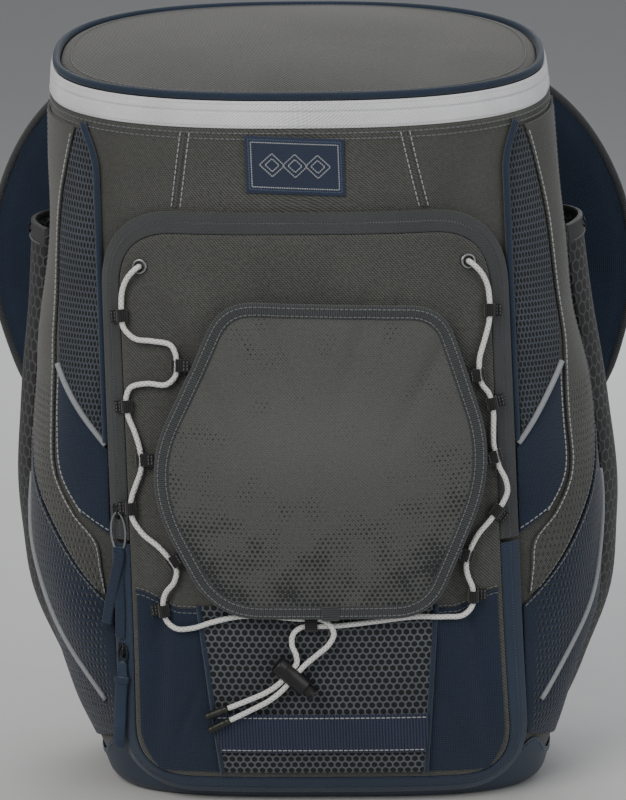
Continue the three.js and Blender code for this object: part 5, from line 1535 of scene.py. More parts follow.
@dataclass
class Sleeve(Assembly):
    """One bat sleeve: a hollow sock of rubbery cloth, open at its rim."""

    name: str
    hand: int
    top: float = 0.350
    foot: float = 0.026
    bulge: float = 0.018
    wall: float = 0.002
    gap: float = 0.0008
    front: float = 1.02
    rear: float = 1.50
    hem: float = 0.0095
    rises: tuple = (0.00, 0.04, 0.12, 0.30, 0.65, 1.00)
    bulges: tuple = (0.20, 0.50, 0.80, 1.00, 1.00, 1.05)

    def section(self, rise: Array, i: Array, inset: float, out: float = 0.0
                ) -> tuple[Array, Array, Array]:
        """Outer point, inner point and ways outwards of the sock's section.

        The outer wall stands off the body by the bulge at that height times sin(pi i)^0.7.

        Args:
            rise: Share of the sleeve's height.
            i: Share of the way from its front edge to its rear one.
            inset: How far inside the outer face.
            out: How far outside it.

        Returns:
            Outer points, inner points and normals.
        """
        lift = np.where(np.asarray(rise) > 0, 0.0, inset)
        share = (self.foot + (self.top - self.foot) * rise + lift) / BODY.height
        margin = inset / (BODY.width / 2)
        turn = self.hand * (self.front + margin + (self.rear - self.front - 2 * margin) * i)
        swell = self.bulge * along(self.rises, self.bulges, rise) * np.sin(math.pi * i)**0.7
        crease = 0.0010 * np.sin(26 * rise + 5 * i) * np.sin(math.pi * i) * (1 - rise)
        outer = BODY.at(turn, share, self.gap + 2 * self.wall + swell - inset + out + crease)
        inner = BODY.at(turn, share, self.gap + inset + 0 * turn)
        return outer, inner, BODY.normal(turn, share)

    def sock(self) -> bpy.types.Object:
        """Outer wall up, over the rim and down inside, its ends closed along the middle."""
        columns = 48
        i = (1 - np.cos(np.linspace(0, math.pi, columns))) / 2
        i = i if self.hand > 0 else i[::-1]
        rise = np.concatenate([[0, 0.012, 0.025], np.linspace(0.04, 1, 80)])

        def ring(r: float, inset: float) -> Array:
            outer, inner, _ = self.section(np.full(columns, r), i, inset)
            return np.vstack([outer, inner[::-1]])

        def closed(r: float, inset: float) -> Array:
            outer, inner, _ = self.section(np.full(columns, r), i, inset)
            middle = (outer + inner) / 2
            return np.vstack([middle, middle[::-1]])

        rings = ([closed(0, 0)] + [ring(r, 0) for r in rise]
                 + [ring(r, self.wall) for r in rise[::-4]] + [closed(0, self.wall)])
        points = np.array(rings)
        girth = running(np.vstack([points[40], points[40][:1]]))
        run = running(points[:, columns // 2])
        uv = np.stack(np.meshgrid(girth, run), -1)
        piece = grid_object(f"bat_sleeve_{self.name}_cloth", points, uv, around=True)
        weld(piece)
        return piece

    def hem_band(self) -> None:
        """Turned hem round the rim, its stitches and its small grommet."""
        n, columns = self.name, 60
        i = np.linspace(0.0, 1.0, columns)
        i = i if self.hand > 0 else i[::-1]
        low = 1 - self.hem / (self.top - self.foot)
        rise = np.linspace(low, 1.0, 6)[:, None]
        outer, _, _ = self.section(rise, i[None], 0.0, 0.0007)
        turned, _, _ = self.section(np.full((1, columns), 1.0), i[None], self.wall, 0.0)
        points = np.concatenate([outer, turned + [0, 0, 0.0006], turned + [0, 0, -0.004]])
        piece = grid_object(f"sleeve_hem_{n}", points)
        self.keep(self.thicken(piece, 0.0007, 0.0002), Cloth.SLEEVE_HEM, "sleeve")
        t = np.linspace(0.02, 0.98, 150)
        row, _, outward = self.section(np.full(150, low + 0.004), t, 0.0, 0.0009)
        self.keep(stitches(f"sleeve_stitches_{n}", [(row, outward)], 0.0032),
                  Cloth.GREY_THREAD, "sleeve")
        spot, _, way = self.section(np.array([0.988]), np.array([0.22]), 0.0, 0.0012)
        ring = grommet(f"sleeve_grommet_{n}", spot[0], way[0], UP, 0.0032, 0.0017, 0.0007)
        self.keep(ring, Cloth.DARK_STEEL, "steel")

    def build(self) -> None:
        """Makes and dresses one sleeve."""
        self.keep(self.sock(), Cloth.SLEEVE, "sleeve", [f"bat_sleeve_{self.name}"])
        self.hem_band()


def weld(piece: bpy.types.Object, distance: float = 1e-6) -> None:
    """Joins the vertices of a piece that lie on each other."""
    mesh = bmesh.new()
    mesh.from_mesh(piece.data)
    bmesh.ops.remove_doubles(mesh, verts=mesh.verts, dist=distance)
    mesh.to_mesh(piece.data)
    mesh.free()


def grommet(name: str, centre: Array, outward: Array, facing: Array, outer: float, inner: float,
            height: float) -> bpy.types.Object:
    """Ring with a rounded lip, turned about the way outwards.

    Args:
        name: Name of the piece.
        centre: Middle of its underside.
        outward: Its axis.
        facing: A way across the axis.
        outer: Outer radius.
        inner: Inner radius.
        height: How far it stands up.

    Returns:
        The ring.
    """
    axis = unit(outward)
    first = unit(np.cross(facing, axis))
    second = np.cross(axis, first)
    turn = np.arange(40) * 2 * math.pi / 40
    spokes = first[None] * np.cos(turn)[:, None] + second[None] * np.sin(turn)[:, None]
    angle = np.linspace(0, math.pi, 9)
    middle, reach = (outer + inner) / 2, (outer - inner) / 2
    radii = np.concatenate([middle - reach * np.cos(angle), [outer, inner]])
    levels = np.concatenate([height * (0.25 + 0.75 * np.sin(angle)), [0, 0]])
    points = (centre + radii[:, None, None] * spokes[None]
              + levels[:, None, None] * axis[None, None])
    return grid_object(name, points[::-1], None, around=True, closed=True)


@dataclass
class PocketFront(Assembly):
    """Front pocket: its tray, zips, lower panels, mesh, webbing and seams."""

    zip_width: float = 0.012
    zip_thickness: float = 0.0018
    zip_end: float = 0.175
    boot: float = 0.0015
    gap: float = 0.0008
    seat: float = 0.0003
    mesh_top: float = 0.1365
    mesh_foot: float = 0.026
    mesh_wide: float = 0.148
    mesh_narrow: float = 0.128
    webbing_height: float = 0.0254
    webbing_foot: float = 0.041
    webbing: float = 0.0016
    coil: float = 0.0012
    coil_place: float = 0.52
    coil_pitch: float = 0.0019
    coil_step: float = 0.00038
    cloth: float = 0.0007
    seam: float = 0.1335
    seam_sag: float = 0.0105

    def tray(self) -> bpy.types.Object:
        """Face with its folds, the gusset round it and the lining inside, in one surface."""
        outline = POCKET.outline(300)
        centre = np.array([0.0, (POCKET.top + POCKET.foot) / 2])
        wall = POCKET.wall

        def face(share: float, out: float) -> Array:
            ring = grown(outline, -(wall + 0.001)) * (1 - share) + centre * share
            return POCKET.on(ring[:, 0], ring[:, 1], np.full(len(ring), out), out == 0)

        def edge(grow: float, out: float) -> Array:
            ring = grown(outline, grow)
            return BODY.on_front(ring[:, 0], ring[:, 1], np.full(len(ring), out))

        high = POCKET.gusset - wall
        roll = [edge(-(1 - math.cos(a)) * wall, high + wall * math.sin(a) * 0.9)
                for a in np.linspace(0.2, 1.3, 5)]
        shares = np.linspace(0, 0.985, 80)
        rings = ([face(s, -wall) for s in shares[::-10]] + [edge(-wall, self.gap)]
                 + [edge(0, out) for out in np.linspace(self.gap, high, 5)] + roll
                 + [face(s, 0.0) for s in shares])
        points = np.array(rings)
        flat = np.concatenate([points, points[:, :1]], 1)[..., [0, 2]]
        return grid_object("front_pocket_cloth", points, flat, around=True, fans=(True, True))

    def strip(self, line: Array, t: Array, out: Array | float) -> Array:
        """Points of the zip's slope, from the pocket's edge down over the boot.

        Args:
            line: Outline of the pocket where the zip runs.
            t: 0 at the pocket, 1 outside.
            out: Height over the slope.

        Returns:
            A grid of points, outwards by along.
        """
        inner = grown(line, self.seat, False)
        outer = grown(line, self.zip_width, False)
        t = np.asarray(t, float)[:, None, None]
        spot = inner[None] * (1 - t) + outer[None] * t
        high = POCKET.gusset - POCKET.wall
        low = self.boot + self.gap + 2 * self.seat + self.zip_thickness
        stand = high + (low - high) * t[..., 0] + np.asarray(out, float)
        return BODY.on_front(spot[..., 0], spot[..., 1], stand)

    def zip(self, name: str, line: Array, solid: str, slot: str, tape: Finish, coil: Finish,
            thread: Finish) -> None:
        """One zip: two tapes with a lip between them, its coil, and two rows of stitches.

        Args:
            name: Name of the zip.
            line: Its outline.
            solid: The solid it stands for.
            slot: Its material slot.
            tape: Finish of the tapes.
            coil: Finish of the coil.
            thread: Finish of the stitches.
        """
        t = np.array([0, 0.06, 0.2, 0.36, 0.46, 0.52, 0.58, 0.68, 0.84, 0.96, 1.0])
        lift = np.array([-2, 1, 2, 5, 8, 6, 8, 5, 2, 1, -2])[:, None] * 0.0001
        points = self.strip(line, t, lift)
        piece = grid_object(f"{name}_tape", points[::-1])
        self.keep(self.thicken(piece, 0.0014, 0.0003), tape, slot, [solid])
        fine = evenly(line, len(line) * 8)
        path = self.strip(fine, np.array([self.coil_place]), 0.0012)[0]
        outward = unit(self.strip(fine, np.array([self.coil_place]), 0.003)[0] - path)
        path = evenly(path, int(running(path)[-1] / self.coil_step))
        radius = self.coil * (1 + 0.24 * np.sin(running(path) * 2 * math.pi / self.coil_pitch))
        outward = spread(outward, len(path))
        self.keep(tube_object(f"{name}_coil", path, radius, 6, facing=outward), coil, slot)
        rows = []
        for at in (0.14, 0.9):
            row = self.strip(evenly(line, 500), np.array([at]), 0.0005)[0]
            top = self.strip(evenly(line, 500), np.array([at]), 0.003)[0]
            rows.append((row, unit(top - row)))
        self.keep(stitches(f"{name}_stitches", rows, 0.003, 0.0007, 0.0004), thread, slot)

    def zips(self) -> None:
        """The grey zip over and beside the pocket, and the navy one under it."""
        outline = POCKET.outline(400)
        high, low = outline[:, 1] > self.zip_end, outline[:, 1] < self.zip_end
        for keep_side, name, solid, slot, tape, coil, thread in (
                (high, "pocket_zip", "pocket_zipper", "binding", Cloth.GREY_TAPE,
                 Cloth.GREY_COIL, Cloth.GREY_THREAD),
                (low, "base_zip", "base_zipper", "navy", Cloth.NAVY_TAPE, Cloth.NAVY_COIL,
                 Cloth.NAVY_THREAD)):
            start = int(np.argmax(keep_side & ~np.roll(keep_side, 1)))
            run = np.roll(outline, -start, 0)[:int(keep_side.sum())]
            self.zip(name, run, solid, slot, tape, coil, thread)

    def mesh_half(self, up: Array) -> Array:
        """Half width of the mesh at a height."""
        share = (np.asarray(up) - self.mesh_foot) / (self.mesh_top - self.mesh_foot)
        return (self.mesh_narrow + (self.mesh_wide - self.mesh_narrow) * share) / 2

    def over(self, name: str, across: Callable[[Array, Array], Array], low: float, high: float,
             columns: int, rows: int, out: float | Array, thickness: float,
             edge: float = 0.0003) -> bpy.types.Object:
        """Sheet over the pocket's face.

        Args:
            name: Name of the piece.
            across: Distance across, from a share and a height.
            low: Height of its foot.
            high: Height of its top.
            columns: Points across.
            rows: Points up.
            out: Height of its outer face over the pocket.
            thickness: Of the cloth.
            edge: Reach of its softened edge.

        Returns:
            The sheet.
        """
        u, v = np.meshgrid(np.linspace(0, 1, columns), np.linspace(low, high, rows))
        x = across(u, v)
        points = POCKET.on(x, v, np.broadcast_to(out, x.shape), True)
        piece = grid_object(name, points, np.stack([x, v], -1))
        return self.thicken(piece, thickness, edge)

    def seam_top(self, across: Array) -> Array:
        """Height of the lower panels' top edge: it sags a little beside the mesh."""
        return self.seam + self.seam_sag * smoothstep(np.abs(across), 0.085, 0.112)

    def lower_panels(self) -> None:
        """Navy cloth beside the mesh, down to the foot of the pocket."""
        for name, hand in HANDS.items():
            u, v = np.meshgrid(np.linspace(0, 1, 30), np.linspace(0, 1, 70))
            foot = POCKET.foot + 0.0045
            w = u if hand > 0 else 1 - u
            up = foot + (self.mesh_top - foot) * v
            corner = np.clip((POCKET.foot + POCKET.corner - up) / POCKET.corner, 0, 1)
            reach = POCKET.half_width(up) - 0.0034 - 0.016 * corner**2.2
            inner = self.mesh_half(up) - 0.002
            x = inner + (reach - inner) * w
            up = foot + (self.seam_top(x) - foot) * v
            points = POCKET.on(hand * x, up, np.full(x.shape, self.cloth), True)
            piece = grid_object(f"pocket_lower_{name}", points, np.stack([hand * x, up], -1))
            self.keep(self.thicken(piece, self.cloth, 0.0002), Cloth.NAVY, "navy")
            t = np.linspace(0.02, 0.98, 120)
            x = self.mesh_half(self.mesh_top) + (0.1135 - self.mesh_half(self.mesh_top)) * t
            rows = [(POCKET.on(hand * x, self.seam_top(x) + step, np.full(120, 0.0006), True),
                     POCKET.outward(hand * x, self.seam_top(x))) for step in (0.0022, -0.0020)]
            self.keep(stitches(f"pocket_seam_{name}", rows, 0.0032, 0.0008, 0.0004),
                      Cloth.GREY_THREAD, "navy")
            line = POCKET.on(hand * x, self.seam_top(x), np.full(120, 0.0006), True)
            self.keep(tube_object(f"pocket_ridge_{name}", line, 0.0008, 6, facing=-BACK),
                      Cloth.NAVY, "navy")

    def net(self) -> None:
        """Mesh, its bound sides and top, and the ribbed webbing over it."""
        half = self.mesh_half
        lift = np.linspace(0, 1, 60)[:, None]
        out = 0.0023 - 0.0012 * smoothstep(lift, 0.78, 0.9) + 0.0004 * np.sin(lift * 26)
        mesh = self.over("mesh_pocket_net", lambda u, v: half(v) * (2 * u - 1), self.mesh_foot,
                         self.mesh_top, 70, 60, out, 0.0008)
        self.keep(mesh, Cloth.MESH, "mesh", ["mesh_pocket"])
        for name, hand in HANDS.items():
            up = np.linspace(self.mesh_foot - 0.001, self.mesh_top, 80)
            lift = 0.0021 - 0.0012 * smoothstep(np.linspace(0, 1, 80), 0.78, 0.9)
            line = POCKET.on(hand * half(up), up, lift, True)
            self.keep(tube_object(f"mesh_edge_{name}", line, 0.0017, 10,
                                  facing=POCKET.outward(hand * half(up), up)),
                      Cloth.PIPING, "piping")
        band = self.over("mesh_webbing_woven", lambda u, v: (half(v) - 0.0004) * (2 * u - 1),
                         self.webbing_foot, self.webbing_foot + self.webbing_height, 60, 10,
                         0.0047, self.webbing, 0.0005)
        self.turn_cloth(band)
        self.keep(band, Cloth.WEBBING, "webbing", ["mesh_webbing"])
        rows = []
        for inset in (0.0020, self.webbing_height - 0.0020):
            up = np.full(220, self.webbing_foot + inset)
            x = np.linspace(-1, 1, 220) * (half(up) - 0.002)
            rows.append((POCKET.on(x, up, np.full(220, 0.0048), True), POCKET.outward(x, up)))
        self.keep(stitches("webbing_stitches", rows, 0.0032, 0.0008, 0.0004),
                  Cloth.PALE_THREAD, "webbing")

    def turn_cloth(self, piece: bpy.types.Object) -> None:
        """Swaps the two places on the cloth, so that its ribs run the other way."""
        layer = piece.data.uv_layers[0].data
        uv = np.zeros(len(layer) * 2)
        layer.foreach_get("uv", uv)
        layer.foreach_set("uv", uv.reshape(-1, 2)[:, ::-1].ravel())

    def build(self) -> None:
        """Makes and dresses the pocket's pieces."""
        self.keep(self.tray(), Cloth.TWILL, "twill", ["front_pocket"])
        self.zips()
        self.lower_panels()
        self.net()


@dataclass
class HelmetPanel(Assembly):
    """Crowned six-sided panel over the pocket, printed, with a bound edge."""

    left: float = 0.104
    right: float = 0.112
    top: float = 0.329
    foot: float = 0.131
    lift: float = 0.008
    thickness: float = 0.003
    crown: float = 0.008
    binding: float = 0.009
    binding_thickness: float = 0.0046
    seat: float = 0.0003
    joint_across: float = 0.0085
    joint_width: float = 0.011
    joint_thickness: float = 0.0011
    corners: tuple = ((-0.49, 1.00, 0.020), (0.75, 0.98, 0.022), (1.00, 0.48, 0.036),
                      (0.64, 0.00, 0.024), (-0.62, 0.00, 0.030), (-1.00, 0.44, 0.040))

    def outline(self, count: int) -> Array:
        """Clockwise outline of the panel."""
        height = self.top - self.foot
        return rounded([(a * (self.right if a > 0 else self.left), self.foot + b * height, r)
                        for a, b, r in self.corners], count)

    def over(self, ring: Array, share: float, out: float) -> Array:
        """Ring drawn to the panel's middle, at the height of its underside plus its crown."""
        centre = np.array([(self.right - self.left) / 2, (self.top + self.foot) / 2])
        spot = ring * (1 - share) + centre * share
        crown = self.crown * (1 - (1 - share)**2)
        slack = 0.0007 * math.sin(min(share * 9, math.pi)) * np.sin(spot[:, 0] * 90
                                                                    + spot[:, 1] * 60)
        return POCKET.on(spot[:, 0], spot[:, 1], self.lift + crown + out + slack)

    def face(self) -> None:
        """The panel: front and back face round a soft edge, with its print and a painted highlight
        across its middle.
        """
        ring = grown(self.outline(300), -self.binding + 0.0015)
        low = (self.binding_thickness - self.thickness) / 2
        shares = np.linspace(0, 0.98, 60)
        rings = ([self.over(ring, s, low) for s in shares[::-6]]
                 + [self.over(ring, s, low + self.thickness) for s in shares])
        points = np.array(rings)
        wide = np.concatenate([points, points[:, :1]], 1)
        piece = grid_object("helmet_panel_cloth", points, wide[..., [0, 2]], around=True,
                            fans=(True, True))
        x = (points[..., 0] - SHIFT[0]) / self.right
        z = (points[..., 2] - self.foot) / (self.top - self.foot)
        foot = 1 - smoothstep(z, 0.0, 0.55)
        sides = smoothstep(np.abs(x + 0.1 * z), 0.35, 0.95) * (1 - smoothstep(z, 0.2, 0.9))
        top = 0.5 * smoothstep(z, 0.8, 1.0) * smoothstep(-x, 0.0, 0.6)
        self.mark(piece, "printed", 0.46 * np.clip(0.75 * foot + 0.6 * sides + top, 0, 1))
        # Painted highlight: a pale band a little above the middle of the crowned panel, fading up, down
        # and to the sides
        self.mark(piece, "painted_highlight", 0.2 * smoothstep(z, 0.35, 0.6) * (1 - smoothstep(z, 0.6, 0.85))
                  * (1 - smoothstep(np.abs(x), 0.2, 0.8)))
        self.keep(piece, Cloth.PANEL, "twill", ["helmet_panel"])

    def edge(self) -> None:
        """Binding: a ribbed tape folded round the edge, its stitches and its joint."""
        outline = self.outline(420)
        b, h = self.binding, self.binding_thickness
        angle = np.linspace(-math.pi / 2, math.pi / 2, 9)
        grow = np.concatenate([[-b, -b * 0.8, -b * 0.5], -h / 2 + h / 2 * np.cos(angle),
                               [-b * 0.5, -b * 0.8, -b]])
        out = np.concatenate([[0.0004, 0.0001, 0], h / 2 + h / 2 * np.sin(angle),
                              [h, h - 0.0001, h - 0.0005]])
        rings = np.array([self.over(grown(outline, g), 0.0, o) for g, o in zip(grow, out)])
        run = running(np.vstack([rings[9], rings[9][:1]]))
        girth = running(np.vstack([rings[:, 0], rings[:1, 0]]))
        v, u = np.meshgrid(run, girth)
        piece = grid_object("helmet_binding_tape", rings, np.stack([u, v], -1), around=True,
                            closed=True)
        self.keep(piece, Cloth.BINDING, "binding", ["helmet_binding"])
        for name, inset in (("inner", b - 0.0016), ("outer", 0.0026)):
            ring = grown(self.outline(600), -inset)
            row = self.over(ring, 0.0, h + 0.0001)
            top = self.over(ring, 0.0, h + 0.002)
            row, top = np.vstack([row, row[:1]]), np.vstack([top, top[:1]])
            self.keep(stitches(f"binding_stitches_{name}", [(row, unit(top - row))], 0.003,
                               0.0008, 0.0004), Cloth.GREY_THREAD, "binding")
        up = np.linspace(self.foot - 0.0004, self.foot + b, 14)
        x = np.full(14, self.joint_across)
        line = POCKET.on(x, up, np.full(14, self.lift + h + 0.0002))
        seam = profile_object("binding_joint", band_profile(self.joint_width,
                              self.joint_thickness), line, POCKET.outward(x, up))
        self.keep(seam, Cloth.BINDING, "binding")

    def build(self) -> None:
        """Makes and dresses the panel."""
        self.face()
        self.edge()


@dataclass(frozen=True)
class Lacing:
    """Routes of the two shock cords over the pocket: across, up and height over the face."""

    left: tuple = (
        (-0.1000, 0.3480, 0.0012), (-0.1003, 0.3477, 0.0038), (-0.1030, 0.3450, 0.0054),
        (-0.1070, 0.3400, 0.0048), (-0.1100, 0.3330, 0.0040), (-0.1110, 0.3250, 0.0039),
        (-0.1110, 0.3180, 0.0039), (-0.1105, 0.3110, 0.0039), (-0.1040, 0.3045, 0.0039),
        (-0.0940, 0.3035, 0.0039), (-0.0830, 0.3015, 0.0039), (-0.0799, 0.2955, 0.0039),
        (-0.0800, 0.2890, 0.0039), (-0.0805, 0.2825, 0.0039), (-0.0865, 0.2768, 0.0039),
        (-0.0980, 0.2770, 0.0039), (-0.1080, 0.2740, 0.0039), (-0.1110, 0.2680, 0.0039),
        (-0.1110, 0.2620, 0.0039), (-0.1105, 0.2560, 0.0039), (-0.1070, 0.2460, 0.0039),
        (-0.1045, 0.2360, 0.0039), (-0.1040, 0.2290, 0.0039), (-0.1045, 0.2220, 0.0039),
        (-0.1080, 0.2130, 0.0039), (-0.1110, 0.2050, 0.0039), (-0.1120, 0.1980, 0.0039),
        (-0.1110, 0.1910, 0.0039), (-0.1050, 0.1820, 0.0039), (-0.0970, 0.1755, 0.0039),
        (-0.0920, 0.1700, 0.0039), (-0.0885, 0.1650, 0.0039), (-0.0860, 0.1595, 0.0039),
        (-0.0880, 0.1520, 0.0039), (-0.0930, 0.1455, 0.0039), (-0.0953, 0.1395, 0.0039),
        (-0.0953, 0.1330, 0.0041), (-0.0940, 0.1265, 0.0039), (-0.0880, 0.1218, 0.0039),
        (-0.0780, 0.1225, 0.0039), (-0.0650, 0.1270, 0.0039), (-0.0480, 0.1310, 0.0039),
        (-0.0280, 0.1310, 0.0039), (-0.0110, 0.1295, 0.0039), (-0.0040, 0.1295, 0.0039),
        (0.0025, 0.1293, 0.0048), (0.0080, 0.1262, 0.0079), (0.0100, 0.1205, 0.0082),
        (0.0065, 0.1135, 0.0084), (-0.0004, 0.1072, 0.0086), (-0.0091, 0.0997, 0.0086),
        (-0.0164, 0.0916, 0.0086), (-0.0232, 0.0841, 0.0086), (-0.0320, 0.0770, 0.0082),
        (-0.0440, 0.0705, 0.0076), (-0.0570, 0.0640, 0.0072))
    right: tuple = (
        (0.1000, 0.3500, 0.0012), (0.1003, 0.3497, 0.0038), (0.1030, 0.3470, 0.0054),
        (0.1070, 0.3420, 0.0048), (0.1100, 0.3350, 0.0040), (0.1110, 0.3270, 0.0039),
        (0.1110, 0.3200, 0.0039), (0.1105, 0.3130, 0.0039), (0.1075, 0.3020, 0.0039),
        (0.1045, 0.2920, 0.0039), (0.1040, 0.2865, 0.0039), (0.1040, 0.2810, 0.0039),
        (0.1053, 0.2750, 0.0039), (0.1093, 0.2690, 0.0039), (0.1112, 0.2625, 0.0039),
        (0.1118, 0.2558, 0.0039), (0.1115, 0.2460, 0.0039), (0.1115, 0.2365, 0.0039),
        (0.1130, 0.2295, 0.0039), (0.1145, 0.2225, 0.0039), (0.1180, 0.2145, 0.0039),
        (0.1190, 0.2070, 0.0039), (0.1163, 0.2002, 0.0039), (0.1125, 0.1950, 0.0039),
        (0.1080, 0.1895, 0.0039), (0.1015, 0.1825, 0.0039), (0.0970, 0.1750, 0.0039),
        (0.0945, 0.1685, 0.0039), (0.0930, 0.1615, 0.0039), (0.0940, 0.1545, 0.0039),
        (0.0963, 0.1480, 0.0039), (0.0968, 0.1415, 0.0039), (0.0958, 0.1350, 0.0039),
        (0.0900, 0.1296, 0.0039), (0.0790, 0.1293, 0.0039), (0.0600, 0.1300, 0.0039),
        (0.0360, 0.1275, 0.0039), (0.0160, 0.1252, 0.0039), (0.0035, 0.1246, 0.0039),
        (-0.0040, 0.1246, 0.0039), (-0.0105, 0.1240, 0.0042), (-0.0156, 0.1198, 0.0054),
        (-0.0166, 0.1130, 0.0070), (-0.0143, 0.1066, 0.0084), (-0.0142, 0.1010, 0.0086),
        (-0.0196, 0.0944, 0.0086), (-0.0256, 0.0878, 0.0086), (-0.0340, 0.0820, 0.0082),
        (-0.0460, 0.0765, 0.0076), (-0.0580, 0.0715, 0.0072))
    edge_loops: dict = field(default_factory=lambda: {"l": (6, 18, 26, 36), "r": (6, 14, 23, 31)})
    panel_loops: dict = field(default_factory=lambda: {"l": (12, 22, 31), "r": (11, 18, 27)})

    def rows(self, name: str) -> Array:
        """Route of one cord."""
        return np.array(self.left if name == "l" else self.right)

    def points(self, name: str) -> Array:
        """Points of one route in the frame."""
        rows = self.rows(name)
        return POCKET.on(rows[:, 0], rows[:, 1], rows[:, 2])


LACING = Lacing()


@dataclass
class Cords(Assembly):
    """The two shock cords and their tips."""

    diameter: float = 0.0035
    tip: float = 0.016
    tip_wall: float = 0.0005
    seat: float = 0.0003

    def build(self) -> None:
        """Makes each cord as a tube along its route, and its tip as a crimped sleeve."""
        for name in HANDS:
            points = LACING.points(name)
            path = through(points, 12)
            facing = POCKET.outward(LACING.rows(name)[:, 0], LACING.rows(name)[:, 1])
            ways = spread(facing, len(path))
            ways[:16] = unit(ways[:16] + np.linspace(1, 0, 16)[:, None] * UP * 1.5)
            cord = tube_object(f"shock_cord_{name}_braid", path, self.diameter / 2, 14,
                               facing=ways)
            self.keep(cord, Cloth.CORD, "cord", [f"shock_cord_{name}"])
            way = unit(points[-1] - points[-2])
            start = points[-1] + way * self.seat
            t = np.linspace(0, 1, 40)
            reach = self.diameter / 2 + self.tip_wall
            shape = np.sqrt(np.clip(1 - np.abs(2 * t - 1)**14, 0, 1))
            pinch = 1 - 0.10 * np.exp(-((t - 0.25) / 0.06)**2) - 0.08 * np.exp(-((t - 0.8) / 0.05)**2)
            line = start + way * (t[:, None] * self.tip)
            tip = tube_object(f"cord_tip_{name}_tube", line, reach * shape * pinch + 0.0001, 14,
                              facing=ways[-1])
            self.keep(tip, Cloth.SHRUNK, "tip", [f"cord_tip_{name}"])


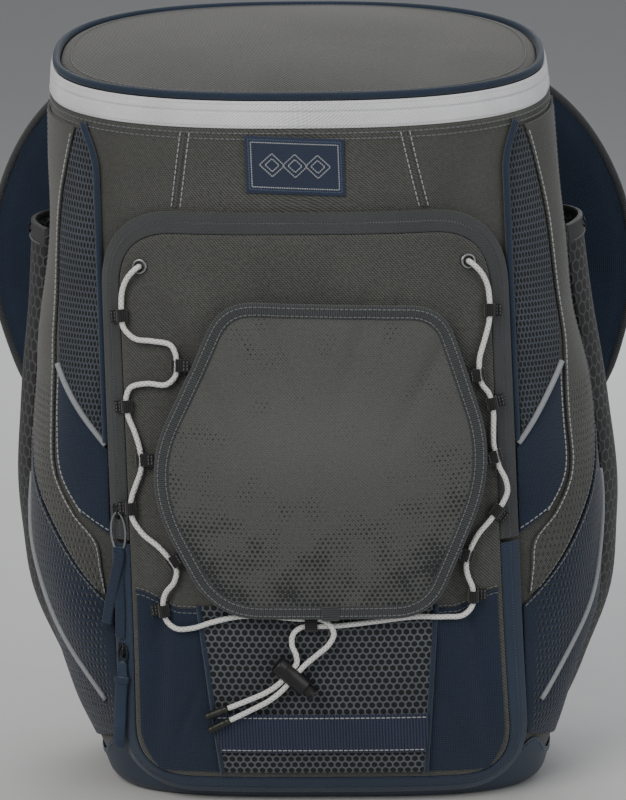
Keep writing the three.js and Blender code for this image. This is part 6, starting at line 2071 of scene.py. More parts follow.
@dataclass
class Fittings(Assembly):
    """Eyelets, woven loops and the cord lock."""

    hole: float = 0.00265
    wall: float = 0.0010
    width: float = 0.008
    tab: float = 0.009
    eyelet_outer: float = 0.005
    eyelet_inner: float = 0.003
    eyelet_height: float = 0.0015
    seat: float = 0.0003
    lock_across: float = -0.018
    lock_up: float = 0.093
    lock_lift: float = 0.0086
    lock_angle: float = -42.0
    lock_length: float = 0.024
    lock_diameter: float = 0.012
    slot_length: float = 0.0094
    slot_depth: float = 0.0044
    plunger_diameter: float = 0.008
    travel: float = 0.0035
    show: float = 0.007
    flange: float = 0.011
    flange_thickness: float = 0.0015
    floor: float = 0.002

    def frame_at(self, across: float, up: float, lift: float, degrees: float
                 ) -> tuple[Array, Array, Array, Array]:
        """Origin, lengthwise, outward and sideways on the pocket's face.

        Args:
            across: Distance across.
            up: Height.
            lift: Height over the face.
            degrees: The way lengthwise, from level.

        Returns:
            The origin and three unit vectors.
        """
        c, s = math.cos(math.radians(degrees)), math.sin(math.radians(degrees))
        step = 0.002
        ends = [POCKET.on(across + k * step * c, up + k * step * s, lift) for k in (1, -1)]
        lengthwise = unit(ends[0] - ends[1])
        sideways = unit(np.cross(POCKET.outward(across, up), lengthwise))
        return POCKET.on(across, up, lift), lengthwise, np.cross(lengthwise, sideways), sideways

    def loop(self, name: str, rows: Array, i: int, hand: int, to_panel: bool) -> None:
        """Flat tape round the cord, its two ends sewn down together on one side."""
        way = math.degrees(math.atan2(rows[i + 1, 1] - rows[i - 1, 1],
                                      rows[i + 1, 0] - rows[i - 1, 0]))
        origin, lengthwise, outward, sideways = self.frame_at(*rows[i], way)
        outboard = sideways[0] * hand > 0
        side = -1 if outboard == to_panel else 1
        high = 1 if to_panel else -1
        mid = self.hole + self.wall / 2
        level = high * mid
        turn = np.linspace(math.pi / 2, -1.35 * math.pi, 34)
        arc = np.stack([side * mid * np.cos(turn), high * mid * np.sin(turn)], 1)
        tail = np.array([[side * self.tab, level], [side * self.tab * 0.6, level],
                         [side * self.hole * 0.5, level]])
        line = evenly(np.vstack([tail, arc]), 60)
        half = self.width / 2
        path = origin + line[:, :1] * sideways + line[:, 1:] * outward
        bulge = band_profile(self.width, self.wall * 0.92, 0.45)
        piece = profile_object(name + "_tape", bulge, path,
                               np.cross(np.gradient(path, axis=0), lengthwise))
        self.keep(piece, Cloth.LOOP, "loop", [name])
        rows_of = []
        for x in (side * self.tab * 0.62, side * self.tab * 0.86):
            z = np.linspace(-half * 0.8, half * 0.8, 12)[:, None]
            spot = (origin + x * sideways + (level + self.wall * 0.55) * outward
                    + z * lengthwise)
            rows_of.append((spot, outward))
        self.keep(stitches(name + "_stitches", rows_of, 0.0018, 0.0006, 0.0003),
                  Cloth.GREY_THREAD, "loop")

    def loops(self) -> None:
        """Seven loops a side and the wide one at the foot of the panel."""
        for name, hand in HANDS.items():
            rows = LACING.rows(name)
            for k, i in enumerate(LACING.edge_loops[name], 1):
                self.loop(f"pocket_loop_{name}{k}", rows, i, hand, False)
            for k, i in enumerate(LACING.panel_loops[name], 1):
                self.loop(f"panel_loop_{name}{k}", rows, i, hand, True)
        origin, lengthwise, outward, sideways = self.frame_at(-0.004, (0.1295 + 0.1246) / 2,
                                                              0.0039, 0.0)
        reach, mid = (0.1295 - 0.1246) / 2, self.hole + self.wall / 2
        turn = np.linspace(-math.pi / 2, math.pi / 2, 20)
        right = np.stack([reach + mid * np.cos(turn), mid * np.sin(turn)], 1)
        line = evenly(np.vstack([right, -right]), 70, closed=True)
        path = origin + line[:, :1] * sideways + line[:, 1:] * outward
        ways = np.cross(np.roll(path, -1, 0) - np.roll(path, 1, 0), lengthwise)
        piece = profile_object("panel_loop_middle_tape", band_profile(self.width,
                               self.wall * 0.92, 0.45), path, ways, closed=True)
        self.keep(piece, Cloth.LOOP, "loop", ["panel_loop_middle"])

    def eyelets(self) -> None:
        """Rolled eyelet where each cord leaves the pocket, and the dark inside of it."""
        for name in HANDS:
            row = LACING.rows(name)[0]
            spot = POCKET.on(row[0], row[1], self.seat)
            way = POCKET.outward(row[0], row[1])
            self.keep(grommet(f"eyelet_{name}_rolled", spot, way, UP, self.eyelet_outer,
                              self.eyelet_inner, self.eyelet_height),
                      Cloth.STEEL, "steel", [f"eyelet_{name}"])

    def rod(self, name: str, frame_of: tuple, profile: list[tuple[float, float]], sides: int = 48
            ) -> bpy.types.Object:
        """Closed turned form about the lock's axis.

        Args:
            name: Name of the piece.
            frame_of: Origin and ways of the lock.
            profile: Place along the axis and radius, the outer face forwards.
            sides: Corners round.

        Returns:
            The form.
        """
        origin, lengthwise, outward, sideways = frame_of
        angle = np.arange(sides) * 2 * math.pi / sides
        spokes = outward[None] * np.cos(angle)[:, None] - sideways[None] * np.sin(angle)[:, None]
        place = np.array(profile)
        points = (origin + place[:, :1, None] * lengthwise[None, None]
                  + place[:, 1:, None] * spokes[None])
        return grid_object(name, points[:, ::-1], None, around=True, fans=(True, True))

    def cut(self, piece: bpy.types.Object, frame_of: tuple, low: float, high: float) -> None:
        """Cuts the slot for the cords across a piece with a slim box.

        Args:
            piece: The piece.
            frame_of: Origin and ways of the lock.
            low: Where the slot starts along the axis.
            high: Where it ends.
        """
        origin, lengthwise, outward, sideways = frame_of
        u = np.linspace(-1, 1, 2)
        box = band_profile(high - low, self.slot_depth, 0.35, 6)
        wide = self.lock_diameter * 1.2
        line = origin + (low + high) / 2 * lengthwise + u[:, None] * wide * sideways
        cutter = profile_object("slot_cutter", box, line, outward)
        piece_cut = piece.modifiers.new("slot", "BOOLEAN")
        piece_cut.operation, piece_cut.solver, piece_cut.object = "DIFFERENCE", "EXACT", cutter
        mesh = applied(piece)
        piece.modifiers.clear()
        piece.data = mesh
        bpy.data.objects.remove(cutter)

    def lock(self) -> None:
        """Barrel with a bored end, and the plunger with its flange, both slotted."""
        frame_of = self.frame_at(self.lock_across, self.lock_up, self.lock_lift, self.lock_angle)
        end, r, bore = self.lock_length / 2, self.lock_diameter / 2, self.plunger_diameter / 2
        bore += self.seat
        ribs = [(x, r * (1 - 0.045 * (k % 2))) for k, x in
                enumerate(np.linspace(-end * 0.86, -end * 0.52, 7))]
        barrel = self.rod("cord_lock_barrel_moulded", frame_of, [
            (-end, r * 0.5), (-end, r * 0.86), (-end + 0.0004, r * 0.94), (-end + 0.0010, r)]
            + ribs + [(0, r), (end - 0.0010, r), (end - 0.0004, r * 0.96), (end, r * 0.9),
                      (end, bore + 0.0003), (end - 0.0003, bore),
                      (-end + self.floor, bore), (-end + self.floor, bore * 0.5)])
        self.cut(barrel, frame_of, -self.slot_length / 2, self.slot_length / 2)
        self.keep(barrel, Cloth.MOULDED, "moulded", ["cord_lock_barrel"])
        start = -end + self.floor + self.travel + self.seat
        tip, p, f = end + self.show, self.plunger_diameter / 2, self.flange / 2
        base = tip - self.flange_thickness
        plunger = self.rod("cord_lock_plunger_moulded", frame_of, [
            (start, p * 0.5), (start, p * 0.9), (start + 0.0004, p), (0, p),
            (base - 0.0004, p), (base, p * 1.06), (base, f * 0.94), (base + 0.0003, f),
            (tip - 0.0004, f), (tip - 0.0001, f * 0.93), (tip, f * 0.82),
            (tip - 0.0003, f * 0.55), (tip - 0.0003, f * 0.3)])
        self.cut(plunger, frame_of, -self.slot_length / 2 + self.seat,
                 self.slot_length / 2 - self.seat + self.travel)
        self.keep(plunger, Cloth.MOULDED, "moulded", ["cord_lock_plunger"], "lock_plunger")

    def build(self) -> None:
        """Makes and dresses the fittings."""
        self.eyelets()
        self.loops()
        self.lock()


@dataclass
class Pulls(Assembly):
    """Zip sliders and their pulls, over the left side of the pocket's zip."""

    stand: float = 0.0106
    gap: float = 0.0006
    middle: float = 0.0061
    upper: float = 0.190
    lower: float = 0.093
    plate: float = 0.0047
    wire: float = 0.0009
    ring_wide: float = 0.0043
    ring_long: float = 0.0125
    link: float = 0.0008
    link_wide: float = 0.0026
    link_long: float = 0.0062
    tape: float = 0.0064
    tape_thickness: float = 0.0015
    rubber: float = 0.0042
    collar: float = 0.0051

    def on_zip(self, aside: Array, up: Array, out: Array) -> Array:
        """Point over the left zip: distance out from the pocket, height, height over it."""
        aside, up, out = np.broadcast_arrays(*(np.asarray(a, float) for a in (aside, up, out)))
        across = -(POCKET.half_width(up) + self.gap + aside)
        return BODY.on_front(across, up, self.stand + out)

    def way(self, aside: Array, up: Array) -> Array:
        """Way outwards from the zip."""
        return unit(self.on_zip(aside, up, 0.005) - self.on_zip(aside, up, 0.0))

    def slider(self, name: str, up: float) -> None:
        """Slider on the coil: a wedge-shaped plate with a bridge over it."""
        t = np.linspace(0, 1, 17)
        radius = self.plate * np.clip(1 - np.abs(2 * t - 1)**5, 0.02, 1)**0.5 * (1 - 0.22 * t)
        line = self.on_zip(self.middle, up + 0.0055 - 0.011 * t, -0.0030)
        facing = self.way(self.middle, up)
        plate = tube_object(f"slider_{name}_plate", line, radius, 24, facing=facing, flat=0.34)
        self.keep(plate, Cloth.DARK_STEEL, "steel")
        angle = np.linspace(0, math.pi, 17)
        line = self.on_zip(self.middle, up + 0.0040 * np.cos(angle),
                           -0.0022 + 0.0036 * np.sin(angle))
        bridge = tube_object(f"slider_{name}_bridge", line, self.wire, 10, facing=BACK + 2 * UP)
        self.keep(bridge, Cloth.DARK_STEEL, "steel")

    def upper_pull(self) -> None:
        """Oval ring in the slider's bridge, with a navy tape folded through it."""
        self.slider("upper", self.upper + 0.004)
        angle = np.linspace(0, 2 * math.pi, 49)[:-1]
        line = self.on_zip(self.middle + self.ring_wide * np.sin(angle),
                           self.upper - 0.0085 + self.ring_long * np.cos(angle),
                           0.0006 + 0.0004 * np.cos(angle))
        ring = tube_object("pull_ring", line, self.wire, 10, closed=True,
                           facing=self.way(self.middle, self.upper))
        self.keep(ring, Cloth.STEEL, "steel")
        rows = (((0.0058, 0.170, 0.0022), (0.0058, 0.1665, 0.0024), (0.0090, 0.152, 0.0020),
                 (0.0130, 0.136, 0.0008), (0.0160, 0.121, -0.0006)),
                ((0.0066, 0.170, -0.0006), (0.0068, 0.1665, -0.0004), (0.0072, 0.150, 0.0002),
                 (0.0070, 0.130, 0.0004), (0.0078, 0.112, 0.0002)))
        folded = band_profile(self.tape, self.tape_thickness, 0.45)
        for k, row in enumerate(rows):
            route = through(np.array(row), 12)
            line = self.on_zip(route[:, 0], route[:, 1], route[:, 2])
            tail = profile_object(f"pull_tail_{k + 1}", folded, line,
                                  self.way(route[:, 0], route[:, 1]))
            self.keep(tail, Cloth.WEBBING_FINE, "pull")
        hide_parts("zip_pull_upper")
        turn = np.linspace(0, math.pi, 15)
        line = self.on_zip(0.0062, 0.1695 + 0.0016 * np.sin(turn), 0.0009 + 0.0015 * np.cos(turn))
        bend = profile_object("pull_fold", folded, line,
                              np.cross(np.gradient(line, axis=0), np.array([1.0, 0, 0])))
        self.keep(bend, Cloth.WEBBING_FINE, "pull")

    def lower_pull(self) -> None:
        """Moulded rubber pull with a collar and finger grooves, on its slider."""
        self.slider("lower", self.lower + 0.010)
        t = np.linspace(0, 1, 90)
        route = through(np.array([(0.0061, 0.0975, 0.0016), (0.0064, 0.088, 0.0022),
                                  (0.0076, 0.070, 0.0020), (0.0084, 0.052, 0.0018),
                                  (0.0092, 0.038, 0.0016)]), 24)
        route = evenly(route, 90)
        line = self.on_zip(route[:, 0], route[:, 1], route[:, 2])
        ends = np.sqrt(np.clip(1 - np.abs(2 * t - 1)**16, 0.0004, 1))
        neck = 1 - 0.25 * (1 - smoothstep(t, 0.10, 0.20))
        grooves = 1 - 0.07 * np.clip(np.sin((t - 0.62) * 130), 0, 1) * (t > 0.62) * (t < 0.93)
        radius = self.rubber * ends * neck * grooves
        pull = tube_object("zip_pull_lower_moulded", line, radius, 24,
                           facing=self.way(route[:, 0], route[:, 1]), flat=0.42)
        self.keep(pull, Cloth.RUBBER, "pull", ["zip_pull_lower"])
        at = evenly(line[14:24], 16)
        collar = np.sqrt(np.clip(1 - np.abs(np.linspace(-1, 1, 16))**6, 0.01, 1))
        self.keep(tube_object("zip_pull_collar", at, self.collar * collar, 24,
                              facing=self.way(route[18, 0], route[18, 1]), flat=0.52),
                  Cloth.RUBBER, "pull")
        angle = np.linspace(0, 2 * math.pi, 33)[:-1]
        loop = self.on_zip(self.middle + self.link_wide * np.sin(angle),
                           self.lower + 0.0080 + self.link_long * np.cos(angle), self.link)
        self.keep(tube_object("pull_link", loop, self.link, 8, closed=True,
                              facing=self.way(self.middle, self.lower)), Cloth.DARK_STEEL, "steel")

    def build(self) -> None:
        """Makes and dresses both pulls."""
        self.upper_pull()
        self.lower_pull()


def applied(piece: bpy.types.Object) -> bpy.types.Mesh:
    """Mesh of a piece as its modifiers leave it, now."""
    graph = bpy.context.evaluated_depsgraph_get()
    return bpy.data.meshes.new_from_object(piece.evaluated_get(graph))


def positions(piece: bpy.types.Object) -> Array:
    """Points of a piece's mesh as one array."""
    values = np.zeros(len(piece.data.vertices) * 3)
    piece.data.vertices.foreach_get("co", values)
    return values.reshape(-1, 3)


def puffed(piece: bpy.types.Object, voxel: float, pressure: float, cap: float,
           held: Callable[[Array], Array], place: Callable[[Array], Array],
           pressed: Callable[[Array], Array]) -> None:
    """Fills a closed form as padding fills its cover.

    The form is remeshed in even cells. Pressure inside blows the free part outwards in a cloth
    simulation of 20 frames without gravity, and no point goes further than the cap. Then the
    seams are pressed in and the places on the cloth are made anew.

    Args:
        piece: The form.
        voxel: Size of the cells.
        pressure: Pressure inside.
        cap: The furthest a point may move.
        held: Says of points whether they are held.
        place: Gives the places on the cloth for points.
        pressed: Gives the points with their seams pressed in.
    """
    remesh = piece.modifiers.new("remesh", "REMESH")
    remesh.mode, remesh.voxel_size, remesh.use_smooth_shade = "VOXEL", voxel, True
    mesh = applied(piece)
    piece.modifiers.clear()
    piece.data = mesh
    rest = positions(piece)
    moved = rest
    group = piece.vertex_groups.new(name="held")
    group.add(np.flatnonzero(held(rest)).tolist(), 1.0, "REPLACE")
    cloth = piece.modifiers.new("cloth", "CLOTH")
    cloth.settings.use_pressure = True
    cloth.settings.uniform_pressure_force = pressure
    cloth.settings.effector_weights.gravity = 0.0
    cloth.settings.vertex_group_mass = "held"
    cloth.settings.quality = 4
    cloth.settings.mass = 0.2
    cloth.point_cache.frame_start, cloth.point_cache.frame_end = 1, 20
    for step in range(1, 21):
        bpy.context.scene.frame_set(step)
    result = applied(piece)
    values = np.zeros(len(result.vertices) * 3)
    result.vertices.foreach_get("co", values)
    bpy.data.meshes.remove(result)
    bpy.context.scene.frame_set(1)
    piece.modifiers.clear()
    piece.vertex_groups.clear()
    step = values.reshape(-1, 3) - rest
    length = np.linalg.norm(step, axis=1, keepdims=True)
    moved = rest + step * np.minimum(1, cap / np.maximum(length, 1e-9))
    LOG.info("%s: filled, moved up to %.1f mm", piece.name, 1000 * min(length.max(), cap))
    moved = pressed(moved)
    piece.data.vertices.foreach_set("co", moved.ravel())
    corners = np.zeros(len(piece.data.loops), int)
    piece.data.loops.foreach_get("vertex_index", corners)
    layer = piece.data.uv_layers.new(name="UVMap")
    layer.data.foreach_set("uv", place(moved)[corners].ravel())
    piece.data.update()
    soft = piece.modifiers.new("soft", "SUBSURF")
    soft.levels = soft.render_levels = 1


def hung(x: float, y: float, z: float) -> Array:
    """Point that leans with the body, in the frame."""
    return np.array([x - BODY.lean * z / BODY.height, y, z]) + SHIFT


@dataclass
class BackPad(Assembly):
    """Padded panel on the back, with its channels and its bound edge."""

    width: float = 0.210
    foot: float = 0.060
    top: float = 0.362
    thickness: float = 0.012
    gap: float = 0.0008
    corner: float = 0.045
    slack: float = 0.0040
    piping: float = 0.0026
    channel: float = 0.0052
    channels: tuple = (0.31, 0.69)

    def outline(self, count: int) -> Array:
        """Outline of the pad, across and up."""
        half = self.width / 2
        return rounded([(-half, self.foot, self.corner), (-half, self.top, self.corner),
                        (half, self.top, self.corner), (half, self.foot, self.corner)], count)

    def on(self, across: Array, up: Array, out: Array) -> Array:
        """Point over the back of the body."""
        share = np.asarray(up, float) / BODY.height
        return BODY.at(2 - BODY.turn_at(across, share), share, out)

    def form(self) -> bpy.types.Object:
        """Pad before it is filled: a lens with its edge drawn in."""
        ring = self.outline(180)
        centre = np.array([0.0, (self.foot + self.top) / 2])
        thick = self.thickness - self.slack
        shares = (0.95, 0.7, 0.4, 0.15)
        steps = [(ring * (1 - share) + centre * share, self.gap) for share in shares]
        steps += [(grown(ring, -0.004 * (1 - math.cos(a))),
                   self.gap + thick / 2 * (1 + math.sin(a)))
                  for a in np.linspace(-math.pi / 2, math.pi / 2, 7)]
        steps += [(ring * (1 - share) + centre * share, self.gap + thick)
                  for share in shares[::-1]]
        rings = [self.on(spot[:, 0], spot[:, 1], out) for spot, out in steps]
        return grid_object("back_pad_mesh", np.array(rings), None, around=True,
                           fans=(True, True))

    def local(self, points: Array) -> tuple[Array, Array]:
        """Distance across and height of points, without the lean."""
        z = points[:, 2] - SHIFT[2]
        return points[:, 0] - SHIFT[0] + BODY.lean * z / BODY.height, z

    def pressed(self, points: Array) -> Array:
        """Presses a middle channel and two cross channels into the outer face."""
        x, z = self.local(points)
        back = self.on(x, np.clip(z, self.foot, self.top), 0.0)[:, 1]
        outer = smoothstep(points[:, 1] - back, 0.004, 0.009)
        lines = np.exp(-(x / self.channel)**2)
        for level in self.channels:
            bow = self.foot + (self.top - self.foot) * level + 0.018 * (np.abs(x) / 0.1)**1.6
            lines = np.maximum(lines, np.exp(-((z - bow) / self.channel)**2))
        result = points.copy()
        result[:, 1] -= self.channel * lines * outer
        return result

    def build(self) -> None:
        """Makes, fills and dresses the pad, and binds its edge."""
        pad = self.form()

        def held(points: Array) -> Array:
            x, z = self.local(points)
            back = self.on(x, np.clip(z, self.foot, self.top), 0.0)[:, 1]
            return points[:, 1] - back < 0.0045

        def place(points: Array) -> Array:
            return points[:, [0, 2]]

        puffed(pad, 0.0045, 4.0, self.slack, held, place, self.pressed)
        self.keep(pad, Cloth.AIR_MESH, "pad", ["back_pad"])
        ring = grown(self.outline(300), 0.0006)
        line = self.on(ring[:, 0], ring[:, 1], self.gap + self.piping)
        edge = tube_object("back_pad_piping", line, self.piping, 12, closed=True, facing=BACK)
        self.keep(edge, Cloth.PIPING, "piping")


@dataclass
class Strap(Assembly):
    """One shoulder strap with its edge, buckle and webbing."""

    name: str
    hand: int
    width: float = 0.062
    thickness: float = 0.010
    root: tuple = (0.052, 0.0986, 0.430)
    reach: float = 0.141
    drop: float = 0.194
    slack: float = 0.0030
    buckle_width: float = 0.035
    buckle_height: float = 0.025
    buckle_rod: float = 0.0024
    buckle_bar: float = 0.0016
    webbing_width: float = 0.025
    webbing: float = 0.0018
    seat: float = 0.0003
    rows: tuple = ((0.00, 0, 0.00), (0.24, 0.014, -0.04), (0.52, 0.033, 0.02),
                   (0.80, 0.048, 0.18), (0.97, 0.053, 0.42), (1.00, 0.048, 0.66),
                   (0.93, 0.038, 0.86), (0.85, 0.030, 1.00))

    def points(self) -> Array:
        """Course of the strap: out, behind and down from its root."""
        x, y, z = self.root
        return np.array([hung(self.hand * (x + self.reach * out), y + behind, z - self.drop * down)
                         for out, behind, down in self.rows])

    def path(self) -> Array:
        """The course with a flat root that lies on the back."""
        x, y, z = self.root
        root = [hung(self.hand * (x - 0.030), y - 0.0056, z - 0.002),
                hung(self.hand * (x - 0.014), y - 0.0046, z - 0.001)]
        return evenly(through(np.vstack([root, self.points()]), 20), 150)

    def section(self, share: Array, thick: float) -> Array:
        """Half thickness along the strap: flat at its root and thinner at its end."""
        return thick / 2 * (0.24 + 0.76 * smoothstep(share, 0.03, 0.16)) * (
            1 - 0.5 * smoothstep(share, 0.94, 1.0))

    def strap(self) -> tuple[bpy.types.Object, Array]:
        """Strap before it is filled, and its path."""
        path = self.path()
        _, side, normal = frames(path, BACK)
        share = np.linspace(0, 1, len(path))
        angle = np.arange(44) * 2 * math.pi / 44
        x = np.sign(np.cos(angle)) * np.abs(np.cos(angle))**0.35
        y = np.sign(np.sin(angle)) * np.abs(np.sin(angle))**0.75
        half = self.section(share, self.thickness - self.slack)
        wide = (self.width / 2 - 0.002) * np.sqrt(np.clip(
            1 - (1 - np.clip(np.minimum(share, 1 - share) / 0.035, 0.0, 1))**2 * 0.35, 0, 1))
        points = (path[:, None] + side[:, None] * (x[None, :, None] * wide[:, None, None])
                  - normal[:, None] * (y[None, :, None] * half[:, None, None]))
        return grid_object(f"shoulder_strap_{self.name}_padded", points, None, around=True,
                           fans=(True, True)), path

    def build_strap(self) -> None:
        """Makes, fills and dresses the strap and its bound edges."""
        piece, path = self.strap()
        tangent, side, normal = frames(path, BACK)
        run = running(path)

        def local(points: Array) -> tuple[Array, Array, Array]:
            gap = np.linalg.norm(points[:, None] - path[None, ::2], axis=2)
            near = np.argmin(gap, axis=1) * 2
            step = points - path[near]
            return (np.einsum("ij,ij->i", step, side[near]), run[near]
                    + np.einsum("ij,ij->i", step, tangent[near]),
                    np.einsum("ij,ij->i", step, normal[near]))

        def held(points: Array) -> Array:
            x, v, _ = local(points)
            return (np.abs(x) > 0.026) | (v < 0.055) | (v > run[-1] - 0.012)

        def place(points: Array) -> Array:
            x, v, _ = local(points)
            return np.stack([x, v], 1)

        def pressed(points: Array) -> Array:
            x, v, y = local(points)
            line = np.exp(-((np.abs(x) - 0.0225) / 0.0030)**2) * smoothstep(v, 0.05, 0.08)
            line = line * (1 - smoothstep(v, run[-1] - 0.03, run[-1] - 0.01))
            near = np.argmin(np.abs(run[None] - v[:, None]), axis=1)
            return points - normal[near] * (np.sign(y) * 0.0012 * line)[:, None]

        puffed(piece, 0.0040, 4.0, self.slack / 2, held, place, pressed)
        self.keep(piece, Cloth.NAVY, "navy", [f"shoulder_strap_{self.name}"])
        share = np.linspace(0, 1, len(path))
        half = self.section(share, self.thickness - self.slack)
        for k, way in enumerate((-1, 1)):
            line = path + side * way * (self.width / 2 - 0.0026)
            inner = slice(2, -2)
            edge = tube_object(f"strap_edge_{self.name}{k + 1}", line[inner],
                               np.clip(half[inner] * 0.8, 0.0011, 0.0027), 12,
                               facing=normal[inner])
            self.keep(edge, Cloth.BINDING, "navy")
        rows = []
        for way in (-1, 1):
            row = path + side * way * 0.0225 + normal * (half * 0.94 + 0.0005)[:, None]
            rows.append((row[20:-12], normal[20:-12]))
        self.keep(stitches(f"strap_stitches_{self.name}", rows), Cloth.GREY_THREAD, "navy")

    def fittings(self) -> None:
        """Ladder-lock buckle, the tab that holds it and the webbing down to the foot."""
        points = self.points()
        end, way = points[-1], unit(points[-1] - points[-2])
        side = unit(np.cross(way, BACK))
        normal = np.cross(side, way)
        radius = self.buckle_rod
        half_x, half_y = self.buckle_width / 2 - radius, self.buckle_height / 2 - radius
        centre = end + way * (self.seat + self.buckle_height / 2)
        ring = rounded([(-half_x, -half_y, 0.004), (-half_x, half_y, 0.004),
                        (half_x, half_y, 0.004), (half_x, -half_y, 0.004)], 90)
        line = centre + ring[:, :1] * side + ring[:, 1:] * way
        frame_piece = tube_object(f"strap_buckle_{self.name}_frame", line, radius, 12,
                                  closed=True, facing=normal, flat=1.15)
        self.keep(frame_piece, Cloth.MOULDED, "moulded", [f"strap_buckle_{self.name}"])
        for k, level in enumerate((-0.0042, 0.0030)):
            reach = np.linspace(-half_x, half_x, 14)[:, None]
            lift = 0.0012 * (1 if k else -1)
            bar = tube_object(f"buckle_bar_{self.name}{k + 1}",
                              centre + reach * side + level * way + lift * normal,
                              self.buckle_bar, 10, facing=normal)
            self.keep(bar, Cloth.MOULDED, "moulded")
        bar_at = end + way * (self.seat + radius)
        turn = np.linspace(math.pi / 2, -math.pi / 2, 13)
        wrap = np.stack([0.0036 * np.cos(turn), 0.0036 * np.sin(turn)], 1)
        tail = np.array([[-0.020, 0.0048], [-0.010, 0.0046], [-0.004, 0.0040]])
        route = evenly(np.vstack([tail, wrap, tail[::-1] * [1, -1]]), 50)
        line = bar_at + route[:, :1] * way + route[:, 1:] * normal
        tape = band_profile(self.webbing_width, self.webbing * 0.8, 0.45)
        tab = profile_object(f"strap_tab_{self.name}", tape, line,
                             np.cross(np.gradient(line, axis=0), side))
        self.keep(tab, Cloth.WEBBING, "webbing")
        share = 0.1
        turn_at = self.hand * (2 - abs(float(BODY.turn_at(2 * self.root[0], share))))
        foot = BODY.at(turn_at, share, 0.0044)
        low = BODY.at(turn_at, share - 0.045, 0.0022)
        start = end + way * (6 * self.seat + self.buckle_height)
        middle = (start + foot) / 2 + BACK * self.webbing_width / 2
        inside = centre + way * 0.0030 + normal * 0.0034
        route = evenly(through(np.array([centre - way * 0.0010 - normal * 0.0014, inside,
                                         start - way * 0.002, middle, foot, low]), 24), 90)
        web = profile_object(f"strap_webbing_{self.name}_woven",
                             band_profile(self.webbing_width, self.webbing, 0.45), route, BACK)
        self.keep(web, Cloth.WEBBING, "webbing", [f"strap_webbing_{self.name}"])
        _, across, outward = frames(route, BACK)
        rows = [(route[-14:-3] + across[-14:-3] * k * 0.009 + outward[-14:-3] * 0.0010,
                 outward[-14:-3]) for k in (-1, 1)]
        self.keep(stitches(f"webbing_tack_{self.name}", rows, 0.0022), Cloth.GREY_THREAD,
                  "webbing")

    def build(self) -> None:
        """Makes and dresses one strap."""
        self.build_strap()
        self.fittings()


@dataclass
class HaulLoop(Assembly):
    """Loop of webbing at the top of the back."""

    half: float = 0.045
    root: float = 0.428
    top: float = 0.484
    depth: float = 0.0903
    band: float = 0.025
    thickness: float = 0.003
    upright: float = 0.022
    shoulder: float = 0.012
    arch: float = 0.007

    def build(self) -> None:
        """Makes and dresses the loop and its stitches."""
        half = [(self.half, 0.0, self.root), (self.half, 0.0, self.root + self.upright),
                (self.half * 0.75, 0.005, self.top - self.shoulder)]
        points = ([hung(-x, self.depth + y, z) for x, y, z in half]
                  + [hung(0, self.depth + self.arch, self.top)]
                  + [hung(x, self.depth + y, z) for x, y, z in half[::-1]])
        path = evenly(through(np.array(points), 24), 110)
        piece = profile_object("haul_loop_woven", band_profile(self.band, self.thickness, 0.48),
                               path, BACK)
        self.keep(piece, Cloth.WEBBING, "webbing", ["haul_loop"])
        _, side, normal = frames(path, BACK)
        lift = normal * (self.thickness / 2 + 0.0001)
        rows = [(path + side * k * (self.band / 2 - 0.002) + lift, normal) for k in (-1, 1)]
        self.keep(stitches("haul_stitches", rows, 0.0032, 0.0008, 0.0004), Cloth.GREY_THREAD,
                  "webbing")


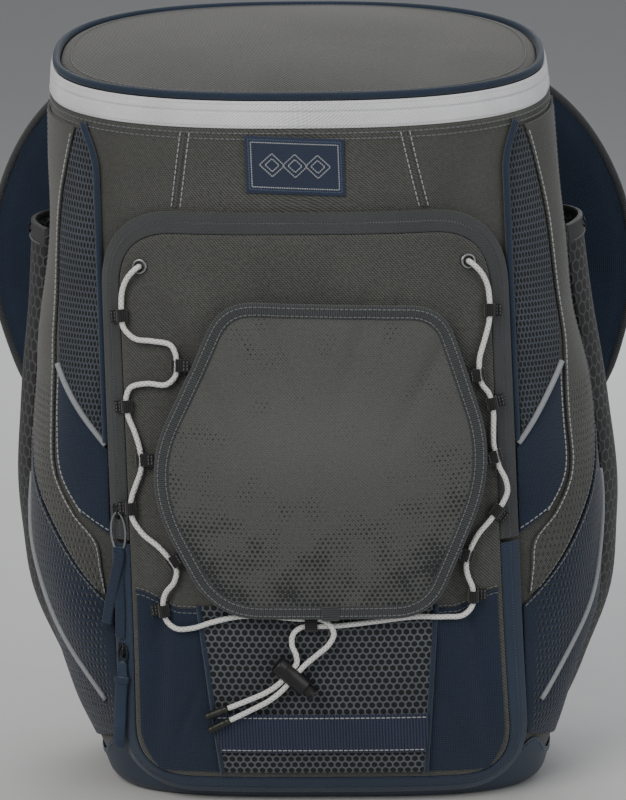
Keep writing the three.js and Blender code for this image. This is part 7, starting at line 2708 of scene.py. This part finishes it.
@dataclass
class Studio:
    """Camera, lights and floor."""

    target: tuple = (0.0035, -0.07151, 0.2585)
    azimuth: float = 1.0
    elevation: float = 12.0
    roll: float = 0.5
    distance: float = 2.2
    focal: float = 3440.0
    longest: float = 800.0
    lamps: tuple = (("key", (-1.3, -2.0, 1.9), 1.6, 44, "#fffaf2"),
                    ("fill", (1.9, -1.6, 0.9), 2.0, 20, "#fbfaf6"),
                    ("top", (0.0, 0.2, 2.2), 1.8, 8, "#ffffff"),
                    ("behind", (0.4, 1.9, 1.2), 1.8, 24, "#ffffff"))
    sky: str = "#e9ebee"
    sky_strength: float = 0.32
    floor_reach: float = 6.0

    def camera(self) -> None:
        """Camera on the photo's line of sight, rolled a little."""
        a, e, r = (math.radians(v) for v in (self.azimuth, self.elevation, self.roll))
        back = np.array([math.sin(a) * math.cos(e), -math.cos(a) * math.cos(e), math.sin(e)])
        level = unit(np.cross(-back, UP))
        high = np.cross(level, -back)
        right = level * math.cos(r) - high * math.sin(r)
        up = high * math.cos(r) + level * math.sin(r)
        data = bpy.data.cameras.new("camera")
        data.sensor_width = 36.0
        data.lens = self.focal / self.longest * data.sensor_width
        data.clip_start, data.clip_end = 0.05, 30.0
        camera = bpy.data.objects.new("camera", data)
        bpy.context.scene.collection.objects.link(camera)
        place = np.eye(4)
        place[:3, 0], place[:3, 1], place[:3, 2] = right, up, back
        place[:3, 3] = np.array(self.target) + back * self.distance
        camera.matrix_world = Matrix(place.tolist())
        bpy.context.scene.camera = camera

    def light(self, name: str, place: tuple, size: float, power: float, colour: str) -> None:
        """Soft square light that looks at the bag."""
        data = bpy.data.lights.new(name, "AREA")
        data.shape, data.size, data.energy = "SQUARE", size, power
        data.color = linear(colour)[:3]
        lamp = bpy.data.objects.new(name, data)
        lamp.location = place
        way = Vector(self.target) - Vector(place)
        lamp.rotation_euler = way.to_track_quat("-Z", "Y").to_euler()
        bpy.context.scene.collection.objects.link(lamp)

    def lights(self) -> None:
        """Key from the upper left, a wide fill from the right, one from above and the sky."""
        for lamp in self.lamps:
            self.light(*lamp)
        world = bpy.data.worlds.new("studio")
        bpy.context.scene.world = world
        world.use_nodes = True
        sky = world.node_tree.nodes.get("Background")
        sky.inputs["Color"].default_value = linear(self.sky)
        sky.inputs["Strength"].default_value = self.sky_strength

    def floor(self) -> None:
        """Plain pale floor."""
        x, y = np.meshgrid(*[np.linspace(-self.floor_reach, self.floor_reach, 3)] * 2)
        floor = grid_object("studio_floor", np.stack([x, y, np.zeros_like(x)], -1))
        floor.data.materials.append(Coated("pale floor", "#c9cacb", "#cdcecf", 0.02, 0.0,
                                           0.8).material())


def main() -> None:
    """Builds the scene, the camera and the cords first."""
    logging.basicConfig(level=logging.INFO, format="%(name)s: %(message)s")
    studio = Studio()
    studio.camera()
    parts: list[Assembly] = [Cords(), BackPad(), Shell(), Lid(), Yoke()]
    parts += [Flank(name, hand) for name, hand in HANDS.items()]
    parts += [Sleeve(name, hand) for name, hand in HANDS.items()]
    parts += [PocketFront(), HelmetPanel(), Fittings(), Pulls()]
    parts += [Strap(name, hand) for name, hand in HANDS.items()]
    parts.append(HaulLoop())
    for part in parts:
        LOG.info("building %s", type(part).__name__)
        part.build()
    studio.lights()
    studio.floor()


if __name__ == "__main__":
    main()
